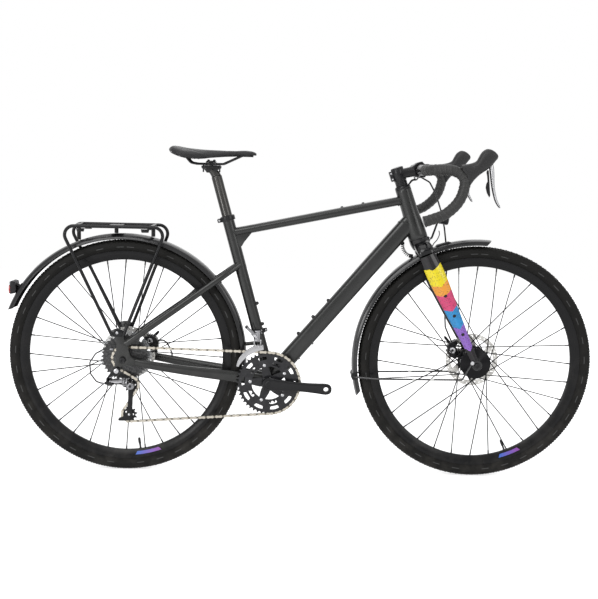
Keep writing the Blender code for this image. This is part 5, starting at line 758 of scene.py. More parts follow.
def makeRotor(node, hub, plane, bossRadius):
    radius, half = rotorSizes["radius"], rotorSizes["thickness"] / 2
    count = rotorSizes["slots"]
    outline = []
    for k in range(count * 4):
        wave = 0.0009 * (0.5 + 0.5 * math.cos(2 * math.pi * k / 8))
        outline.append(onCircle(hub, radius - wave, 360 * k / (count * 4)))
    holes = [flat([onCircle(hub, bossRadius + 0.0003, 360 * k / 48) for k in range(48)])]
    arms = rotorSizes["arms"]
    for k in range(arms):  # windows between the swept arms
        middle = 360 / arms * k + 6
        shape = ((0.064, -21), (0.065, -8), (0.065, 6), (0.064, 19), (0.05, 13), (0.038, 4), (bossRadius + 0.007, -3),
                 (bossRadius + 0.0062, -18), (bossRadius + 0.0075, -33), (0.04, -31), (0.052, -27))
        holes.append(flat([onCircle(hub, r, middle + turn) for r, turn in shape]))
    for k in range(count):  # slots and round holes through the braking track
        angle = 360 * k / count
        if k % 3 == 0:
            holes.append(flat([onCircle(hub, r, angle + turn) for r, turn in ((0.0685, -1.5), (0.0695, -2.0),
                    (0.0755, 0.7), (0.0765, 1.3), (0.0765, 2.3), (0.0755, 2.5), (0.0695, -0.2), (0.0685, -0.6))]))
        else:
            spot = onCircle(hub, 0.07 if k % 3 == 1 else 0.0745, angle + 0.4)
            holes.append(disc(spot, 0.0019, 8))
    bm = bmesh.new()
    addPlate(bm, flat(outline), plane - half, plane + half, holes)
    finished(node + "_dressed", bm, rotorSteel, node, angle=25)
    bm = bmesh.new()  # the splined lock ring that holds the disc
    ring = [onCircle(hub, 0.019 if k % 2 else 0.0205, 360 * k / 48) for k in range(48)]
    addPlate(bm, flat(ring), plane + half + 0.0001, plane + half + 0.0026, [disc(hub, 0.0125, 32)])
    finished(node + "_lock_ring", bm, satinBlack, body=bodyOf(node), bevel=0.0003, angle=30)


makeRotor("front_rotor", frontHub, 0.0395, 0.022)
makeRotor("rear_rotor", rearHub, 0.0522, 0.022)
print("brake discs made")

fenderRadius = 0.3695

# frame tubes, with welds where they meet
frameSizes = {"seatTube": 0.511, "topTubeHeight": 0.459, "headLength": 0.153, "downWide": 0.0225, "downTall": 0.025,
              "topWide": 0.018, "topTall": 0.013, "seatRadius": 0.01745, "shellRadius": 0.021, "shellHalf": 0.034,
              "dropout": 0.0675, "dropoutThick": 0.007}
crankHeight = crankAxle.z - rearHub.z
stayLateral = frameSizes["dropout"] + frameSizes["dropoutThick"] / 2
downTop = onSteerer(0.06 - 0.0003)
downRun = (downTop - crankAxle).normalized()
downNormal = Vector((-downRun.z, 0, downRun.x))
topRear, topFront = onSeatTube(frameSizes["topTubeHeight"]), onSteerer(0.12 - 0.0003)
topRun = (topFront - topRear).normalized()
topNormal = Vector((-topRun.z, 0, topRun.x))


def addWeld(bm, point, run, halfWidth, halfHeight, squareness, across=left, size=0.0014, lean=None):
    # a rippled bead round a tube's end; lean tilts it to follow the other tube
    count, sides = 96, 8
    side = (across - run * across.dot(run)).normalized()
    top = run.cross(side)
    rings = []
    for i in range(count):
        angle = 2 * math.pi * i / count
        c, s = math.cos(angle), math.sin(angle)
        u = eased(c, 2 / squareness) * halfWidth
        v = eased(s, 2 / squareness) * halfHeight
        middle = point + side * u + top * v
        if lean:
            middle += run * lean(u, v)
        out = (side * u + top * v).normalized()
        swell = size * (1 + 0.22 * math.sin(angle * 44))
        rings.append([middle + (out * math.cos(t) + run * (math.sin(t) * 1.5)) * swell
                      for t in (2 * math.pi * k / sides for k in range(sides))])
    addLoft(bm, rings, closed=True)


def makeFrame():
    s = frameSizes
    bm = bmesh.new()
    height, low, high = s["headLength"], 0.0288, 0.0232
    head = [(low - 0.003, 0), (low - 0.0006, 0), (low, 0.0008), (low, 0.012), (low * 0.985, height * 0.2),
            (low * 0.93, height * 0.34), (high * 1.06, height * 0.48), (high * 1.03, height * 0.55),
            (high * 1.0, height - 0.01), (high, height - 0.0008), (high - 0.0006, height), (high - 0.003, height)]
    addTurned(bm, head, steerBase, steerUp, 56)
    length = (downTop - crankAxle).length
    wide, tall = s["downWide"], s["downTall"]
    addSweep(bm, [(*(crankAxle + downRun * length * t), w, h) for t, w, h in ((0.02, wide, tall * 0.82),
            (0.1, wide, tall), (0.3, wide, tall), (0.75, wide, tall), (0.92, wide * 0.97, tall * 0.99),
            (0.995, wide * 0.86, tall * 0.96))], 48, 3.2, count=24)
    wide, tall = s["topWide"], s["topTall"]
    addSweep(bm, [(*topRear.lerp(topFront, t), w, h) for t, w, h in ((0.0, 0.016, tall), (0.12, wide, tall * 0.95),
            (0.5, wide, tall), (0.9, wide, tall), (1.0, wide * 0.98, tall))], 40, 2.5, count=24)
    seat = s["seatRadius"]
    addTurned(bm, [(seat - 0.0012, 0.01), (seat, 0.01), (seat, s["seatTube"] - 0.0006),
                   (seat - 0.0006, s["seatTube"]), (seat - 0.0012, s["seatTube"])], seatFoot, seatUp, 48)
    shell, half = s["shellRadius"], s["shellHalf"]
    addTurned(bm, [(shell - 0.003, -half), (shell - 0.0005, -half), (shell, -half + 0.0005), (shell, half - 0.0005),
                   (shell - 0.0005, half), (shell - 0.003, half)], crankAxle, left, 56)
    for side in (-1, 1):
        stay = ((0.085, 1.0, 0.1, 0.006, 0.0095), (0.18, 0.965, 0.22, 0.0082, 0.0118),
                (0.465, 0.79, 0.5, 0.01, 0.0143), (0.695, 0.545, 0.7, 0.01, 0.017), (0.8, 0.437, 0.8, 0.0085, 0.0178),
                (0.925, 0.345, 0.93, 0.009, 0.0175), (0.985, 0.3, 0.98, 0.009, 0.017))
        chord = crankAxle.x - rearHub.x
        addSweep(bm, [(rearHub.x + chord * a, side * stayLateral * out, rearHub.z + crankHeight * fall, w, h)
                      for a, out, fall, w, h in stay], 28, 2.6, count=30)
        foot, top = rearHub + Vector((0.008, 0, 0.046)), onSeatTube(0.363)
        rows = []
        for t, out, w in ((0.0, 1.0, 0.006), (0.18, 0.99, 0.0073), (0.55, 0.765, 0.0075), (0.82, 0.575, 0.0075),
                          (0.93, 0.38, 0.0075), (1.0, 0.15, 0.0075)):
            point = foot.lerp(top, t)
            rows.append((point.x, side * stayLateral * out, point.z, w, 0.0095))
        addSweep(bm, rows, 24, 2.3, count=28)
    # short struts that carry the rear fender
    fender = fromRear(-0.008, rearHub.z - 0.002)
    bridge = onCircle(fender, fenderRadius + 0.0003 + 0.008 + 0.006, 39.5)
    addTube(bm, [bridge - left * 0.034, bridge + left * 0.034], 0.006, 20)
    foot = onSeatTube(0.118)
    inward = (fender - foot).normalized()
    addTube(bm, [foot + inward * seat * 0.9, foot + inward * ((fender - foot).length - fenderRadius - 0.0003)], 0.006,
            20)
    # welds
    addWeld(bm, crankAxle + downRun * (shell + 0.004), downRun, 0.0226, 0.0215, 3.2)
    addWeld(bm, crankAxle + downRun * (length - 0.031), downRun, 0.0212, 0.0246, 3.2, lean=lambda u,
            v: 0.012 * (u / 0.022) ** 2 - v * 0.16)
    addWeld(bm, topFront - topRun * 0.0235, topRun, 0.018, 0.0132, 2.5, lean=lambda u, v: 0.006 * (u / 0.018) ** 2
            + v * 0.2)
    addWeld(bm, topRear + topRun * 0.0165, topRun, 0.0163, 0.0132, 2.4, lean=lambda u, v: -0.006 * (u / 0.016) ** 2
            - v * 0.12)
    addWeld(bm, seatFoot + seatUp * (shell + 0.001), seatUp, 0.0176, 0.0176, 2.0)
    return finished("frame_tubes", bm, framePaint, "frame", angle=40)


def makeDropouts():
    bm = bmesh.new()
    thick = frameSizes["dropoutThick"]
    for side in (-1, 1):
        raw = mm((14, -16), (34, -19), (42, -4), (24, 10), (17, 30), (16, 46), (2, 64), (-4, 86), (-12, 94),
                 (-21, 92), (-26, 80), (-18, 50), (-19, 12), (-19, -6))
        raw += mm((-25, -22), (-26, -36), (-17, -42), (-8, -37), (-5, -20)) if side < 0 else [(-0.01, -0.017)]
        outline = [(rearHub.x + x, rearHub.z + z) for x, z in raw]
        low, high = sorted((side * frameSizes["dropout"], side * (frameSizes["dropout"] + thick)))
        holes = [disc(rearHub, 0.0068, 20)] + ([disc(fromRear(-0.017, rearHub.z - 0.032), 0.0046, 16)] if side < 0
                else [])
        addPlate(bm, outline, low, high, holes)
        lug = fromRear(-0.015, rearHub.z + 0.084, side * (frameSizes["dropout"] + thick))
        addTurned(bm, mm((0, -2), (7, -2), (7, 1.4), (6.4, 2), (0, 2)), lug, left * side, 24)
    for spot in (0.047, 0.079):  # pads under the rear brake
        x, y, z = rearHub.x + spot, frameSizes["dropout"], rearHub.z
        addPlate(bm, [(x + u, z + v) for u, v in mm((-6, -10), (6, -10), (6, 12), (-6, 12))], y - 0.009, y + 0.004)
    gusset = [onSeatTube(0.413, 0.01), onSeatTube(0.413, 0.02), onSeatTube(0.423, 0.03), topRear + topRun * 0.062
              - topNormal * 0.009, topRear + topRun * 0.062, topRear]
    addPlate(bm, flat(gusset), -0.0125, 0.0125)
    return finished("frame_ends", bm, framePaint, "frame", bevel=0.0012, angle=40)


def makeBosses():
    # threaded bosses with their screws on the tubes
    bosses, spots = bmesh.new(), []
    places = [(crankAxle + downRun * s + downNormal * 0.025, downNormal) for s in (0.165, 0.232, 0.299)]
    places += [(onSeatTube(s, frameSizes["seatRadius"]), seatAhead) for s in (0.172, 0.236)]
    low = [(crankAxle + downRun * s - downNormal * 0.0246, -downNormal) for s in (0.109, 0.17)]
    low += [(fromRear(x, z), topNormal) for x, z in ((0.637, 0.8065), (0.699, 0.8195))]
    for place, aim in places:
        tall = 0.005 if (place - crankAxle).length < 0.29 else 0.0035
        addTurned(bosses, [(0, -0.0022), (0.0055, -0.0022), (0.0055, tall - 0.0006), (0.005, tall), (0, tall)], place,
                  aim, 20)
        spots.append((place + aim * tall, aimed(aim)))
    for place, aim in low:
        addTurned(bosses, mm((0, -3), (5.8, -3), (5.5, 0.8), (4.8, 1.2), (0, 1.2)), place, aim, 20)
        spots.append((place + aim * 0.0011, aimed(aim)))
    finished("frame_bosses", bosses, framePaint, "frame", angle=40)
    addScrews("frame_boss_screws", (0.0042, 0.0026, 0.0019), spots, "frame_body", blackSteel)


makeFrame()
makeDropouts()
makeBosses()
print("frame made")

# fork
forkSizes = {"bands": ((0.0, (0.006, 0.006, 0.007)), (0.128, (0.92, 0.76, 0.02)), (0.275, (0.93, 0.38, 0.05)),
                       (0.362, (0.72, 0.07, 0.2)), (0.5, (0.03, 0.3, 0.66)), (0.66, (0.31, 0.15, 0.6)),
                       (0.862, (0.008, 0.008, 0.009)))}


def forkMaterial():
    # gloss black with plain colour bands down the outer face of each blade; their edges lean and waver
    made = material("fork_paint", (0.004, 0.004, 0.005), 0.1, coat=0.3, fine=500, bump=0.01, specular=0.2)
    tree = made.node_tree
    fields = {}
    for label in ("along", "across", "outer"):
        node = tree.nodes.new("ShaderNodeAttribute")
        node.attribute_name = label
        fields[label] = node.outputs["Fac"]
    place = added(tree, "ShaderNodeTexCoord").outputs["Object"]
    noise = added(tree, "ShaderNodeTexNoise", Scale=90.0, Vector=place)
    waver = math2(tree, "MULTIPLY", math2(tree, "SUBTRACT", noise.outputs["Fac"], 0.5), 0.022)
    lean = math2(tree, "MULTIPLY", math2(tree, "ABSOLUTE", fields["across"]), 0.035)
    level = math2(tree, "ADD", math2(tree, "ADD", fields["along"], waver), lean)
    ramp = tree.nodes.new("ShaderNodeValToRGB")
    ramp.color_ramp.interpolation = "CONSTANT"
    stops = ramp.color_ramp.elements
    while len(stops) < len(forkSizes["bands"]):
        stops.new(0.5)
    for stop, (at, colour) in zip(stops, forkSizes["bands"]):
        stop.position, stop.color = at, (*colour, 1)
    tree.links.new(level, ramp.inputs[0])
    # a scatter of darker dots over the bands
    dots = added(tree, "ShaderNodeTexVoronoi", Scale=210.0, Vector=place)
    dotted = math2(tree, "MULTIPLY", math2(tree, "LESS_THAN", dots.outputs["Distance"], 0.27), 0.62)
    bands = blended(tree, dotted, ramp.outputs["Color"], (0.05, 0.02, 0.04))
    return repainted(made, math2(tree, "GREATER_THAN", fields["outer"], 0.45), bands)


forkPaint = forkMaterial()
bladeEnds = (onSteerer(-0.0003 - 0.052, 0.007), frontHub)


def bladePoint(share):
    return bladeEnds[0].lerp(bladeEnds[1], share) + Vector((-0.001, 0, -0.001)) * math.sin(math.pi * share)


bladeRun = (bladePoint(1.0) - bladePoint(0.8)).normalized()
bladeBack = Vector((bladeRun.z, 0, -bladeRun.x))


def makeFork():
    bm = bmesh.new()
    layers = {label: bm.verts.layers.float.new(label) for label in ("along", "across", "outer")}
    shape = ((0.0, 0.047, 0.0115, 0.024), (0.14, 0.0482, 0.0118, 0.0275), (0.3, 0.0498, 0.011, 0.0255),
             (0.52, 0.052, 0.0095, 0.02), (0.8, 0.055, 0.007, 0.013), (0.93, 0.056, 0.0057, 0.0105),
             (1.035, 0.056, 0.0055, 0.0095))
    for side in (-1, 1):
        rows = []
        for share, out, w, d in shape:
            point = bladePoint(share)
            rows.append((point.x, side * out, point.z, w, d, share))
        rows = flowing(rows, 44)
        rings, marks = [], []
        for i, row in enumerate(rows):
            run = (Vector(rows[min(i + 1, 43)][:3]) - Vector(rows[max(i - 1, 0)][:3])).normalized()
            lateral = (left - run * left.dot(run)).normalized() * side
            depth = run.cross(lateral)
            ring, mark = [], []
            for k in range(36):
                angle = 2 * math.pi * k / 36
                c, s = math.cos(angle), math.sin(angle)
                p = 1.55 if c > 0 else 2.8  # the outer face comes to a soft ridge
                w = (abs(c) ** p + abs(s) ** p) ** (-1 / p)
                ring.append(Vector(row[:3]) + lateral * (c * w * row[3]) + depth * (s * w * row[4]))
                mark.append((row[5], s * w, 1.0 if c > 0.12 else 0.0))
            rings.append(ring)
            marks.append(mark)
        before = len(bm.verts)
        addLoft(bm, rings)
        bm.verts.ensure_lookup_table()
        for vert, mark in zip(bm.verts[before:], [m for row in marks for m in row]):
            for label, value in zip(("along", "across", "outer"), mark):
                vert[layers[label]] = value
    arch = [onSteerer(-0.0503, 0.007, -0.0475), onSteerer(-0.0353, 0.006, -0.0415), onSteerer(-0.0213, 0.003, -0.016),
            onSteerer(-0.0213, 0.003, 0.016), onSteerer(-0.0353, 0.006, 0.0415), onSteerer(-0.0503, 0.007, 0.0475)]
    sizes = mm((24, 11.2), (24.5, 13.2), (23.8, 14.8), (23.8, 14.8), (24.5, 13.2), (24, 11.2))
    addSweep(bm, [(*point, w, h) for point, (w, h) in zip(arch, sizes)], 36, 2.6, across=steerAhead, count=26)
    collar = mm((0, -30.5), (23.5, -30.3), (26.2, -24), (28.3, -15), (28.8, -12), (28.8, -0.8), (28.2, -0.3), (0, -0.3))
    addTurned(bm, collar, steerBase, steerUp, 48)
    addTurned(bm, mm((0, -10), (14.3, -10), (14.3, 198.5), (0, 198.5)), steerBase, steerUp, 32)
    for y in (-0.056, 0.056):  # the axle ends
        addTurned(bm, mm((6.2, -5.7), (14, -5.7), (15, -4.5), (15, 4.5), (14, 5.7), (6.2, 5.7)), frontHub + left * y,
                  left, 36)
    for along in (-0.003, 0.027):  # pads under the front brake
        low = frontHub - bladeRun * (0.064 - along) + bladeBack * 0.002 - bladeRun * 0.006
        corners = (low, low + bladeRun * 0.012, low + bladeRun * 0.012 + bladeBack * 0.0145, low + bladeBack * 0.0145)
        addPlate(bm, flat(corners), 0.0505, 0.059)
    finished("fork_dressed", bm, forkPaint, "fork", angle=42)
    bosses, spots = bmesh.new(), []
    for side in (-1, 1):  # carrier bosses down the outside of each blade
        for x, z in ((0.9425, 0.553), (0.969, 0.496), (0.997, 0.44)):
            place = fromRear(x, z)
            share = min(range(101), key=lambda i: (bladePoint(i / 100) - place).length) / 100
            skin = 0.047 + 0.009 * share + 0.0118 - 0.0058 * share
            place = bladePoint(share) + left * (side * skin)
            aim = left * side
            addTurned(bosses, mm((0, -4), (5.2, -4), (5, 0.6), (4.3, 1), (0, 1)), place, aim, 20)
            spots.append((place + aim * 0.0009, aimed(aim)))
    finished("fork_bosses", bosses, glossBlack, "fork", angle=40)
    addScrews("fork_boss_screws", (0.0036, 0.0024, 0.0017), spots, "steering", blackSteel)


makeFork()
print("fork made")


# axles
def makeAxle(node, hub, face):
    bm = bmesh.new()
    head = face + fit
    addTurned(bm, [(0, -head - 0.004), (0.0032, -head - 0.004), (0.0032, -head - 0.006), (0.0078, -head - 0.006),
                   (0.0085, -head - 0.0052), (0.0085, -head), (0.006, -head), (0.006, head), (0.0095, head),
                   (0.0095, head + 0.007), (0.0085, head + 0.008), (0.0045, head + 0.008), (0.0045, head + 0.006),
                   (0, head + 0.006)], hub, left, 36)
    finished(node + "_dressed", bm, anodised, node, bevel=0.0003)


makeAxle("front_axle", frontHub, forkFace)
makeAxle("rear_axle", rearHub, dropoutFace)
print("axles made")

# fenders
fenderSizes = {"radius": fenderRadius, "width": 0.054, "thick": 0.0018, "depth": 0.016, "stay": 0.0026}
fenderCentre = fromRear(-0.008, rearHub.z - 0.002)
stayWire = material("stay_wire", (0.012, 0.012, 0.013), 0.25, coat=0.3, fine=900)
whitePlastic = material("white_plastic", (0.62, 0.62, 0.6), 0.42, fine=900)


def addFenderStrip(bm, centre, start, end):
    # a flat crown with sloping flanks, rolled edges and ends cut on a slant
    radius, width, thick, depth = (fenderSizes[key] for key in ("radius", "width", "thick", "depth"))
    half = width / 2
    right = [(1.0, -1.0), (1.01, -0.94), (1.0, -0.88), (0.975, -0.84), (0.93, -0.56), (0.84, -0.3), (0.8, -0.26),
             (0.44, -0.03), (0.36, 0.0), (0.12, 0.0)]
    outer = [(-half * y, depth * r) for y, r in right] + [(half * y, depth * r) for y, r in reversed(right)]
    inner = [(y * 0.93, r - (0.0004 if abs(y) > half * 0.95 else thick * 0.9)) for y, r in reversed(outer)]
    steps = round((end - start) / 1.6)
    rings = []
    for k in range(steps + 1):
        angle = start + (end - start) * k / steps
        edge = min(k, steps - k)
        slant = (1.0, 0.45, 0.12)[edge] * 2.2 if edge < 3 else 0.0
        toward = slant if k < steps / 2 else -slant
        rings.append([onCircle(centre, radius + r, angle + toward * max(0.0, -r / depth), y) for y, r in outer + inner])
    addLoft(bm, rings)


def makeFrontFender():
    bm = bmesh.new()
    addFenderStrip(bm, frontHub, 84.5, 197.0)
    finished("front_fender_shell", bm, fenderShell, "front_fender", angle=24)
    bm = bmesh.new()
    crown = onSteerer(-0.0356, 0.002)
    inward = (frontHub - crown).normalized()
    top = crown + inward * 0.0008
    addTube(bm, [top, top + inward * ((frontHub - top).length - fenderRadius + 0.0026)], 0.006, 20)
    plate = [onCircle(frontHub, fenderRadius + 0.0002 + r, a) for r, a in ((0.0, 103.0), (0.0034, 104.0),
            (0.0034, 109.4), (0.0, 110.4))]
    addPlate(bm, flat(plate), -0.012, 0.012)
    for y in (-0.0252, 0.0252):  # clips that hold the stay across the back
        clip = [onCircle(frontHub, fenderRadius + r, a) for r, a in ((-0.014, 185.5), (0.0016, 185.7),
                (0.0046, 187.2), (0.0016, 188.7), (-0.014, 188.9))]
        addPlate(bm, flat(clip), y - 0.0042, y + 0.0042)
    finished("front_fender_fittings", bm, mattePlastic, "front_fender", bevel=0.0006)
    back = onCircle(frontHub, fenderRadius + fenderSizes["stay"] * 0.7, 187.2)
    side = forkFace + fenderSizes["stay"] + 0.0006
    right = [Vector((frontHub.x - 0.016, -side, frontHub.z + 0.008)),
             Vector((frontHub.x - 0.044, -side, back.z + 0.004)), Vector((back.x + 0.08, -side * 0.86, back.z)),
             Vector((back.x + 0.012, -0.033, back.z)), Vector((back.x, -0.023, back.z))]
    bm = bmesh.new()
    addTube(bm, rounded(right + mirrored(right), 0.006, 5), fenderSizes["stay"], 12)
    finished("front_fender_stay", bm, stayWire, "front_fender", angle=40)
    bm = bmesh.new()
    for y in (-1, 1):  # end caps of the stay at the fork ends
        eye = Vector((frontHub.x - 0.0155, y * side, frontHub.z + 0.0083))
        addTurned(bm, mm((0, -3.6), (5.2, -3.6), (5.8, -2.8), (5.8, 1.8), (5, 2.6), (0, 2.6)), eye, left * y, 20)
    finished("front_stay_eyes", bm, boltSteel, body="steering")
    bm = bmesh.new()
    for t in (0.36, 0.58):  # pale sleeves on the stay
        for y in (-1, 1):
            a, b = Vector((frontHub.x - 0.044, y * side, back.z + 0.004)), Vector((back.x + 0.08, y * side * 0.86,
                    back.z))
            spot = a.lerp(b, t)
            run = (b - a).normalized()
            addTurned(bm, mm((2.1, -5), (3.1, -5), (3.4, -4), (3.4, 4), (3.1, 5), (2.1, 5)), spot, run, 16)
    finished("front_stay_sleeves", bm, whitePlastic, body="steering")


def makeRearFender():
    bm = bmesh.new()
    addFenderStrip(bm, fenderCentre, -4.0, 158.56)
    finished("rear_fender_shell", bm, fenderShell, "rear_fender", angle=24)
    bm = bmesh.new()
    for middle in (40.2, 146.6):  # small plates where the fender is bolted
        plate = [onCircle(fenderCentre, fenderRadius + 0.0001 + r, middle + a)
                 for r, a in ((0.0, -2.4), (0.0018, -2.0), (0.0018, 2.0), (0.0, 2.4))]
        addPlate(bm, flat(plate), -0.01, 0.01)
    finished("rear_fender_fittings", bm, mattePlastic, "rear_fender", bevel=0.0005)


makeFrontFender()
makeRearFender()
print("fenders made")

# rear rack
rackSizes = {"tube": 0.005, "half": 0.06, "foot": 0.0795, "top": 0.74, "front": 0.116, "rear": -0.174,
             "spread": 0.011, "bend": 0.026}


def makeRack():
    s = rackSizes
    bm = bmesh.new()
    for side in (-1, 1):
        y, low = side * s["half"], side * s["foot"]
        loop = [fromRear(-0.015 + 0.018, 0.422, low), fromRear(s["front"] + s["spread"], s["top"], y),
                fromRear(s["rear"] - s["spread"], s["top"], y), fromRear(-0.015 - 0.014, 0.422, low)]
        addTube(bm, rounded(loop, s["bend"], 14), s["tube"], 20)
    for x in (s["rear"] + 0.034, s["front"] - 0.036):
        addTube(bm, [fromRear(x, s["top"], -s["half"]), fromRear(x, s["top"], s["half"])], s["tube"] * 0.9, 16)
    middle = (s["rear"] + s["front"]) / 2
    for x in (s["rear"] + 0.034, middle, s["front"] - 0.036):
        back = x + 0.008
        foot = fenderCentre.z + math.sqrt(fenderRadius ** 2 - back ** 2) + 0.0006 + abs(back) / fenderRadius * 0.006
        addTube(bm, [fromRear(x, foot), fromRear(x, s["top"] - 0.001)], 0.006, 18)
    finished("rack_tubes", bm, powderCoat, "rear_rack", angle=40)
    bm = bmesh.new()
    for side in (-1, 1):
        face = dropoutFace + 0.002 + fit
        lug = [fromRear(-0.015 + x, rearHub.z + 0.084 + z) for x, z in mm((-18, -14), (21, -14), (19, 4), (8, 9),
                (-6, 9), (-17, 4))]
        low, high = sorted((side * face, side * (face + 0.004)))
        addPlate(bm, flat(lug), low, high)
        for x in (s["front"] - 0.052, s["rear"] + 0.05):  # hook plates inside the side loops
            hook = [fromRear(x + u, s["top"] + w) for u, w in mm((-13, -6), (13, -6), (10, -16), (-10, -16))]
            addPlate(bm, flat(hook), min(side * 0.0585, side * 0.0615), max(side * 0.0585, side * 0.0615))
    plate = [fromRear(middle + x, 0) for x in (-0.02, 0.02)]
    z = s["top"]
    addPlate(bm, [(plate[0].x, z - 0.003), (plate[1].x, z - 0.003), (plate[1].x, z + 0.002), (plate[0].x, z + 0.002)],
             -s["half"], s["half"])
    finished("rack_plates", bm, powderCoat, "rear_rack", bevel=0.0009, angle=40)
    spots = [(fromRear(-0.015, rearHub.z + 0.0815, side * 0.0808), aimed((0, side, 0))) for side in (-1, 1)]
    addScrews("rack_bolts", (0.0052, 0.0034, 0.0023), spots, "frame_body")
    spots = [(fromRear(middle + x, s["top"] + 0.0019, y), (0, 0, 0)) for x in (-0.012, 0.012) for y in (-0.045, 0.045)]
    addScrews("rack_screws", (0.003, 0.0018, 0.0014), spots, "frame_body", blackSteel)


makeRack()
print("rack made")

# lamps
redLens = material("red_lens", (0.5, 0.012, 0.01), 0.12, coat=0.6, tint=(0.34, 0.008, 0.008), fine=400, bump=0.02)
clearLens = material("clear_lens", (0.66, 0.67, 0.68), 0.1, metallic=0.2, coat=0.6, tint=(0.5, 0.52, 0.54), fine=400)


def ribbed(made, scale):  # fine ribs across a lens
    tree = made.node_tree
    place = added(tree, "ShaderNodeTexCoord").outputs["Object"]
    wave = added(tree, "ShaderNodeTexWave", Scale=scale, Vector=place)
    wave.bands_direction = "Z"
    relief = next(node for node in tree.nodes if node.bl_idname == "ShaderNodeBump")
    relief.inputs["Strength"].default_value = 0.35
    tree.links.new(wave.outputs["Fac"], relief.inputs["Height"])
    return made


ribbed(redLens, 110.0)
ribbed(clearLens, 90.0)
lampFoot = onCircle(fenderCentre, fenderRadius, 146.6)


def makeRearLamp():
    x, z = lampFoot.x, lampFoot.z
    bm = bmesh.new()
    shape = [(x + u, z + v) for u, v in mm((-24.5, -18.5), (-23.5, -19.6), (-10, -16.8), (-6.2, -4.2), (-10, 17.8),
            (-20, 19.6), (-24.5, 17))]
    addPlate(bm, shape, -0.0232, 0.0232)
    seat = fenderCentre + (lampFoot - fenderCentre).normalized() * (fenderRadius + 0.0003)
    addTube(bm, [seat, seat + (lampFoot - fenderCentre).normalized() * 0.013], 0.006, 18)
    finished("rear_lamp_body", bm, mattePlastic, "rear_light", bevel=0.0036, angle=50, segments=4)
    for name, finish, low, high, slot in (("rear_lamp_lens", redLens, -0.0175, 0.006, "lamp_black"),
            ("rear_lamp_reflector", clearLens, 0.0066, 0.0166, "lamp_black")):
        bm = bmesh.new()
        rows = []
        for k in range(13):
            y = -0.0212 + 0.0424 * k / 12
            bulge = 0.004 * (1 - (y / 0.0225) ** 2) + 0.0002
            rows.append([Vector((x - 0.0276 - bulge, y, z + low)),
                         Vector((x - 0.0284 - bulge, y, z + (low + high) / 2)),
                         Vector((x - 0.0276 - bulge, y, z + high)), Vector((x - 0.0225, y, z + high)),
                         Vector((x - 0.0225, y, z + low))])
        addLoft(bm, rows)
        finished(name, bm, finish, "rear_light", bevel=0.0007, angle=50)


def makeFrontLamp():
    c = onSteerer(0.2033, 0.0645) + Vector((0.072, 0, -0.153))
    run = Vector((1, 0, -0.08)).normalized()
    bm = bmesh.new()
    body = mm((17.6, 20), (18.2, 18.8), (18.4, 15), (17.4, 8), (16.2, -8), (15.2, -14), (12.4, -20), (9.6, -23.6),
              (6, -25.6), (0, -26))
    addTurned(bm, [(0, 0.0196), (0.0166, 0.0196), (0.017, 0.0206)] + body, c, run, 40)
    for k in range(5):  # cooling ribs round the back
        s = -0.003 - 0.0042 * k
        r = 0.0172 - 0.0008 * k
        addTurned(bm, [(r + x, s + z) for x, z in mm((-3, -0.7), (0, -0.7), (0, 0.7), (-3, 0.7))], c, run, 40)
    finished("front_lamp_body", bm, mattePlastic, "front_light", angle=38)
    bm = bmesh.new()
    addTurned(bm, mm((0, 23.8), (6, 23.5), (12, 22.6), (15.6, 21.2), (16, 19.8), (0, 19.8)), c, run, 40)
    finished("front_lamp_lens", bm, clearLens, "front_light", angle=45)
    start = onSteerer(-0.0123, 0.0288 + 0.0006)
    route = [start, start + steerAhead * 0.009, c + Vector((-0.012, 0, -0.0155)), c + Vector((-0.0085, 0, -0.0085))]
    bm = bmesh.new()
    addTube(bm, rounded(route, 0.006, 5), 0.003, 16)
    addTurned(bm, mm((0, -0.6), (8.5, -0.6), (8.5, 1.2), (7.8, 1.8), (0, 1.8)), start, steerAhead, 24)
    finished("front_lamp_bracket", bm, powderCoat, "front_light", angle=38)
    addScrews("front_lamp_bolt", (0.0052, 0.0034, 0.0023),
              [(start + steerAhead * 0.0018 + steerUp * 0.0001, aimed(steerAhead))], "steering")


makeRearLamp()
makeFrontLamp()
print("lamps made")

# stem, bar, tape and levers
cockpit = {"bar": 0.0119, "half": 0.2205, "reach": 0.097, "drop": 0.139, "flare": 0.014, "tape": 0.0036, "turns": 26}
stemCentre = onSteerer(0.1971)
barCentre = Vector((0.34186, 0, 0.9212))
stemRun = (barCentre - stemCentre).normalized()
stemUp = Vector((-stemRun.z, 0, stemRun.x))


def onBar(ahead, above):  # a place counted from the middle of the bar along the stem
    return barCentre + stemRun * ahead + stemUp * above


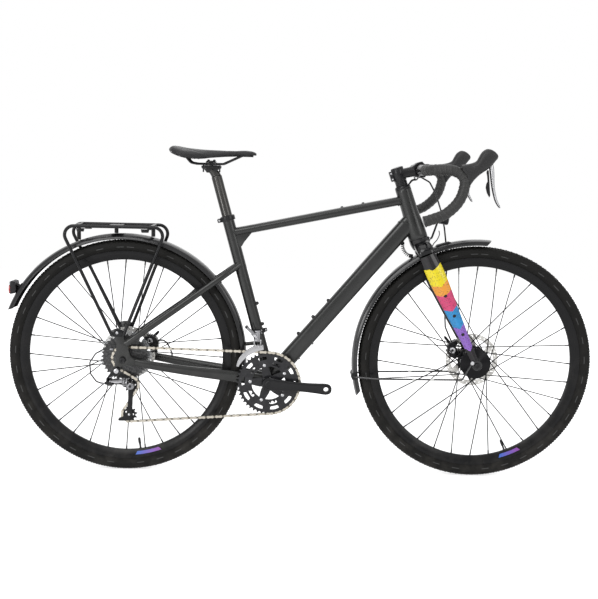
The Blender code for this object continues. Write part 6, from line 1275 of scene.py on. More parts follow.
def makeStem():
    bm = bmesh.new()
    addTurned(bm, mm((14.6, -19.5), (18.4, -19.5), (18.8, -18.7), (18.8, 18.7), (18.4, 19.5), (14.6, 19.5)),
              stemCentre, steerUp, 44)
    body = [(*(stemCentre + stemRun * s), w, h) for s, w, h in mm((4, 16.5, 16.5), (18, 15.2, 14.8), (34, 15.8, 15),
            (46, 16.8, 15.8), (50, 17.6, 16.4))]
    addSweep(bm, body, 40, 2.7, count=16)
    finished("stem_body", bm, anodised, "stem", angle=40)
    bm = bmesh.new()
    arc = [math.radians(90 + 10 * k) for k in range(19)]
    # the half clamp behind the bar
    jaw = [barCentre + (stemRun * math.cos(angle) + stemUp * math.sin(angle)) * 0.01605 for angle in arc]
    block = [onBar(-0.0005, -0.0232), onBar(-0.008, -0.0225), onBar(-0.0215, -0.015), onBar(-0.0215, 0.015),
             onBar(-0.008, 0.0225), onBar(-0.0005, 0.0232)]
    outline = block + [jaw[0] - stemRun * 0.0005] + jaw[1:-1] + [jaw[-1] - stemRun * 0.0005]
    addPlate(bm, flat(outline), -0.0186, 0.0186)
    rear = [stemCentre + steerUp * u + steerAhead * v for u, v in mm((-15, -16), (-15, -26.4), (15, -26.4), (15, -16))]
    addPlate(bm, flat(rear), -0.0108, 0.0108)
    finished("stem_clamps", bm, anodised, "stem", bevel=0.0014, angle=40)
    bm = bmesh.new()
    arc = [math.radians(-90 + 9 * k) for k in range(21)]
    ring = [(math.cos(angle), math.sin(angle)) for angle in arc]
    outer = [barCentre + stemRun * (c * 0.0206) + stemUp * (s * 0.0206) for c, s in ring]
    inner = [barCentre + stemRun * (c * 0.01605) + stemUp * (s * 0.01605) for c, s in reversed(ring)]
    lug = [onBar(0.001, -0.0234), onBar(0.008, -0.0234), onBar(0.012, -0.0178)]
    lugTop = [onBar(0.012, 0.0178), onBar(0.008, 0.0234), onBar(0.001, 0.0234)]
    outer = [p for p in outer if abs((p - barCentre).dot(stemUp)) < 0.0166]
    inner = [p + stemRun * 0.0011 if (p - barCentre).dot(stemRun) < 0.001 else p for p in inner]
    addPlate(bm, flat(lug + outer + lugTop + inner), -0.0203, 0.0203)
    finished("stem_faceplate_dressed", bm, anodised, "stem_faceplate", bevel=0.0012, angle=40)
    spots = []
    for y in (-0.014, 0.014):
        for s in (-1, 1):
            spots.append((barCentre + stemRun * 0.0078 + stemUp * (s * 0.0205) + left * y, aimed(stemRun)))
    for u in (-0.0085, 0.0085):
        spots.append((stemCentre + steerUp * u + steerAhead * -0.021 - left * 0.0107, aimed(-left)))
    addScrews("stem_bolts", (0.0036, 0.0028, 0.0017), spots, "steering")
    bm = bmesh.new()  # top cap
    top = stemCentre + steerUp * 0.0195
    addTurned(bm, mm((0, -0.8), (16.8, -0.8), (17.2, -0.2), (16.8, 1.2), (11, 2.2), (4.2, 2.4), (4.2, 0.8), (0, 0.8)),
              top, steerUp, 40)
    finished("stem_cap", bm, anodised, "stem", angle=38)
    addScrews("stem_cap_bolt", (0.0038, 0.002, 0.0018), [(top + steerUp * 0.0009, aimed(steerUp))], "steering")
    bm = bmesh.new()  # bearing cover and spacer rings
    h = 0.1533
    addTurned(bm, [(x, h + z) for x, z in mm((14.6, 0), (22.8, 0), (23.2, 0.6), (23, 4), (20.6, 8.8), (17.6, 10),
            (14.6, 10))], steerBase, steerUp, 48)
    for k in range(3):
        low = h + 0.0103 + 0.0044 * k
        addTurned(bm, [(x, low + z) for x, z in mm((14.6, 0), (17.2, 0), (17.6, 0.4), (17.6, 3.8), (17.2, 4.2),
                (14.6, 4.2))], steerBase, steerUp, 44)
    finished("headset_spacers", bm, anodised, "headset_cover", angle=38)


def barRoute(side):
    shape = ((0.0, 0.55, 0.0), (0.0, 0.7, 0.0), (0.06, 0.84, 0.005), (0.25, 0.935, 0.02), (0.56, 0.985, 0.018),
             (0.82, 1.0, -0.036), (0.96, 1.01, -0.13), (0.998, 1.018, -0.24), (0.94, 1.034, -0.43),
             (0.85, 1.044, -0.57), (0.7, 1.052, -0.705), (0.45, 1.06, -0.85), (0.18, 1.063, -0.93),
             (-0.11, 1.063, -1.0))
    points = []
    for ahead, out, rise in shape:
        flare = cockpit["flare"] / cockpit["half"] * (out - 1.0) / 0.063 if out > 1.0 else 0.0
        lateral = cockpit["half"] * (min(out, 1.0) + flare)
        points.append(barCentre + Vector((cockpit["reach"] * ahead, side * lateral, cockpit["drop"] * rise)))
    return points


def barPath(side, count):
    return [Vector(row) for row in flowing(barRoute(side), count)]


def paintedLapHighlightTape():
    # wound cork tape with a painted highlight along the raised edge where each turn laps over the last
    made = material("bar_tape", (0.01, 0.01, 0.01), 0.52, tint=(0.02, 0.02, 0.019), fine=2400, bump=0.22, dust=0.2,
                    specular=0.4)
    tree = made.node_tree
    lap = tree.nodes.new("ShaderNodeAttribute")
    lap.attribute_name = "lap"
    # painted highlight: a pale colour laid where the lap share climbs towards the raised edge of each turn
    edge = math2(tree, "MULTIPLY", math2(tree, "SUBTRACT", lap.outputs["Fac"], 0.62, clamp=True), 1.7)
    return repainted(made, edge, (0.075, 0.074, 0.07))


tapeWithPaintedHighlight = paintedLapHighlightTape()


def makeBarAndTape():
    bm = bmesh.new()
    right = list(reversed(barPath(-1, 60)))
    swell = mm((-105, 0), (-90, 0), (-75, 0.6), (-60, 2.6), (-46, 3.8), (-38, 4))
    half = right + [barCentre + left * y for y, _ in swell]
    radii = [cockpit["bar"]] * len(right) + [cockpit["bar"] + grow for _, grow in swell]
    path = half + mirrored(half)
    addLoft(bm, ringsAlong(path, radii + list(reversed(radii)), 28))
    finished("handlebar_dressed", bm, anodised, "handlebar", angle=40)
    for label, side in (("right", -1), ("left", 1)):
        count = cockpit["turns"] * 8 + 1
        path = barPath(side, count)
        outer, inner = cockpit["bar"] + cockpit["tape"], cockpit["bar"] + 0.0004
        sides = 28
        rings, laps = [], []
        for i, ring in enumerate(ringsAlong(path, 1.0, sides)):
            turns = []
            for k, point in enumerate(ring):
                wound = (i / 8 + side * k / sides) % 1.0  # each wrap laps over the last
                lap = 0.0014 * wound if wound < 0.86 else 0.0014 * (1.0 - wound) / 0.14 * 0.86
                laps.append(wound if wound < 0.86 else 0.0)
                turns.append(path[i] + (point - path[i]) * (outer - 0.0012 + lap))
            rings.append(turns)
        bm = bmesh.new()
        back = [[path[i] + (point - path[i]) * inner for point in ring]
                for i, ring in enumerate(ringsAlong(path, 1.0, sides))]
        addLoft(bm, rings + list(reversed(back[::4])), closed=True)
        # the lap share also marks where the tape's finish paints its highlight
        layer = bm.verts.layers.float.new("lap")
        for point, value in zip(bm.verts, laps):
            point[layer] = value
        finished("bar_tape_" + label + "_wound", bm, tapeWithPaintedHighlight, "bar_tape_" + label, angle=50)
        bm = bmesh.new()
        end, before = path[-1], path[-2]
        addTurned(bm, [(0, -0.002), (outer - 0.0002, -0.002), (outer + 0.0006, 0.0006), (outer - 0.0006, 0.0026),
                       (outer * 0.6, 0.0034), (0, 0.0036)], end, (end - before).normalized(), 28)
        addTurned(bm, [(outer + x, z) for x, z in mm((-2, -8.5), (0.2, -8.5), (0.4, -7.9), (0.4, 7.9), (0.2, 8.5),
                (-2, 8.5))], path[0] + (path[1] - path[0]).normalized() * 0.0088, path[1] - path[0], 28)
        finished("bar_end_" + label, bm, cableSkin, body="steering", angle=38)


makeStem()
makeBarAndTape()


def makeHood(label, side):
    # a rubber cover laid round the bar's bend that swells to its horn, with the lever's slot below
    a = barCentre + Vector((cockpit["reach"], side * (cockpit["half"] + 0.002), 0))
    spine = [((-0.0115, 0.0165), (-0.0095, -0.001), 0.015), ((-0.002, 0.0188), (0.0022, -0.017), 0.0158),
             ((0.008, 0.0206), (0.0062, -0.031), 0.0158), ((0.015, 0.0222), (0.0125, -0.04), 0.0154),
             ((0.023, 0.0252), (0.0222, -0.0262), 0.0154), ((0.03, 0.03), (0.034, -0.0135), 0.0157),
             ((0.0355, 0.0405), (0.048, -0.0025), 0.0162), ((0.043, 0.053), (0.061, 0.0065), 0.0166),
             ((0.0545, 0.0612), (0.073, 0.019), 0.0168), ((0.066, 0.0608), (0.0805, 0.029), 0.0164),
             ((0.077, 0.055), (0.0852, 0.035), 0.0145), ((0.0845, 0.0478), (0.0866, 0.0396), 0.0095)]
    bm = bmesh.new()
    rings = []
    for topX, topZ, lowX, lowZ, wide in flowing([(*top, *low, wide) for top, low, wide in spine], 30):
        top, low = a + Vector((topX, 0, topZ)), a + Vector((lowX, 0, lowZ))
        middle, reach = (top + low) / 2, (top - low) / 2
        ring = []
        for k in range(32):
            c, sn = math.cos(math.pi * k / 16), math.sin(math.pi * k / 16)
            ring.append(middle + left * (wide * eased(c, 0.8)) + reach * eased(sn, 0.8))
        rings.append(ring)
    addLoft(bm, rings)
    made = objectFrom("hood", bm)
    slot = bmesh.new()
    shape = mm((56, 36), (70, 41), (104, 26), (80, -20), (30, -20), (43, 8))
    addPlate(slot, [(a.x + x, a.z + z) for x, z in shape], a.y - 0.0064, a.y + 0.0064)
    bm = carved(made, slot)
    for point in bm.verts:  # fine ribs along the grip
        out = point.co.y - a.y
        if abs(out) > 0.01 and a.x + 0.012 < point.co.x < a.x + 0.05:
            point.co.y += math.copysign(0.0003 * math.sin((point.co.x - a.x) * 1400), out)
    finished("brake_hood_" + label + "_rubber", bm, hoodRubber, "brake_hood_" + label, angle=38)


def makeLeverSet(label):
    p = Vector(joints["brake_lever_" + label + "_pull"]["pos_m"])
    shape = mm((-1, 6, 5.6, 4), (1, -8, 6, 6.6), (4.5, -26, 6, 6.4), (9, -65, 6, 4.8), (16, -95, 5.9, 4.1),
               (22.5, -111, 5.3, 3.6), (30, -122, 4, 2.8), (31.2, -123.5, 2.2, 1.4))
    bm = bmesh.new()  # a dark frame stands round the bare face of the blade
    addSweep(bm, [(p.x + x - 0.0006, p.y, p.z + z, w - 0.0014, h) for x, z, w, h in shape], 24, 2.6, count=36)
    finished("brake_lever_" + label + "_edge", bm, satinBlack, "brake_lever_" + label, angle=40)
    bm = bmesh.new()
    addSweep(bm, [(p.x + x, p.y, p.z + z, w, h - 0.0014) for x, z, w, h in shape[1:-1]], 24, 2.6, count=36)
    finished("brake_lever_" + label + "_blade", bm, leverGrey, "brake_lever_" + label, angle=40)
    h = Vector(joints["shift_paddle_" + label + "_push"]["pos_m"])
    raw = mm((-3.5, 4), (1.5, 4), (3, -10), (5, -30), (6.5, -46), (8.5, -64), (6, -70), (-1, -58), (-5, -44),
             (-4, -34), (-0.5, -26), (-2.5, -10), (-4.5, -3))
    bm = bmesh.new()
    addPlate(bm, [(h.x + x, h.z + z) for x, z in raw], h.y - 0.0021, h.y + 0.0021)
    addTube(bm, [h - Vector((0.0034, 0, 0)), h + Vector((0.0011, 0, 0))], 0.0036, 16)
    finished("shift_paddle_" + label + "_dressed", bm, satinBlack, "shift_paddle_" + label,
             bevel=0.0007, angle=38)


leverGrey = material("lever_grey", (0.4, 0.4, 0.41), 0.24, metallic=1.0, tint=(0.46, 0.46, 0.47), fine=1500)
for label, side in (("right", -1), ("left", 1)):
    makeHood(label, side)
    makeLeverSet(label)
print("cockpit made")

# saddle, seatpost and clamps
saddleSizes = {"length": 0.255, "half": 0.0725, "height": 0.968, "behind": 0.122, "rail": 0.0035, "railHalf": 0.022,
               "railHeight": 0.926, "post": 0.01545}
clampCentre = Vector((-0.27215, 0, 0.911))
saddleRear = clampCentre.x - saddleSizes["behind"]
postTop = (clampCentre - seatFoot).dot(seatUp) - 0.02
saddleStations = ((0.0, 0.45, 0.005, -0.004), (0.04, 0.78, 0.0105, -0.013), (0.1, 0.95, 0.009, -0.02),
                  (0.18, 1.0, 0.005, -0.026), (0.29, 0.93, 0.002, -0.029), (0.4, 0.74, 0.0, -0.027),
                  (0.51, 0.54, -0.0008, -0.023), (0.63, 0.38, -0.001, -0.019), (0.76, 0.288, -0.0006, -0.017),
                  (0.88, 0.262, 0.0, -0.018), (0.96, 0.225, -0.002, -0.017), (1.0, 0.126, -0.007, -0.014))
saddleSection = ((0.0, 0.0), (0.22, -0.012), (0.45, -0.05), (0.64, -0.12), (0.8, -0.24), (0.92, -0.42), (1.0, -0.65),
                 (0.99, -0.84), (0.96, -1.0))
coverVinyl = material("saddle_cover", (0.012, 0.012, 0.013), 0.44, fine=2600, bump=0.16, tint=(0.017, 0.017, 0.018),
                      sheen=0.02, specular=0.25)
shellPlastic = material("saddle_shell", (0.008, 0.008, 0.009), 0.4, fine=1800, bump=0.05, specular=0.25)


def saddleRow(share, shrink=0.0, drop=0.0):
    rows = flowing(saddleStations, 61)
    row = rows[min(60, round(share * 60))]
    wide, top = row[1] * saddleSizes["half"] - shrink, saddleSizes["height"] + row[2] - drop
    skirt = saddleSizes["height"] + row[3]
    x = saddleRear + row[0] * saddleSizes["length"]
    depth = top - skirt
    return [Vector((x, side * wide * u, top + depth * v)) for side, u, v in [(-1, u, v)
            for u, v in reversed(saddleSection)] + [(1, u, v) for u, v in saddleSection[1:]]]


def padAllowance(point):
    # how soft the cover is here: full at the sit bones and the nose, none at the rim
    x = (point.x - saddleRear) / saddleSizes["length"]
    return max(0.0, min(1.0, 1.4 - abs(x - 0.28) * 1.1))


def makeSaddle():
    # the padded cover starts as a slack bag round the shell and is blown up by a little inner pressure
    bm = bmesh.new()
    rings = []
    for k in range(49):
        share = k / 48
        outer = saddleRow(share, shrink=0.0015, drop=0.0016)
        inner = [point + Vector((0, -point.y * 0.045, -0.0068)) for point in outer]
        inner = [Vector((p.x, p.y, max(p.z, outer[0].z + 0.0004 if i in (0, len(inner) - 1) else p.z)))
                 for i, p in enumerate(inner)]
        rings.append(outer + list(reversed(inner)))
    addLoft(bm, rings)
    pad = objectFrom("saddle_pad", bm)
    remesh = pad.modifiers.new("even", "REMESH")
    remesh.mode, remesh.voxel_size, remesh.adaptivity = "VOXEL", 0.0032, 0.0
    settled(pad)
    rest = [vertex.co.copy() for vertex in pad.data.vertices]
    cloth = pad.modifiers.new("cloth", "CLOTH")
    cloth.settings.quality = 6
    cloth.settings.mass = 0.25
    cloth.settings.tension_stiffness = cloth.settings.compression_stiffness = 28
    cloth.settings.shear_stiffness, cloth.settings.bending_stiffness = 14, 1.2
    cloth.settings.use_pressure, cloth.settings.uniform_pressure_force = True, 3.0
    cloth.settings.effector_weights.gravity = 0.0
    cloth.collision_settings.use_collision = cloth.collision_settings.use_self_collision = False
    for step in range(1, 15):
        bpy.context.scene.frame_set(step)
    graph = bpy.context.evaluated_depsgraph_get()
    blown = bpy.data.meshes.new_from_object(pad.evaluated_get(graph))
    pad.modifiers.clear()
    for vertex, start, moved in zip(pad.data.vertices, rest, blown.vertices):
        shift = moved.co - start
        most = 0.0016 * padAllowance(start)
        vertex.co = start + (shift.normalized() * most if shift.length > most else shift)
    bpy.context.scene.frame_set(1)
    bpy.data.meshes.remove(blown)
    ridge = bmesh.new()
    ridge.from_mesh(pad.data)
    bpy.data.objects.remove(pad)
    for point in ridge.verts:  # a shallow groove down the middle and a pressed line round each side panel
        share = (point.co.x - saddleRear) / saddleSizes["length"]
        top = saddleSizes["height"] - 0.01
        if point.co.z > top and 0.06 < share < 0.86:
            fade = min(1.0, (share - 0.06) / 0.14, (0.86 - share) / 0.14)
            point.co.z -= 0.0032 * fade * math.exp(-(point.co.y / 0.0085) ** 2)
            wide = saddleRow(max(0.0, min(1.0, share)))[-1].y
            point.co.z -= 0.001 * fade * math.exp(-((abs(point.co.y) / max(wide, 0.004) - 0.7) / 0.045) ** 2)
    made = objectFrom("saddle_cover_padded", ridge)
    fine = made.modifiers.new("fine", "SUBSURF")
    fine.levels = fine.render_levels = 1
    settled(made)
    cover = finished("saddle_cover_padded", made, coverVinyl, "saddle_cover", angle=60)
    bm = bmesh.new()  # the seam along the cover's foot
    for side in (-1, 1):
        line = []
        for k in range(4, 45):
            row = saddleRow(k / 48)
            corner = row[-1] if side > 0 else row[0]
            line.append(corner + Vector((0, side * 0.0002, 0.0016)))
        addTube(bm, line, 0.0007, 6)
    finished("saddle_seam", bm, shellPlastic, body="seat", angle=60)
    shell = cadCopy("saddle_shell")
    bmesh.ops.subdivide_edges(shell, edges=shell.edges[:], cuts=1, use_grid_fill=True)
    finished("saddle_shell_dressed", shell, shellPlastic, "saddle_shell", bevel=0.0008, angle=40)
    rail, half = saddleSizes["railHeight"], saddleSizes["railHalf"]
    route = []
    for x, y, z in ((saddleRear + 0.041, 0.0253, 0.9555), (saddleRear + 0.064, half, rail + 0.003),
                    (saddleRear + 0.082, half, rail), (clampCentre.x - 0.022, half, rail),
                    (clampCentre.x + 0.036, half, rail + 0.0002), (clampCentre.x + 0.086, 0.01, rail + 0.0235),
                    (clampCentre.x + 0.093, 0.004, rail + 0.0262)):
        route.append(Vector((x, -y, z)))
    route += mirrored(route)
    bm = bmesh.new()
    addTube(bm, rounded(route, 0.014, 7), saddleSizes["rail"], 18)
    finished("saddle_rails_dressed", bm, anodised, "saddle_rails", angle=45)


def makePost():
    s = saddleSizes
    bm = bmesh.new()
    foot = postTop - 0.3
    addTurned(bm, [(0.013, foot), (s["post"] - 0.0006, foot), (s["post"], foot + 0.0006),
                   (s["post"], postTop - 0.006), (s["post"] - 0.0012, postTop - 0.002), (s["post"] - 0.004, postTop),
                   (0, postTop + 0.001), (0, postTop - 0.008), (0.013, postTop - 0.01)], seatFoot, seatUp, 44)
    neck = [(*onSeatTube(postTop - 0.014), 0.0138, 0.0147), (*onSeatTube(postTop - 0.004), 0.0134, 0.0138),
            (*onSeatTube(postTop + 0.006, -0.003), 0.013, 0.013), (*(clampCentre + Vector((0.0, 0, -0.003))), 0.015,
            0.01)]
    addSweep(bm, neck, 32, 2.2, count=14)
    low = clampCentre.z - 0.0105
    top = s["railHeight"] - 0.0038
    x = clampCentre.x
    finished("seatpost_dressed", bm, postBlack, "seatpost", angle=40)
    bm = bmesh.new()  # the cradle under the rails, with an ear for a bolt at each end
    cradle = [(x - 0.013, low), (x + 0.013, low), (x + 0.0195, low + 0.0085), (x + 0.029, top - 0.009),
              (x + 0.03, top - 0.002), (x + 0.02, top), (x - 0.019, top), (x - 0.029, top - 0.002),
              (x - 0.028, top - 0.009), (x - 0.019, low + 0.0085)]
    addPlate(bm, cradle, -0.0125, 0.0125)
    addPlate(bm, [(x - 0.019, low + 0.0125), (x + 0.02, low + 0.0125), (x + 0.02, top), (x - 0.019, top)], -0.0275,
             0.0275)
    finished("saddle_cradle", bm, glossBlack, body="seat", bevel=0.0012, angle=40)
    bm = bmesh.new()
    for u in (-0.0235, 0.0245):
        addTube(bm, [Vector((x + u, -0.0128, top - 0.0052)), Vector((x + u, 0.0128, top - 0.0052))], 0.0042, 18)
        addTube(bm, [Vector((x + u, 0, top - 0.02)), Vector((x + u, 0, top + 0.002))], 0.0023, 12)
    finished("cradle_barrel_nuts", bm, blackSteel, body="seat", bevel=0.0004, angle=40)
    bm = bmesh.new()  # upper jaw over the rails
    base = s["railHeight"] + 0.0038
    jaw = [(x + u, base + v) for u, v in mm((-15, 0), (15, 0), (13.5, 4.2), (10, 6), (-10, 6), (-13.5, 4.2))]
    addPlate(bm, jaw, -0.027, 0.027)
    addPlate(bm, [(x + u, base + w) for u, w in mm((-5.2, -8.5), (5.2, -8.5), (5.2, 1), (-5.2, 1))], -0.015, 0.015)
    finished("saddle_clamp_jaw", bm, glossBlack, "saddle_clamp", bevel=0.0007, angle=38)
    spots = [(Vector((x + y, y * 0.2, base + 0.0058)), aimed(up)) for y in (-0.0085, 0.0085)]
    addScrews("saddle_clamp_bolts", (0.0042, 0.0034, 0.002), spots, "seat")
    bm = bmesh.new()  # collar round the top of the seat tube
    addTurned(bm, mm((17.75, 495.2), (21.2, 495.2), (21.9, 496), (21.9, 508.2), (21.2, 509), (19, 510.8),
                     (17.75, 510.8)), seatFoot, seatUp, 48)
    ear = [onSeatTube(u, v) for u, v in mm((496.2, -18.5), (496.2, -29), (498.5, -31), (505.5, -31), (507.8, -29),
            (507.8, -18.5))]
    for low, high in ((-0.009, -0.0012), (0.0012, 0.009)):
        addPlate(bm, flat(ear), low, high)
    finished("seat_collar", bm, anodised, "seat_clamp", bevel=0.0006, angle=38)
    addScrews("seat_collar_bolt", (0.004, 0.003, 0.0019), [(onSeatTube(0.502, -0.0252, -0.0089), aimed(-left))],
              "frame_body")


makeSaddle()
makePost()
print("saddle made")

# drivetrain
drive = {"pitch": 0.0127, "plane": -0.0495, "links": 114, "plateHalf": 0.0041, "roller": 0.0038,
         "sprockets": (11, 13, 15, 17, 20, 23, 26, 30, 34), "spacing": 0.00434, "driven": 17, "large": 46,
         "small": 30, "pulley": 11, "ringHalf": 0.0009, "bolts": 0.055, "crank": 0.17}
chainSteel = material("chain_steel", (0.47, 0.44, 0.38), 0.3, metallic=0.9, tint=(0.38, 0.35, 0.3), fine=900, bump=0.05)
chainInner = material("chain_inner_steel", (0.16, 0.145, 0.12), 0.34, metallic=0.9, tint=(0.11, 0.1, 0.08), fine=900,
                      bump=0.05)
crankBlack = material("crank_black", (0.006, 0.006, 0.007), 0.2, fine=1500, bump=0.015, wear=(0.05, 0.05, 0.055),
                      specular=0.22)
sprocketBlack = material("sprocket_black", (0.012, 0.012, 0.013), 0.3, metallic=0.4, specular=0.2, fine=1500,
        bump=0.03, wear=(0.16, 0.16, 0.16))
guidePoint = Vector(joints["pulley_cage_swing"]["pos_m"])
tensionPoint = Vector(joints["lower_pulley_spin"]["pos_m"])
for point in (guidePoint, tensionPoint):
    point.y = 0.0
cageRun = (tensionPoint - guidePoint).normalized()
cageBack = Vector((cageRun.z, 0, -cageRun.x))


def pitchRadius(teeth):
    return teeth * drive["pitch"] / (2 * math.pi)


def chainPieces():  # arcs (centre, radius, start, sweep, sense) and runs (start, heading, length), in turn
    wheels = ((rearHub, pitchRadius(drive["driven"]), 1), (crankAxle, pitchRadius(drive["large"]), 1),
              (tensionPoint, pitchRadius(drive["pulley"]), 1), (guidePoint, pitchRadius(drive["pulley"]), -1))
    headings, lengths = [], []
    for i, (centre, radius, sense) in enumerate(wheels):
        nextCentre, nextRadius, nextSense = wheels[(i + 1) % 4]
        gap = nextCentre - centre
        span, offset = math.hypot(gap.x, gap.z), nextRadius * nextSense - radius * sense
        headings.append(math.atan2(gap.z, gap.x) + math.asin(offset / span))
        lengths.append(math.sqrt(span ** 2 - offset ** 2))
    pieces = []
    for i, (centre, radius, sense) in enumerate(wheels):
        before, after = headings[i - 1], headings[i]
        sweep = ((before - after) if sense > 0 else (after - before)) % (2 * math.pi)
        start = before + sense * math.pi / 2
        leave = start - sense * sweep
        pieces.append(("arc", centre, radius, start, sweep, sense))
        pieces.append(("run", Vector((centre.x + radius * math.cos(leave), 0, centre.z + radius * math.sin(leave))),
                       after, lengths[i]))
    return pieces


chainRoute = chainPieces()


def routeSpan(piece):
    return piece[2] * piece[4] if piece[0] == "arc" else piece[3]


def routePoint(distance):
    distance %= sum(routeSpan(piece) for piece in chainRoute)
    for piece in chainRoute:
        if distance <= routeSpan(piece):
            break
        distance -= routeSpan(piece)
    if piece[0] == "arc":
        _, centre, radius, start, _, sense = piece
        angle = start - sense * distance / radius
        return Vector((centre.x + radius * math.cos(angle), drive["plane"], centre.z + radius * math.sin(angle)))
    return Vector((piece[1].x, drive["plane"], piece[1].z)) + Vector((math.cos(piece[2]), 0,
            math.sin(piece[2]))) * distance


def gapAngle(order):  # the angle of a tooth gap that holds a roller, on the wheel met in this order
    travelled = sum(routeSpan(piece) for piece in chainRoute[:2 * order])
    _, _, radius, start, _, sense = chainRoute[2 * order]
    return start - sense * ((-travelled) % drive["pitch"]) / radius


def toothedRing(centre, teeth, phase, tip=0.0026):
    radius, step, seat = pitchRadius(teeth), 2 * math.pi / teeth, drive["roller"] + 0.00025
    outline = []
    for k in range(teeth):
        middle = phase + step * k
        pin = Vector((centre.x + radius * math.cos(middle), 0, centre.z + radius * math.sin(middle)))
        for turn in (-75, -35, 0, 35, 75):  # a round seat for the roller
            angle = middle + math.pi + math.radians(turn) * -1
            outline.append(pin + Vector((math.cos(angle), 0, math.sin(angle))) * seat)
        crest = 0.00085 / (radius + tip)
        for angle in (middle + step / 2 - crest, middle + step / 2 + crest):
            outline.append(Vector((centre.x + (radius + tip) * math.cos(angle), 0,
                                   centre.z + (radius + tip) * math.sin(angle))))
    return flat(outline)


def linkTemplate(inner):
    # a pair of waisted plates with a pin or rollers, centred between two pins, +X along the run and +Z outward
    bm = bmesh.new()
    half, h = drive["pitch"] / 2, drive["plateHalf"]
    outline = []
    for side in (1, -1):
        for k in range(7):
            angle = math.radians(-78 + 156 * k / 6) if side > 0 else math.radians(102 + 156 * k / 6)
            outline.append((side * half + h * math.cos(angle), h * math.sin(angle)))
        outline.append((0, side * h * 0.68))
    near, far = (0.0012, 0.00175) if inner else (0.00185, 0.0025)
    for side in (-1, 1):
        low, high = sorted((side * near, side * far))
        addPlate(bm, outline, low, high)
    for x in (-half, half):
        radius, reach = (drive["roller"], 0.00112) if inner else (0.0017, 0.0027)
        addTurned(bm, [(0, -reach), (radius, -reach), (radius, reach), (0, reach)], Vector((x, 0, 0)), left, 10)
    return bm


def makeChain():
    pins = [routePoint(k * drive["pitch"]) for k in range(drive["links"])]
    for inner in (True, False):
        bm, spots = bmesh.new(), []
        for k in range(0 if inner else 1, drive["links"], 2):
            a, b = pins[k], pins[(k + 1) % drive["links"]]
            spots.append(((a + b) / 2, (0, -math.atan2(b.z - a.z, b.x - a.x), 0)))
        placedCopies(bm, linkTemplate(inner), spots)
        finished("chain_inner_links" if inner else "chain_outer_links", bm, chainInner if inner else chainSteel,
                 "chain", angle=30)


def makeCassette():
    bm = bmesh.new()
    for i, teeth in enumerate(drive["sprockets"]):
        plane = drive["plane"] + (i - 3) * drive["spacing"]
        phase = gapAngle(0) if teeth == drive["driven"] else 0.31 * i
        holes = [disc(rearHub, 0.0178, 32)]
        if teeth >= 23:  # light openings in the larger sprockets
            count = 6 if teeth < 30 else 10
            reach = (pitchRadius(teeth) - 0.006 + 0.024) / 2
            deep = min((pitchRadius(teeth) - 0.0085 - 0.0235) / 2, 0.006)
            holes += [disc(onCircle(rearHub, reach, 360 * k / count + 11 * i), deep, 10) for k in range(count)]
        addPlate(bm, toothedRing(rearHub, teeth, phase), plane - 0.0008, plane + 0.0008, holes)
    first = drive["plane"] - 3 * drive["spacing"]
    for i in range(8):  # spacers
        low = first + i * drive["spacing"] + 0.00085
        addTurned(bm, [(x, low + z) for x, z in mm((17.8, 0), (20.5, 0), (20.5, 2.64), (17.8, 2.64))], rearHub, left,
                  32)
    finished("cassette_sprockets", bm, sprocketBlack, "cassette", angle=28)
    bm = bmesh.new()
    ring = [onCircle(rearHub, 0.0148 if k % 2 else 0.016, 360 * k / 48) for k in range(48)]
    addPlate(bm, flat(ring), first - 0.0022, first - 0.0009, [disc(rearHub, 0.0118, 32)])
    finished("cassette_lock_ring", bm, satinBlack, body="sprockets", bevel=0.0002, angle=30)


boltAngles = [-3.0 + 35.0 + 72.0 * k for k in range(5)]


def makeRings():
    for node, teeth, plane, phase in (("outer_chainring", drive["large"], drive["plane"], gapAngle(1)),
            ("inner_chainring", drive["small"], drive["plane"] + 0.0075, 0.1)):
        radius = pitchRadius(teeth)
        inside, holes = [], []
        for angle in boltAngles:
            if teeth == drive["large"]:
                body = radius - 0.027
                for r, turn in ((0.0486, -8), (0.0482, 0), (0.0486, 8), (0.05, 12), (0.0504, 18), (0.0504, 24),
                                (0.0504, 30), (0.0504, 36), (0.0504, 42), (0.0504, 48), (0.0504, 54), (0.05, 60)):
                    inside.append(onCircle(crankAxle, r, angle + turn))
                slot = ((0.0556, -9), (0.0566, -10.5), (0.0618, -11), (0.0634, -9), (0.064, -3), (0.064, 3),
                        (0.0634, 9), (0.0618, 11), (0.0566, 10.5), (0.0556, 9), (0.0552, 0))
                holes.append(flat([onCircle(crankAxle, r, angle + 36 + turn) for r, turn in slot]))
                for middle in (angle, angle + 36):
                    window = ((body + 0.0054, -7.5), (body + 0.0062, -8.6), (body + 0.013, -10), (body + 0.0141, -9),
                              (body + 0.015, -3), (body + 0.015, 3), (body + 0.0141, 9), (body + 0.013, 10),
                              (body + 0.0062, 8.6), (body + 0.0054, 7.5), (body + 0.005, 0))
                    holes.append(flat([onCircle(crankAxle, r, middle + turn) for r, turn in window]))
            else:
                inside += [onCircle(crankAxle, 0.0492 if abs(turn) < 9 else 0.0512, angle + turn)
                           for turn in (-8, 0, 8, 11, 24, 36, 48, 61)]
        bm = bmesh.new()
        addPlate(bm, toothedRing(crankAxle, teeth, phase), plane - drive["ringHalf"], plane + drive["ringHalf"],
                 [flat(inside)] + holes)
        finished(node + "_dressed", bm, crankBlack, node, angle=28)


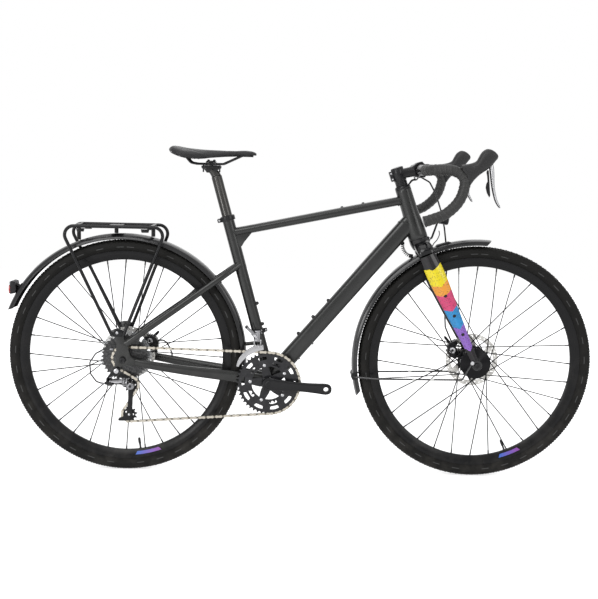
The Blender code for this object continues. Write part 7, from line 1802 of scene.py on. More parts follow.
def addCrankArm(bm, side, run):
    base, end = crankAxle + left * (side * 0.064), crankAxle + run * drive["crank"] + left * (side * 0.078)
    half = 0.0065
    shape = []
    for share, wide, thick in ((0.02, 0.019, half), (0.1, 0.0182, half), (0.2, 0.0165, half),
            (0.35, 0.0146, half * 0.97), (0.5, 0.0135, half * 0.95), (0.7, 0.0138, half * 0.95),
            (0.85, 0.015, half * 0.95), (0.95, 0.0163, half), (1.0, 0.0165, half), (1.04, 0.015, half),
            (1.07, 0.0125, half), (1.088, 0.0086, half), (1.097, 0.005, half * 0.9)):
        point = base.lerp(end, min(share, 1.0)) + run * drive["crank"] * max(share - 1.0, 0.0)
        shape.append((point, wide, thick))
    across = Vector((-run.z, 0, run.x))
    rings = []
    for point, wide, thick in shape:
        ring = []
        for k in range(24):
            c, sn = math.cos(math.pi * k / 12), math.sin(math.pi * k / 12)
            ring.append(point + across * (wide * eased(c, 0.4)) + left * (thick * eased(sn, 0.4)))
        rings.append(ring)
    addLoft(bm, rings)


def makeCranks():
    run = Vector((math.cos(math.radians(-3)), 0, math.sin(math.radians(-3))))
    for node, side, toward in (("crank_right", -1, run), ("crank_left", 1, -run)):
        arm = bmesh.new()
        addCrankArm(arm, side, toward)
        made = objectFrom("arm", arm)
        pedal = crankAxle + toward * drive["crank"]
        drill = bmesh.new()
        addTube(drill, [pedal + left * (side * 0.06), pedal + left * (side * 0.1)], 0.007, 32)
        bm = carved(made, drill)
        if side < 0:
            addTurned(bm, mm((12.5, -42.7), (21.5, -42.7), (21.5, -60), (20.8, -62.5), (19, -69), (17.2, -70.8),
                             (12, -71.4), (11.8, -70), (0, -69.8), (0, -64), (12.5, -64)), crankAxle, left, 48)
            for angle in boltAngles:
                arm = []
                for r, turn in ((0.015, -40), (0.0215, -36), (0.03, -26), (0.04, -16.5), (0.05, -11.0), (0.057, -8.6),
                                (0.0605, -5.5), (0.0618, -2), (0.0618, 2), (0.0605, 5.5), (0.057, 8.6), (0.05, 11.0),
                                (0.04, 16.5), (0.03, 26), (0.0215, 36), (0.015, 40)):
                    arm.append(onCircle(crankAxle, r, angle + turn))
                addPlate(bm, flat(arm), -0.0483, -0.0432)
        else:
            addTurned(bm, mm((0, -65.2), (11.6, -65.2), (12, -64.8), (12, 42.7), (18.5, 42.7), (18.5, 69.2),
                             (16, 72.2), (12.2, 72.6), (11.8, 70), (0, 69.8)), crankAxle, left, 48)
            for y in (0.053, 0.06):  # pinch bolts
                addTube(bm, [crankAxle + Vector((-0.006, y, -0.0196)), crankAxle + Vector((-0.006, y, -0.0206))],
                        0.003, 12)
        finished(node + "_dressed", bm, crankBlack, node, angle=34)
    spots, backs = ([(onCircle(crankAxle, drive["bolts"], angle, y), aimed(facing)) for angle in boltAngles]
                    for y, facing in ((-0.0504, -left), (-0.0411, left)))
    addScrews("chainring_bolts", (0.0052, 0.0022, 0.0026), spots, "cranks")
    addScrews("chainring_nuts", (0.0052, 0.0014, 0.0028), backs, "cranks")
    addScrews("crank_caps", (0.01, 0.0016, 0.005), [(crankAxle - left * 0.0698, aimed(-left)),
            (crankAxle + left * 0.0698, aimed(left))], "cranks", satinBlack)
    bm = bmesh.new()  # bearing cups with their notched rims
    for side in (-1, 1):
        edge = 0.0344
        notched = [onCircle(crankAxle, 0.0214 if k % 4 < 2 else 0.02, 360 * k / 64) for k in range(64)]
        low, high = sorted((side * edge, side * (edge + 0.008)))
        addPlate(bm, flat(notched), low, high, [disc(crankAxle, 0.01245, 40)])
    addTurned(bm, mm((12.5, -34), (16.4, -34), (16.4, 34), (12.5, 34)), crankAxle, left, 40)
    finished("bearing_cups", bm, anodised, "bottom_bracket", bevel=0.0003, angle=30)


makeChain()
makeCassette()
makeRings()
makeCranks()
print("drivetrain made")

# rear derailleur
changer = {"length": 0.04, "spacing": 0.012, "cageHalf": 0.0042, "plate": 0.0015}
linkOrigin = rearHub + Vector((-0.036, -0.0715, -0.067))
linkAxis, linkInward = Vector((0, 0.6428, 0.766)), Vector((0, 0.766, -0.6428))
guideBlack = material("guide_black", (0.008, 0.008, 0.009), 0.3, specular=0.2, fine=1500, bump=0.02)
brightAlloy = material("bright_alloy", (0.4, 0.4, 0.405), 0.28, metallic=1.0, tint=(0.32, 0.32, 0.33), fine=1200,
                       bump=0.03)


def onLink(x, across, along):
    return linkOrigin + Vector((x, 0, 0)) + linkInward * across + linkAxis * along


def addSlanted(bm, outline, lowAlong, highAlong):  # outline in (x, across), pushed along the link pins
    addLoft(bm, [[onLink(x, across, along) for x, across in outline] for along in (lowAlong, highAlong)])


def addEars(bm, x):
    for level in (-1, 1):
        low, high = sorted((level * 0.0065, level * 0.0085))
        ear = []
        for k in range(20):
            c, sn = math.cos(math.pi * k / 10), math.sin(math.pi * k / 10)
            ear.append((x + 0.0062 * eased(c, 0.7), 0.0105 * eased(sn, 0.7)))
        addSlanted(bm, ear, low, high)
    for across in (-changer["spacing"] / 2, changer["spacing"] / 2):
        addTube(bm, [onLink(x, across, -0.0088), onLink(x, across, 0.0088)], 0.0021, 16)


def makeRearChanger():
    bm = bmesh.new()
    addSlanted(bm, mm((-11, -8.6), (-9.6, -10), (-5.6, -10), (-5.6, 10), (-9.6, 10), (-11, 8.6)), -0.009, 0.009)
    addEars(bm, 0.0)
    hanger = rearHub + Vector((-0.017, 0, -0.032))
    inner = -(dropoutFace + fit)
    o = linkOrigin
    arm = [(hanger.x - 0.004, hanger.z + 0.0105), (hanger.x - 0.0085, hanger.z + 0.007),
           (hanger.x - 0.011, hanger.z + 0.002), (o.x - 0.0105, o.z + 0.012), (o.x - 0.0105, o.z - 0.002),
           (o.x - 0.006, o.z + 0.012), (hanger.x - 0.004, hanger.z - 0.0105), (hanger.x + 0.005, hanger.z - 0.009),
           (hanger.x + 0.0092, hanger.z - 0.005), (hanger.x + 0.0105, hanger.z),
           (hanger.x + 0.009, hanger.z + 0.0055), (hanger.x + 0.0045, hanger.z + 0.0095)]
    addPlate(bm, arm, inner - 0.0085, inner)
    addTube(bm, [Vector((hanger.x, inner - 0.004, hanger.z)), Vector((hanger.x, -0.0665, hanger.z))], 0.0041, 20)
    stop = Vector((o.x - 0.009, inner - 0.0045, o.z - 0.002))
    run = Vector((-0.01, 0, -0.004)).normalized()
    addTurned(bm, mm((0, -2), (3.8, -2), (3.8, 3), (3.4, 3.4), (3.8, 3.8), (3.8, 5.2), (3, 6), (0, 6)), stop, run, 16)
    finished("rear_derailleur_arm", bm, guideBlack, "rear_derailleur_body", bevel=0.0007, angle=36)
    addScrews("hanger_bolt", (0.008, 0.0026, 0.003), [(Vector((hanger.x, inner - 0.0084, hanger.z)), aimed(-left))],
              "frame_body")
    span = changer["length"]
    for node, across, thick, tall, finish, slot in (("derailleur_outer_link", -0.006, 0.0018, 0.008, greyAlloy,
            "silver_metal"), ("derailleur_inner_link", 0.006, 0.0015, 0.005, guideBlack, "black_metal")):
        bm = bmesh.new()
        reach = 0.0061
        for x in (0.0, span):
            ring = [[(x + r * math.cos(math.pi * k / 10), across + r * math.sin(math.pi * k / 10)) for k in range(20)]
                    for r in (0.0042, 0.0026)]
            loops = [[onLink(px, pa, along) for px, pa in ring[index]] for index, along in ((0, -reach), (0, reach),
                    (1, reach), (1, -reach))]
            addLoft(bm, loops, closed=True)
        rows = []
        for x, high, swell in ((0.003, 0.006, 1.0), (0.01, 0.006, 1.0), (0.0115, tall * 0.9, 0.92),
                               (0.0145, tall, 0.9), (span - 0.0145, tall, 0.9), (span - 0.0115, tall * 0.9, 0.92),
                               (span - 0.01, 0.006, 1.0), (span - 0.003, 0.006, 1.0)):
            rows.append([onLink(x, across + u * thick * swell, v * high) for u, v in ((-1, -0.9), (-0.6, -1),
                    (0.6, -1), (1, -0.9), (1, 0.9), (0.6, 1), (-0.6, 1), (-1, 0.9))])
        addLoft(bm, rows)
        finished(node + "_dressed", bm, finish, node, bevel=0.0003, angle=36)
    bm = bmesh.new()  # lower knuckle with the spring drum
    x = span
    addSlanted(bm, [(x + u, v) for u, v in mm((5.6, -10), (9.6, -10), (11, -8.6), (11, 8.6), (9.6, 10), (5.6, 10))],
               -0.009, 0.009)
    addEars(bm, x)
    face = 0.0495 + changer["cageHalf"] + changer["plate"] + fit
    addTurned(bm, [(x, -face + z) for x, z in mm((0, -20), (8, -20), (9.8, -19), (11.2, -16), (11.5, -14), (11.5, 0),
            (6.6, 0), (6.6, -12), (0, -12))], guidePoint, left, 40)
    finished("derailleur_knuckle_dressed", bm, greyAlloy, "derailleur_knuckle", bevel=0.0004, angle=36)
    addScrews("knuckle_cap", (0.0046, 0.0014, 0.0022), [(guidePoint - left * (face + 0.0198), aimed(-left))],
              bodyOf("derailleur_knuckle"), blackSteel)
    raw = mm((-11, 5.5), (-11.8, 0), (-11, -5.5), (-6, -10), (0, -11.5), (6, -10.4), (12, -9), (40, -6.6), (78, -7.5),
             (85, -9.7), (92, -10.5), (99, -8.8), (104, -5), (107.8, 0), (109, 6), (110.6, 18), (111, 29),
             (110, 30.8), (105, 31), (100, 21.5), (94, 13), (87, 8.8), (78, 6.6), (40, 6), (12, 8), (6, 10.2),
             (0, 11.5), (-6, 10))
    outline = [guidePoint + cageRun * s + cageBack * t for s, t in raw]
    bm = bmesh.new()
    inside, thick = changer["cageHalf"], changer["plate"]
    slots = []
    for low, high in ((0.02, 0.04), (0.048, 0.07)):  # openings along the arm
        slots.append(flat([guidePoint + cageRun * s + cageBack * t for s, t in ((low, -0.0022),
                (low + 0.002, -0.0032), (high - 0.002, -0.0032), (high, -0.0022), (high, 0.002),
                (high - 0.002, 0.003), (low + 0.002, 0.003), (low, 0.002))]))
    plane = drive["plane"]
    addPlate(bm, flat(outline), plane - inside - thick, plane - inside)
    addPlate(bm, flat(outline), plane + inside, plane + inside + thick, slots)
    for centre in (guidePoint, tensionPoint):
        addTube(bm, [centre + left * (plane - inside - 0.001), centre + left * (plane + inside + 0.001)], 0.0022, 16)
    addTube(bm, [guidePoint - left * (face + 0.011), guidePoint + left * (plane - inside - 0.0008)], 0.006, 24)
    finished("derailleur_cage_dressed", bm, guideBlack, "derailleur_cage", bevel=0.0003, angle=36)
    spots = []
    spots.append((tensionPoint + left * (plane - inside - thick + 0.0001), aimed(-left)))
    for centre in (guidePoint, tensionPoint):
        spots.append((centre + left * (plane + inside + thick - 0.0001), aimed(left)))
    addScrews("pulley_bolts", (0.0038, 0.0014, 0.0017), spots, bodyOf("derailleur_cage"))
    for node, centre, order in (("guide_pulley", guidePoint, 3), ("tension_pulley", tensionPoint, 2)):
        bm = bmesh.new()
        holes = [disc(centre, 0.0027, 16)] + [disc(onCircle(centre, 0.0112, 72 * k), 0.003, 10) for k in range(5)]
        addPlate(bm, toothedRing(centre, drive["pulley"], gapAngle(order), 0.0024), plane - 0.0009, plane + 0.0009,
                 holes)
        hub = inside - 0.0003
        for low, high in ((-hub, -0.0009), (0.0009, hub)):
            addTurned(bm, [(0.0027, plane + low), (0.0056, plane + low), (0.0056, plane + high),
                           (0.0027, plane + high)], centre, left, 24)
        finished(node + "_dressed", bm, mattePlastic, node, angle=28)


makeRearChanger()
print("rear derailleur made")

# front derailleur: the band clamp, the link with its cable arm, and the silver cage
shifter = {"ring": 46, "clearance": 0.0095, "gapHalf": 0.0056, "plate": 0.0012}
shiftPivot = onSeatTube(0.156, 0.002, -0.03)
shiftFoot = shiftPivot + Vector((0, -0.0165, -0.024))


def addCheek(bm, outline, xLow, xHigh):  # an outline of (y, z) points, pushed out along X
    addLoft(bm, [[Vector((x, y, z)) for y, z in outline] for x in (xLow, xHigh)])


def eyePlate(centre, radius, towards, halfWidth):  # round the centre, then straight to another place, in (y, z)
    run = Vector((towards[0] - centre[0], towards[1] - centre[1]))
    along = run.normalized()
    aside = Vector((-along.y, along.x))
    points = []
    for k in range(11):
        angle = math.radians(90 + 18 * k)
        points.append(Vector(centre) + (along * math.cos(angle) + aside * math.sin(angle)) * radius)
    points += [Vector(towards) - aside * halfWidth, Vector(towards) + aside * halfWidth]
    return [(point.x, point.y) for point in points]


def makeFrontChanger():
    p, b = shiftPivot, shiftFoot
    bm = bmesh.new()
    addTurned(bm, mm((17.75, 145.2), (20.9, 145.2), (21.3, 146.2), (21.3, 157.8), (20.9, 158.8), (17.75, 158.8)),
              seatFoot, seatUp, 64)
    for x in (-0.011, 0.008):
        addCheek(bm, eyePlate((p.y, p.z), 0.0046, (-0.0182, p.z - 0.0006), 0.0062), p.x + x, p.x + x + 0.003)
    addCheek(bm, [(u, p.z + v) for u, v in mm((-17.8, -10), (-17.8, 6.2), (-23.6, 5), (-24.2, -7.6), (-22.2, -10))],
             p.x - 0.01, p.x + 0.01)
    addTube(bm, [p - Vector((0.0118, 0, 0)), p + Vector((0.0118, 0, 0))], 0.002, 16)
    for y in (-0.0042, 0.0012):  # the two lugs that close the band in front of the tube
        low, high = 0.1462, 0.1578
        lug = [onSeatTube(low, 0.02), onSeatTube(low, 0.0285), onSeatTube((low + high) / 2, 0.03),
               onSeatTube(high, 0.0285), onSeatTube(high, 0.02)]
        addPlate(bm, flat(lug), y, y + 0.003)
    finished("front_derailleur_clamp_dressed", bm, satinBlack, "front_derailleur_clamp", bevel=0.0005, angle=40)
    spots = [(onSeatTube(0.152, 0.025, -0.0041), aimed(-left)), (p + Vector((0.0098, 0.007, -0.004)),
            aimed((1, 0, 0))), (p + Vector((0.0098, 0.007, 0.0024)), aimed((1, 0, 0)))]
    addScrews("front_derailleur_screws", (0.0034, 0.0026, 0.0015), spots, "frame_body")

    bm = bmesh.new()  # link: two barrels, a web with a rib, and the arm that the cable pulls
    half = 0.0077
    for place in (p, b):
        addTube(bm, [place - Vector((half, 0, 0)), place + Vector((half, 0, 0))], 0.004, 24)
    run = (b - p).normalized()
    side = Vector((0, -run.z, run.y))
    for width, thick in ((half - 0.0006, 0.0016), (0.0022, 0.003)):
        ends = [[place + side * s * thick + Vector((x, 0, 0)) for x, s in ((-width, 1), (width, 1), (width, -1),
                (-width, -1))] for place in (p + run * 0.001, b - run * 0.001)]
        addLoft(bm, ends)
    eye = p + Vector((-0.033, -0.0085, 0.015))
    arm = [(*eye, 0.0018, 0.005), (*(p + Vector((-0.024, -0.0085, 0.006))), 0.002, 0.0046),
           (*(p + Vector((-0.012, -0.0087, -0.005))), 0.0022, 0.0046), (*(p + Vector((-0.006, -0.011, -0.0125))),
            0.0026, 0.0044), (*(p + Vector((-0.002, -0.014, -0.018))), 0.0026, 0.0036)]
    addSweep(bm, arm, 16, 3.2, left, 18)
    addTurned(bm, mm((2.1, -2.2), (5.4, -2.2), (5.8, -1.6), (5.8, 1.6), (5.4, 2.2), (2.1, 2.2)), eye, left, 28)
    finished("front_derailleur_link_dressed", bm, greyAlloy, "front_derailleur_link", bevel=0.0004, angle=40)
    addScrews("front_derailleur_pinch_screw", (0.0036, 0.0022, 0.0016), [(eye - left * 0.002, aimed(-left))],
              "front_shift_link", blackSteel)

    bm = bmesh.new()  # cage: two curved plates with a pressed rim, bridge, tail pin and arms
    radius = pitchRadius(shifter["ring"]) + shifter["clearance"]
    depths = [row[1] for row in flowing([(99, 0.013), (110, 0.0165), (121, 0.0165), (132, 0.0145), (143, 0.0115),
            (152, 0.007)], 28)]
    angles = [99 + 53 * k / 27 for k in range(28)]
    lower = [onCircle(crankAxle, radius, angle) for angle in angles]
    upper = [onCircle(crankAxle, radius + depth, angle) for angle, depth in zip(angles, depths)]
    for inward, near in ((-1, drive["plane"] - shifter["gapHalf"] - shifter["plate"]),
                         (1, drive["plane"] + shifter["gapHalf"])):
        addPlate(bm, flat(lower + upper[::-1]), near, near + shifter["plate"])
        face = near + (0 if inward < 0 else shifter["plate"])
        rim = [onCircle(crankAxle, radius + depth - 0.0012, angle, face) for angle, depth in zip(angles, depths)]
        addTube(bm, rim, 0.0011, 8)
    near, far = drive["plane"] - shifter["gapHalf"] - 0.0008, drive["plane"] + shifter["gapHalf"] + 0.0008
    addPlate(bm, flat([onCircle(crankAxle, radius + reach, angle) for reach, angle in ((0.0118, 99.5), (0.013, 103.5),
            (0.014, 108), (0.0155, 108), (0.0144, 103.5), (0.0127, 99.5))]), near, far)
    tail = onCircle(crankAxle, radius + 0.0035, 150)
    addTube(bm, [tail + left * near, tail + left * far], 0.0018, 16)
    top = onCircle(crankAxle, radius + 0.0125, 104)
    for x in (-0.011, 0.008):
        addCheek(bm, eyePlate((b.y, b.z), 0.004, (b.y, top.z - 0.002), 0.0032), b.x + x, b.x + x + 0.003)
    addTube(bm, [b - Vector((0.0118, 0, 0)), b + Vector((0.0118, 0, 0))], 0.002, 16)
    finished("front_derailleur_cage_dressed", bm, brightAlloy, "front_derailleur_cage", bevel=0.0003, angle=36)
    spots = [(onCircle(crankAxle, radius + 0.0115, angle, drive["plane"] - shifter["gapHalf"] - shifter["plate"]
                       + 0.0001), aimed(-left)) for angle in (101, 106)]
    addScrews("front_derailleur_cage_screws", (0.0024, 0.0014, 0.0011), spots, "front_shift_cage")


makeFrontChanger()
print("front derailleur made")

# disc brakes: slotted bodies with fins and a silver adjuster, and the cable arms
brake = {"slotHalf": 0.0023, "slotRadius": 0.0815, "ring": 0.0095, "armThick": 0.004, "fins": 5}
frontCaliperCentre = frontHub - bladeRun * 0.052 + bladeBack * 0.0338


def makeCaliper(node, arm, outline, fins, hub, plane, yLow, yHigh, ring, pivot, toward, body):
    bm = bmesh.new()
    addPlate(bm, outline, yLow, yHigh)
    for fin in fins:
        addPlate(bm, fin, plane - 0.009, plane + 0.011)
    made = objectFrom(node, bm)
    bevelled(made, 0.0009)
    slot = bmesh.new()
    addTurned(slot, [(0, plane - brake["slotHalf"]), (brake["slotRadius"], plane - brake["slotHalf"]),
                     (brake["slotRadius"], plane + brake["slotHalf"]), (0, plane + brake["slotHalf"])],
              Vector((hub.x, 0, hub.z)), left, 96)
    bm = carved(made, slot, True)
    addTube(bm, [pivot - left * 0.003, pivot + left * (0.0003 + brake["armThick"] + 0.001)], 0.003, 20)
    finished(node + "_dressed", bm, satinBlack, node)
    bm = bmesh.new()  # silver adjuster ring with a hexagon socket, on the spoke side
    r = brake["ring"]
    addTurned(bm, [(0.0036, yLow + 0.0004), (r, yLow + 0.0004), (r, yLow - 0.0008), (r - 0.0007, yLow - 0.0014),
                   (0.0048, yLow - 0.0014), (0.0036, yLow - 0.0004)], ring, left, 40)
    finished(node + "_adjuster", bm, polished, body=body, angle=30)
    run = toward.normalized()
    side = Vector((-run.z, 0, run.x))
    reach = toward.length
    bm = bmesh.new()
    shape = [pivot + (run * math.cos(math.radians(a)) + side * math.sin(math.radians(a))) * 0.0078
             for a in range(80, 281, 20)]
    shape += [pivot + run * (reach * 0.6) - side * 0.0046, pivot + run * reach - side * 0.004,
              pivot + run * (reach + 0.0036) - side * 0.0018, pivot + run * (reach + 0.0036) + side * 0.0018,
              pivot + run * reach + side * 0.004, pivot + run * (reach * 0.6) + side * 0.0046]
    base = pivot.y + 0.0003
    addPlate(bm, flat(shape), base, base + brake["armThick"], [disc(pivot, 0.0035, 20)])
    finished(arm + "_dressed", bm, satinBlack, arm, bevel=0.0006)
    spots = [(pivot + run * (reach - 0.0015) + left * (brake["armThick"] + 0.0002), aimed(left))]
    addScrews(arm + "_pinch_screw", (0.0034, 0.0028, 0.0015), spots, bodyOf(arm), blackSteel)
    addScrews(node + "_pivot_screw", (0.0052, 0.002, 0.002), [(pivot + left * (0.0003 + brake["armThick"] + 0.0009),
            aimed(left))], body, blackSteel)


def makeCalipers():
    def onBlade(t, n):
        return frontCaliperCentre + bladeRun * t + bladeBack * n
    outline = mm((-25, -16.8), (-13, -16.8), (-10, -6), (10, -6), (13, -16.8), (24.5, -16.8), (26.2, 3), (22.5, 16),
                 (12, 20), (-14, 19), (-24.5, 8))
    fins = []
    for k in range(brake["fins"]):
        t = -0.0085 + 0.0058 * k
        fins.append(flat([onBlade(t, 0.017), onBlade(t + 0.003, 0.017), onBlade(t + 0.003, 0.0262 - 0.001 * k),
                          onBlade(t, 0.0262 - 0.001 * k)]))
    makeCaliper("front_caliper", "front_caliper_arm", flat([onBlade(t, n) for t, n in outline]), fins, frontHub,
                0.0395, 0.0285, 0.058, onBlade(-0.001, 0.008), frontCaliperCentre + left * 0.0585,
                Vector((-0.027, 0, 0.0325)), "steering")
    outline = mm((38, 362.3), (88, 362.3), (90.5, 370), (90, 384), (85, 396.3), (74, 404.3), (52, 402.3), (40, 388.3))
    fins = []
    for k in range(brake["fins"]):
        x = 0.056 + 0.0058 * k
        fins.append([(fromRear(x, 0).x, 0.401), (fromRear(x + 0.003, 0).x, 0.401), (fromRear(x + 0.003, 0).x,
                0.4105 - 0.0016 * k), (fromRear(x, 0).x, 0.4105 - 0.0016 * k)])
    makeCaliper("rear_caliper", "rear_caliper_arm", flat([fromRear(x, z) for x, z in outline]), fins, rearHub, 0.0522,
                0.0372, 0.0667, fromRear(0.064, 0.3875), fromRear(0.064, 0.388, 0.0672), Vector((0.0225, 0, 0.0235)),
                "frame_body")
    bm = bmesh.new()  # washers and bolts where the front body meets the fork's posts
    for t in (-0.019, 0.019):
        for low, radius in ((-0.0188, 0.005), (-0.0172, 0.0062)):
            addTube(bm, [onBlade(t, low) + left * 0.043, onBlade(t, low + 0.0014) + left * 0.043], radius, 20)
    finished("front_caliper_washers", bm, boltSteel, body="steering", bevel=0.0003)


makeCalipers()
print("brakes made")

# cables with their end caps, the lamp's wire and the damper spring behind the crown
cables = {"radius": 0.0024, "shiftRadius": 0.0021, "cap": 0.0031, "capLength": 0.011, "wire": 0.0014,
          "spring": 0.0048, "springWire": 0.0011}


def cablePath(points, radius):
    return rounded(points, radius * 6, 8)


def addCap(bm, path, radius, start):  # a metal cap over one end of a cable
    tip, after = (path[0], path[1]) if start else (path[-1], path[-2])
    run = (Vector(after) - Vector(tip)).normalized()
    addTube(bm, [Vector(tip) + run * 0.0004, Vector(tip) + run * cables["capLength"]], radius, 20)


def makeCables():
    seat = frontCaliperCentre - bladeRun * 0.025 - bladeBack * 0.002
    routes = {"rear_shift_cable": ([rearHub + Vector(v) for v in mm((-26.5, -74, 30), (-52, -76, 32.5),
            (-78, -78, 18), (-95, -79, -8), (-93, -79, -42), (-76, -79, -65))]
            + [Vector((linkOrigin.x - 0.0165, -0.0793, linkOrigin.z - 0.005))], cables["shiftRadius"]),
              "rear_brake_cable": ([rearHub + Vector(v) for v in mm((88.6, 60, 36), (102, 60.5, 38.5),
            (114, 61.5, 30), (124, 62.5, 12), (130.8, 63.3, -9.1))], cables["radius"]),
              "front_brake_cable": ([barCentre + Vector(v) for v in mm((0, 120.7, -14), (0, 96, -14), (4, 78, -17.5),
            (36, 52, -36))] + [frontHub + Vector(v) for v in mm((-127.6, 42, 500), (-110.6, 32, 447),
            (-99.6, 33, 400), (-91.6, 40, 350), (-85.1, 56, 290), (-83.1, 67.2, 240), (-82.9, 70, 180),
            (-82.6, 68.5, 130), (-80.6, 63, 95))] + [seat + Vector((-0.0055, 0.053, 0.0115)),
            seat + Vector((0, 0.0505, 0.0005))], cables["radius"])}
    for node, (points, radius) in routes.items():
        bm = bmesh.new()
        path = cablePath(points, radius)
        addTube(bm, path, radius, 16)
        finished(node + "_dressed", bm, cableSkin, node, angle=60)
        if node != "front_brake_cable":
            caps = bmesh.new()
            addCap(caps, path, cables["cap"], False)
            addCap(caps, path, cables["cap"], True)
            finished(node + "_caps", caps, greyAlloy, body=bodyOf(node), bevel=0.0003)
    meet = onSteerer(0.153 + 0.0061, 0.0232 - 0.004)
    bm = bmesh.new()
    for side in (-1, 1):
        points = [barCentre + Vector((-0.0099, side * 0.1207, -0.0099)),
                  barCentre + Vector((-0.0099, side * 0.09, -0.0099)),
                  barCentre + Vector((-0.01, side * 0.06, -0.0185)),
                  barCentre + Vector((-0.012, side * 0.022, -0.0285)), meet + Vector((0.01, side * 0.008, 0.014)),
                  meet + Vector((0.001, side * 0.0015, 0.0018))]
        addTube(bm, cablePath(points, cables["radius"]), cables["radius"], 16)
    finished("control_cables_dressed", bm, cableSkin, "control_cables", angle=60)
    bm = bmesh.new()  # thin wire that loops from the lamp to the crown
    wire = flowing([(0.403, -0.006, 0.744), (0.4045, -0.0085, 0.733), (0.3985, -0.01, 0.718), (0.389, -0.0085, 0.706),
                    (0.385, -0.006, 0.696)], 24)
    addTube(bm, wire, cables["wire"], 8)
    finished("lamp_wire", bm, cableSkin, body="steering", angle=60)


def makeDamperSpring():
    # the small coil that steadies the steering, from under the down tube to the back of the crown
    route = [Vector(row) for row in flowing([(0.2975, 0.0, 0.703), (0.2985, 0.0, 0.69), (0.3045, 0.0, 0.678),
            (0.3135, 0.0, 0.67), (0.32, 0.0, 0.667)], 121)]
    coil = []
    for i, point in enumerate(route):
        run = (route[min(i + 1, 120)] - route[max(i - 1, 0)]).normalized()
        across = run.cross(left)
        turn = 2 * math.pi * 9 * i / 120
        coil.append(point + (left * math.cos(turn) + across * math.sin(turn)) * cables["spring"])
    bm = bmesh.new()
    addTube(bm, coil, cables["springWire"], 6)
    piece = finished("steering_damper_spring", bm, blackSteel, angle=60)
    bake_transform(piece)
    bm = bmesh.new()
    addTube(bm, [route[0] + Vector((-0.001, 0, 0.005)), route[0] - Vector((0, 0, 0.0016))], 0.0058, 16)
    finished("damper_clip_upper", bm, mattePlastic, body="frame_body", bevel=0.0004)
    bm = bmesh.new()
    addTube(bm, [route[-1] + Vector((-0.0012, 0, 0.0004)), route[-1] + Vector((0.009, 0, -0.001))], 0.0058, 16)
    finished("damper_clip_lower", bm, mattePlastic, body="steering", bevel=0.0004)


def makeSpokeGuard():
    # a clear plastic disc between the largest sprocket and the spokes
    plane = drive["plane"] + 5 * drive["spacing"] + 0.0042
    bm = bmesh.new()
    addTurned(bm, [(x, plane + z) for x, z in mm((24, 0), (79, 2.2), (79.6, 3), (78.4, 3.4), (24, 1))], rearHub, left,
              72)
    finished("spoke_guard", bm, clearPlastic, body="rear_wheel", angle=40)


clearPlastic = material("clear_plastic", (0.8, 0.82, 0.84), 0.18, tint=(0.72, 0.74, 0.76), fine=500, bump=0.02)
clearPlastic.node_tree.nodes["Principled BSDF"].inputs["Alpha"].default_value = 0.17
makeCables()
makeDamperSpring()
makeSpokeGuard()
print("cables made")

# every carried-over part that still shows gets a finish of its own
shownFinishes = {"frame_anthracite": framePaint, "fork_gloss": forkPaint, "black_metal": satinBlack,
                 "black_gloss": glossBlack, "black_plastic": mattePlastic, "tyre_rubber": tyreRubber,
                 "bar_tape": mattePlastic, "saddle_vinyl": mattePlastic, "silver_metal": polished,
                 "chain_steel": greyAlloy, "rotor_steel": rotorSteel, "lamp_black": mattePlastic}
slots = {item["node"]: item["material_slot"] for item in frame["record"]["subparts"]}
for node, made in frame["nodes"].items():
    made.data.materials.clear()
    made.data.materials.append(shownFinishes[slots[node]])

# studio: a white floor whose glow rises to plain white, soft lamps, and the camera
studio = {"lens": 62.02, "place": (-0.03, -3.0588, 0.937), "yaw": 0.435, "pitch": 7.587, "roll": -1.194,
          "sky": (0.97, 0.98, 1.0, 1), "skyPower": 0.3, "floor": 6, "floorGrey": 0.93, "glow": (0.9, 1.9, 0.68, 1.0)}
# each: place, aim, size and power
lamps = {"key_lamp": ((-1.3, -2.7, 2.7), (0, 0, 0.5), 1.8, 46), "strip_lamp": ((-2.3, -2.7, 0.9), (0, 0, 0.55), 0.8,
        22), "fill_lamp": ((2.4, -2.2, 1.8), (0, 0, 0.5), 1.4, 20), "rim_lamp": ((0.4, 2.6, 2.8), (0, 0, 0.5), 2.4,
        20), "top_lamp": ((0.0, -0.2, 3.0), (0, 0, 0), 2.2, 18)}


def seenRays(tree):
    # one for the rays that see the background: straight, mirrored or through glass
    path = tree.nodes.new("ShaderNodeLightPath")
    clear = math2(tree, "MAXIMUM", path.outputs["Is Camera Ray"], path.outputs["Is Transmission Ray"])
    return math2(tree, "MAXIMUM", clear, path.outputs["Is Glossy Ray"])


def mixedBySight(tree, unseen, seen, output):
    mix = tree.nodes.new("ShaderNodeMixShader")
    for source, socket in zip((seenRays(tree), unseen.outputs[0], seen.outputs[0]), mix.inputs):
        tree.links.new(source, socket)
    tree.links.new(mix.outputs[0], tree.nodes[output].inputs["Surface"])


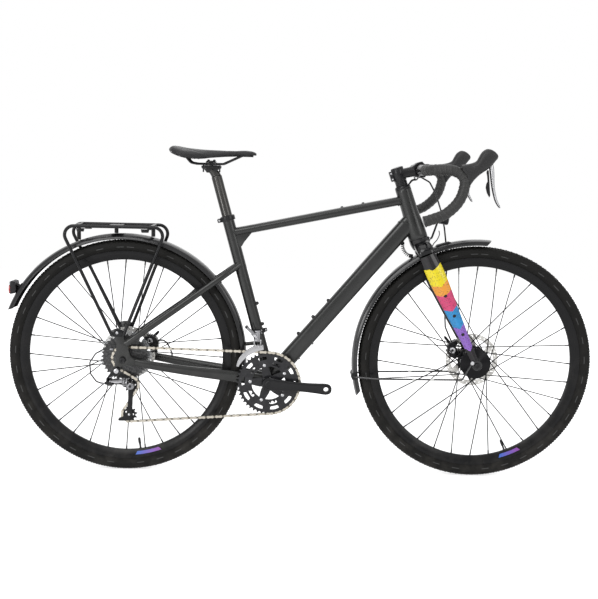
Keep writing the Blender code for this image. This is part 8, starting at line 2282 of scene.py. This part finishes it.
def makeStudio():
    world = bpy.data.worlds.new("studio_world")
    bpy.context.scene.world = world
    world.use_nodes = True
    tree = world.node_tree
    sky = tree.nodes["Background"]
    sky.inputs["Color"].default_value, sky.inputs["Strength"].default_value = studio["sky"], studio["skyPower"]
    plain = added(tree, "ShaderNodeBackground", Color=(1, 1, 1, 1), Strength=1.0)
    mixedBySight(tree, sky, plain, "World Output")
    for name, (place, aim, size, power) in lamps.items():
        lamp = bpy.data.lights.new(name, "AREA")
        lamp.energy, lamp.size = power, size
        made = bpy.data.objects.new(name, lamp)
        made.location = place
        made.rotation_euler = (Vector(aim) - Vector(place)).to_track_quat("-Z", "Y").to_euler()
        bpy.context.collection.objects.link(made)
    bm = bmesh.new()  # a round floor, whose glow rises to plain white away from the bicycle
    bmesh.ops.create_circle(bm, cap_ends=True, radius=studio["floor"], segments=96,
                            matrix=Matrix.Translation((0, 0, -0.0005)))
    mesh = bpy.data.meshes.new("studio_floor")
    bm.to_mesh(mesh)
    bm.free()
    floor = bpy.data.objects.new("studio_floor", mesh)
    bpy.context.collection.objects.link(floor)
    made = bpy.data.materials.new("studio_white")
    made.use_nodes = True
    tree = made.node_tree
    shader = tree.nodes["Principled BSDF"]
    for label, value in (("Base Color", (*[studio["floorGrey"]] * 3, 1)), ("Roughness", 0.9),
                         ("Specular IOR Level", 0.1)):
        shader.inputs[label].default_value = value
    away = tree.nodes.new("ShaderNodeVectorMath")
    away.operation = "LENGTH"
    tree.links.new(added(tree, "ShaderNodeTexCoord").outputs["Object"], away.inputs[0])
    rise = added(tree, "ShaderNodeMapRange", Value=away.outputs["Value"])
    for socket, value in zip(rise.inputs[1:5], studio["glow"]):
        socket.default_value = value
    glow = added(tree, "ShaderNodeEmission", Strength=rise.outputs["Result"])
    both = tree.nodes.new("ShaderNodeAddShader")
    tree.links.new(shader.outputs[0], both.inputs[0])
    tree.links.new(glow.outputs[0], both.inputs[1])
    mixedBySight(tree, shader, both, "Material Output")
    mesh.materials.append(made)
    data = bpy.data.cameras.new("photo_camera")
    data.lens = studio["lens"]
    data.clip_start = 0.05
    camera = bpy.data.objects.new("photo_camera", data)
    yaw, pitch, roll = (math.radians(studio[key]) for key in ("yaw", "pitch", "roll"))
    ahead = Vector((math.sin(yaw) * math.cos(pitch), math.cos(yaw) * math.cos(pitch), -math.sin(pitch)))
    right = Vector((math.cos(yaw), -math.sin(yaw), 0))
    down = ahead.cross(right)
    across = right * math.cos(roll) + down * math.sin(roll)
    below = down * math.cos(roll) - right * math.sin(roll)
    matrix = Matrix((across, -below, -ahead)).transposed().to_4x4()
    matrix.translation = Vector(studio["place"])
    camera.matrix_world = matrix
    bpy.context.collection.objects.link(camera)
    bpy.context.scene.camera = camera
    bpy.context.scene.view_settings.view_transform = "Standard"


makeStudio()
print("studio ready")
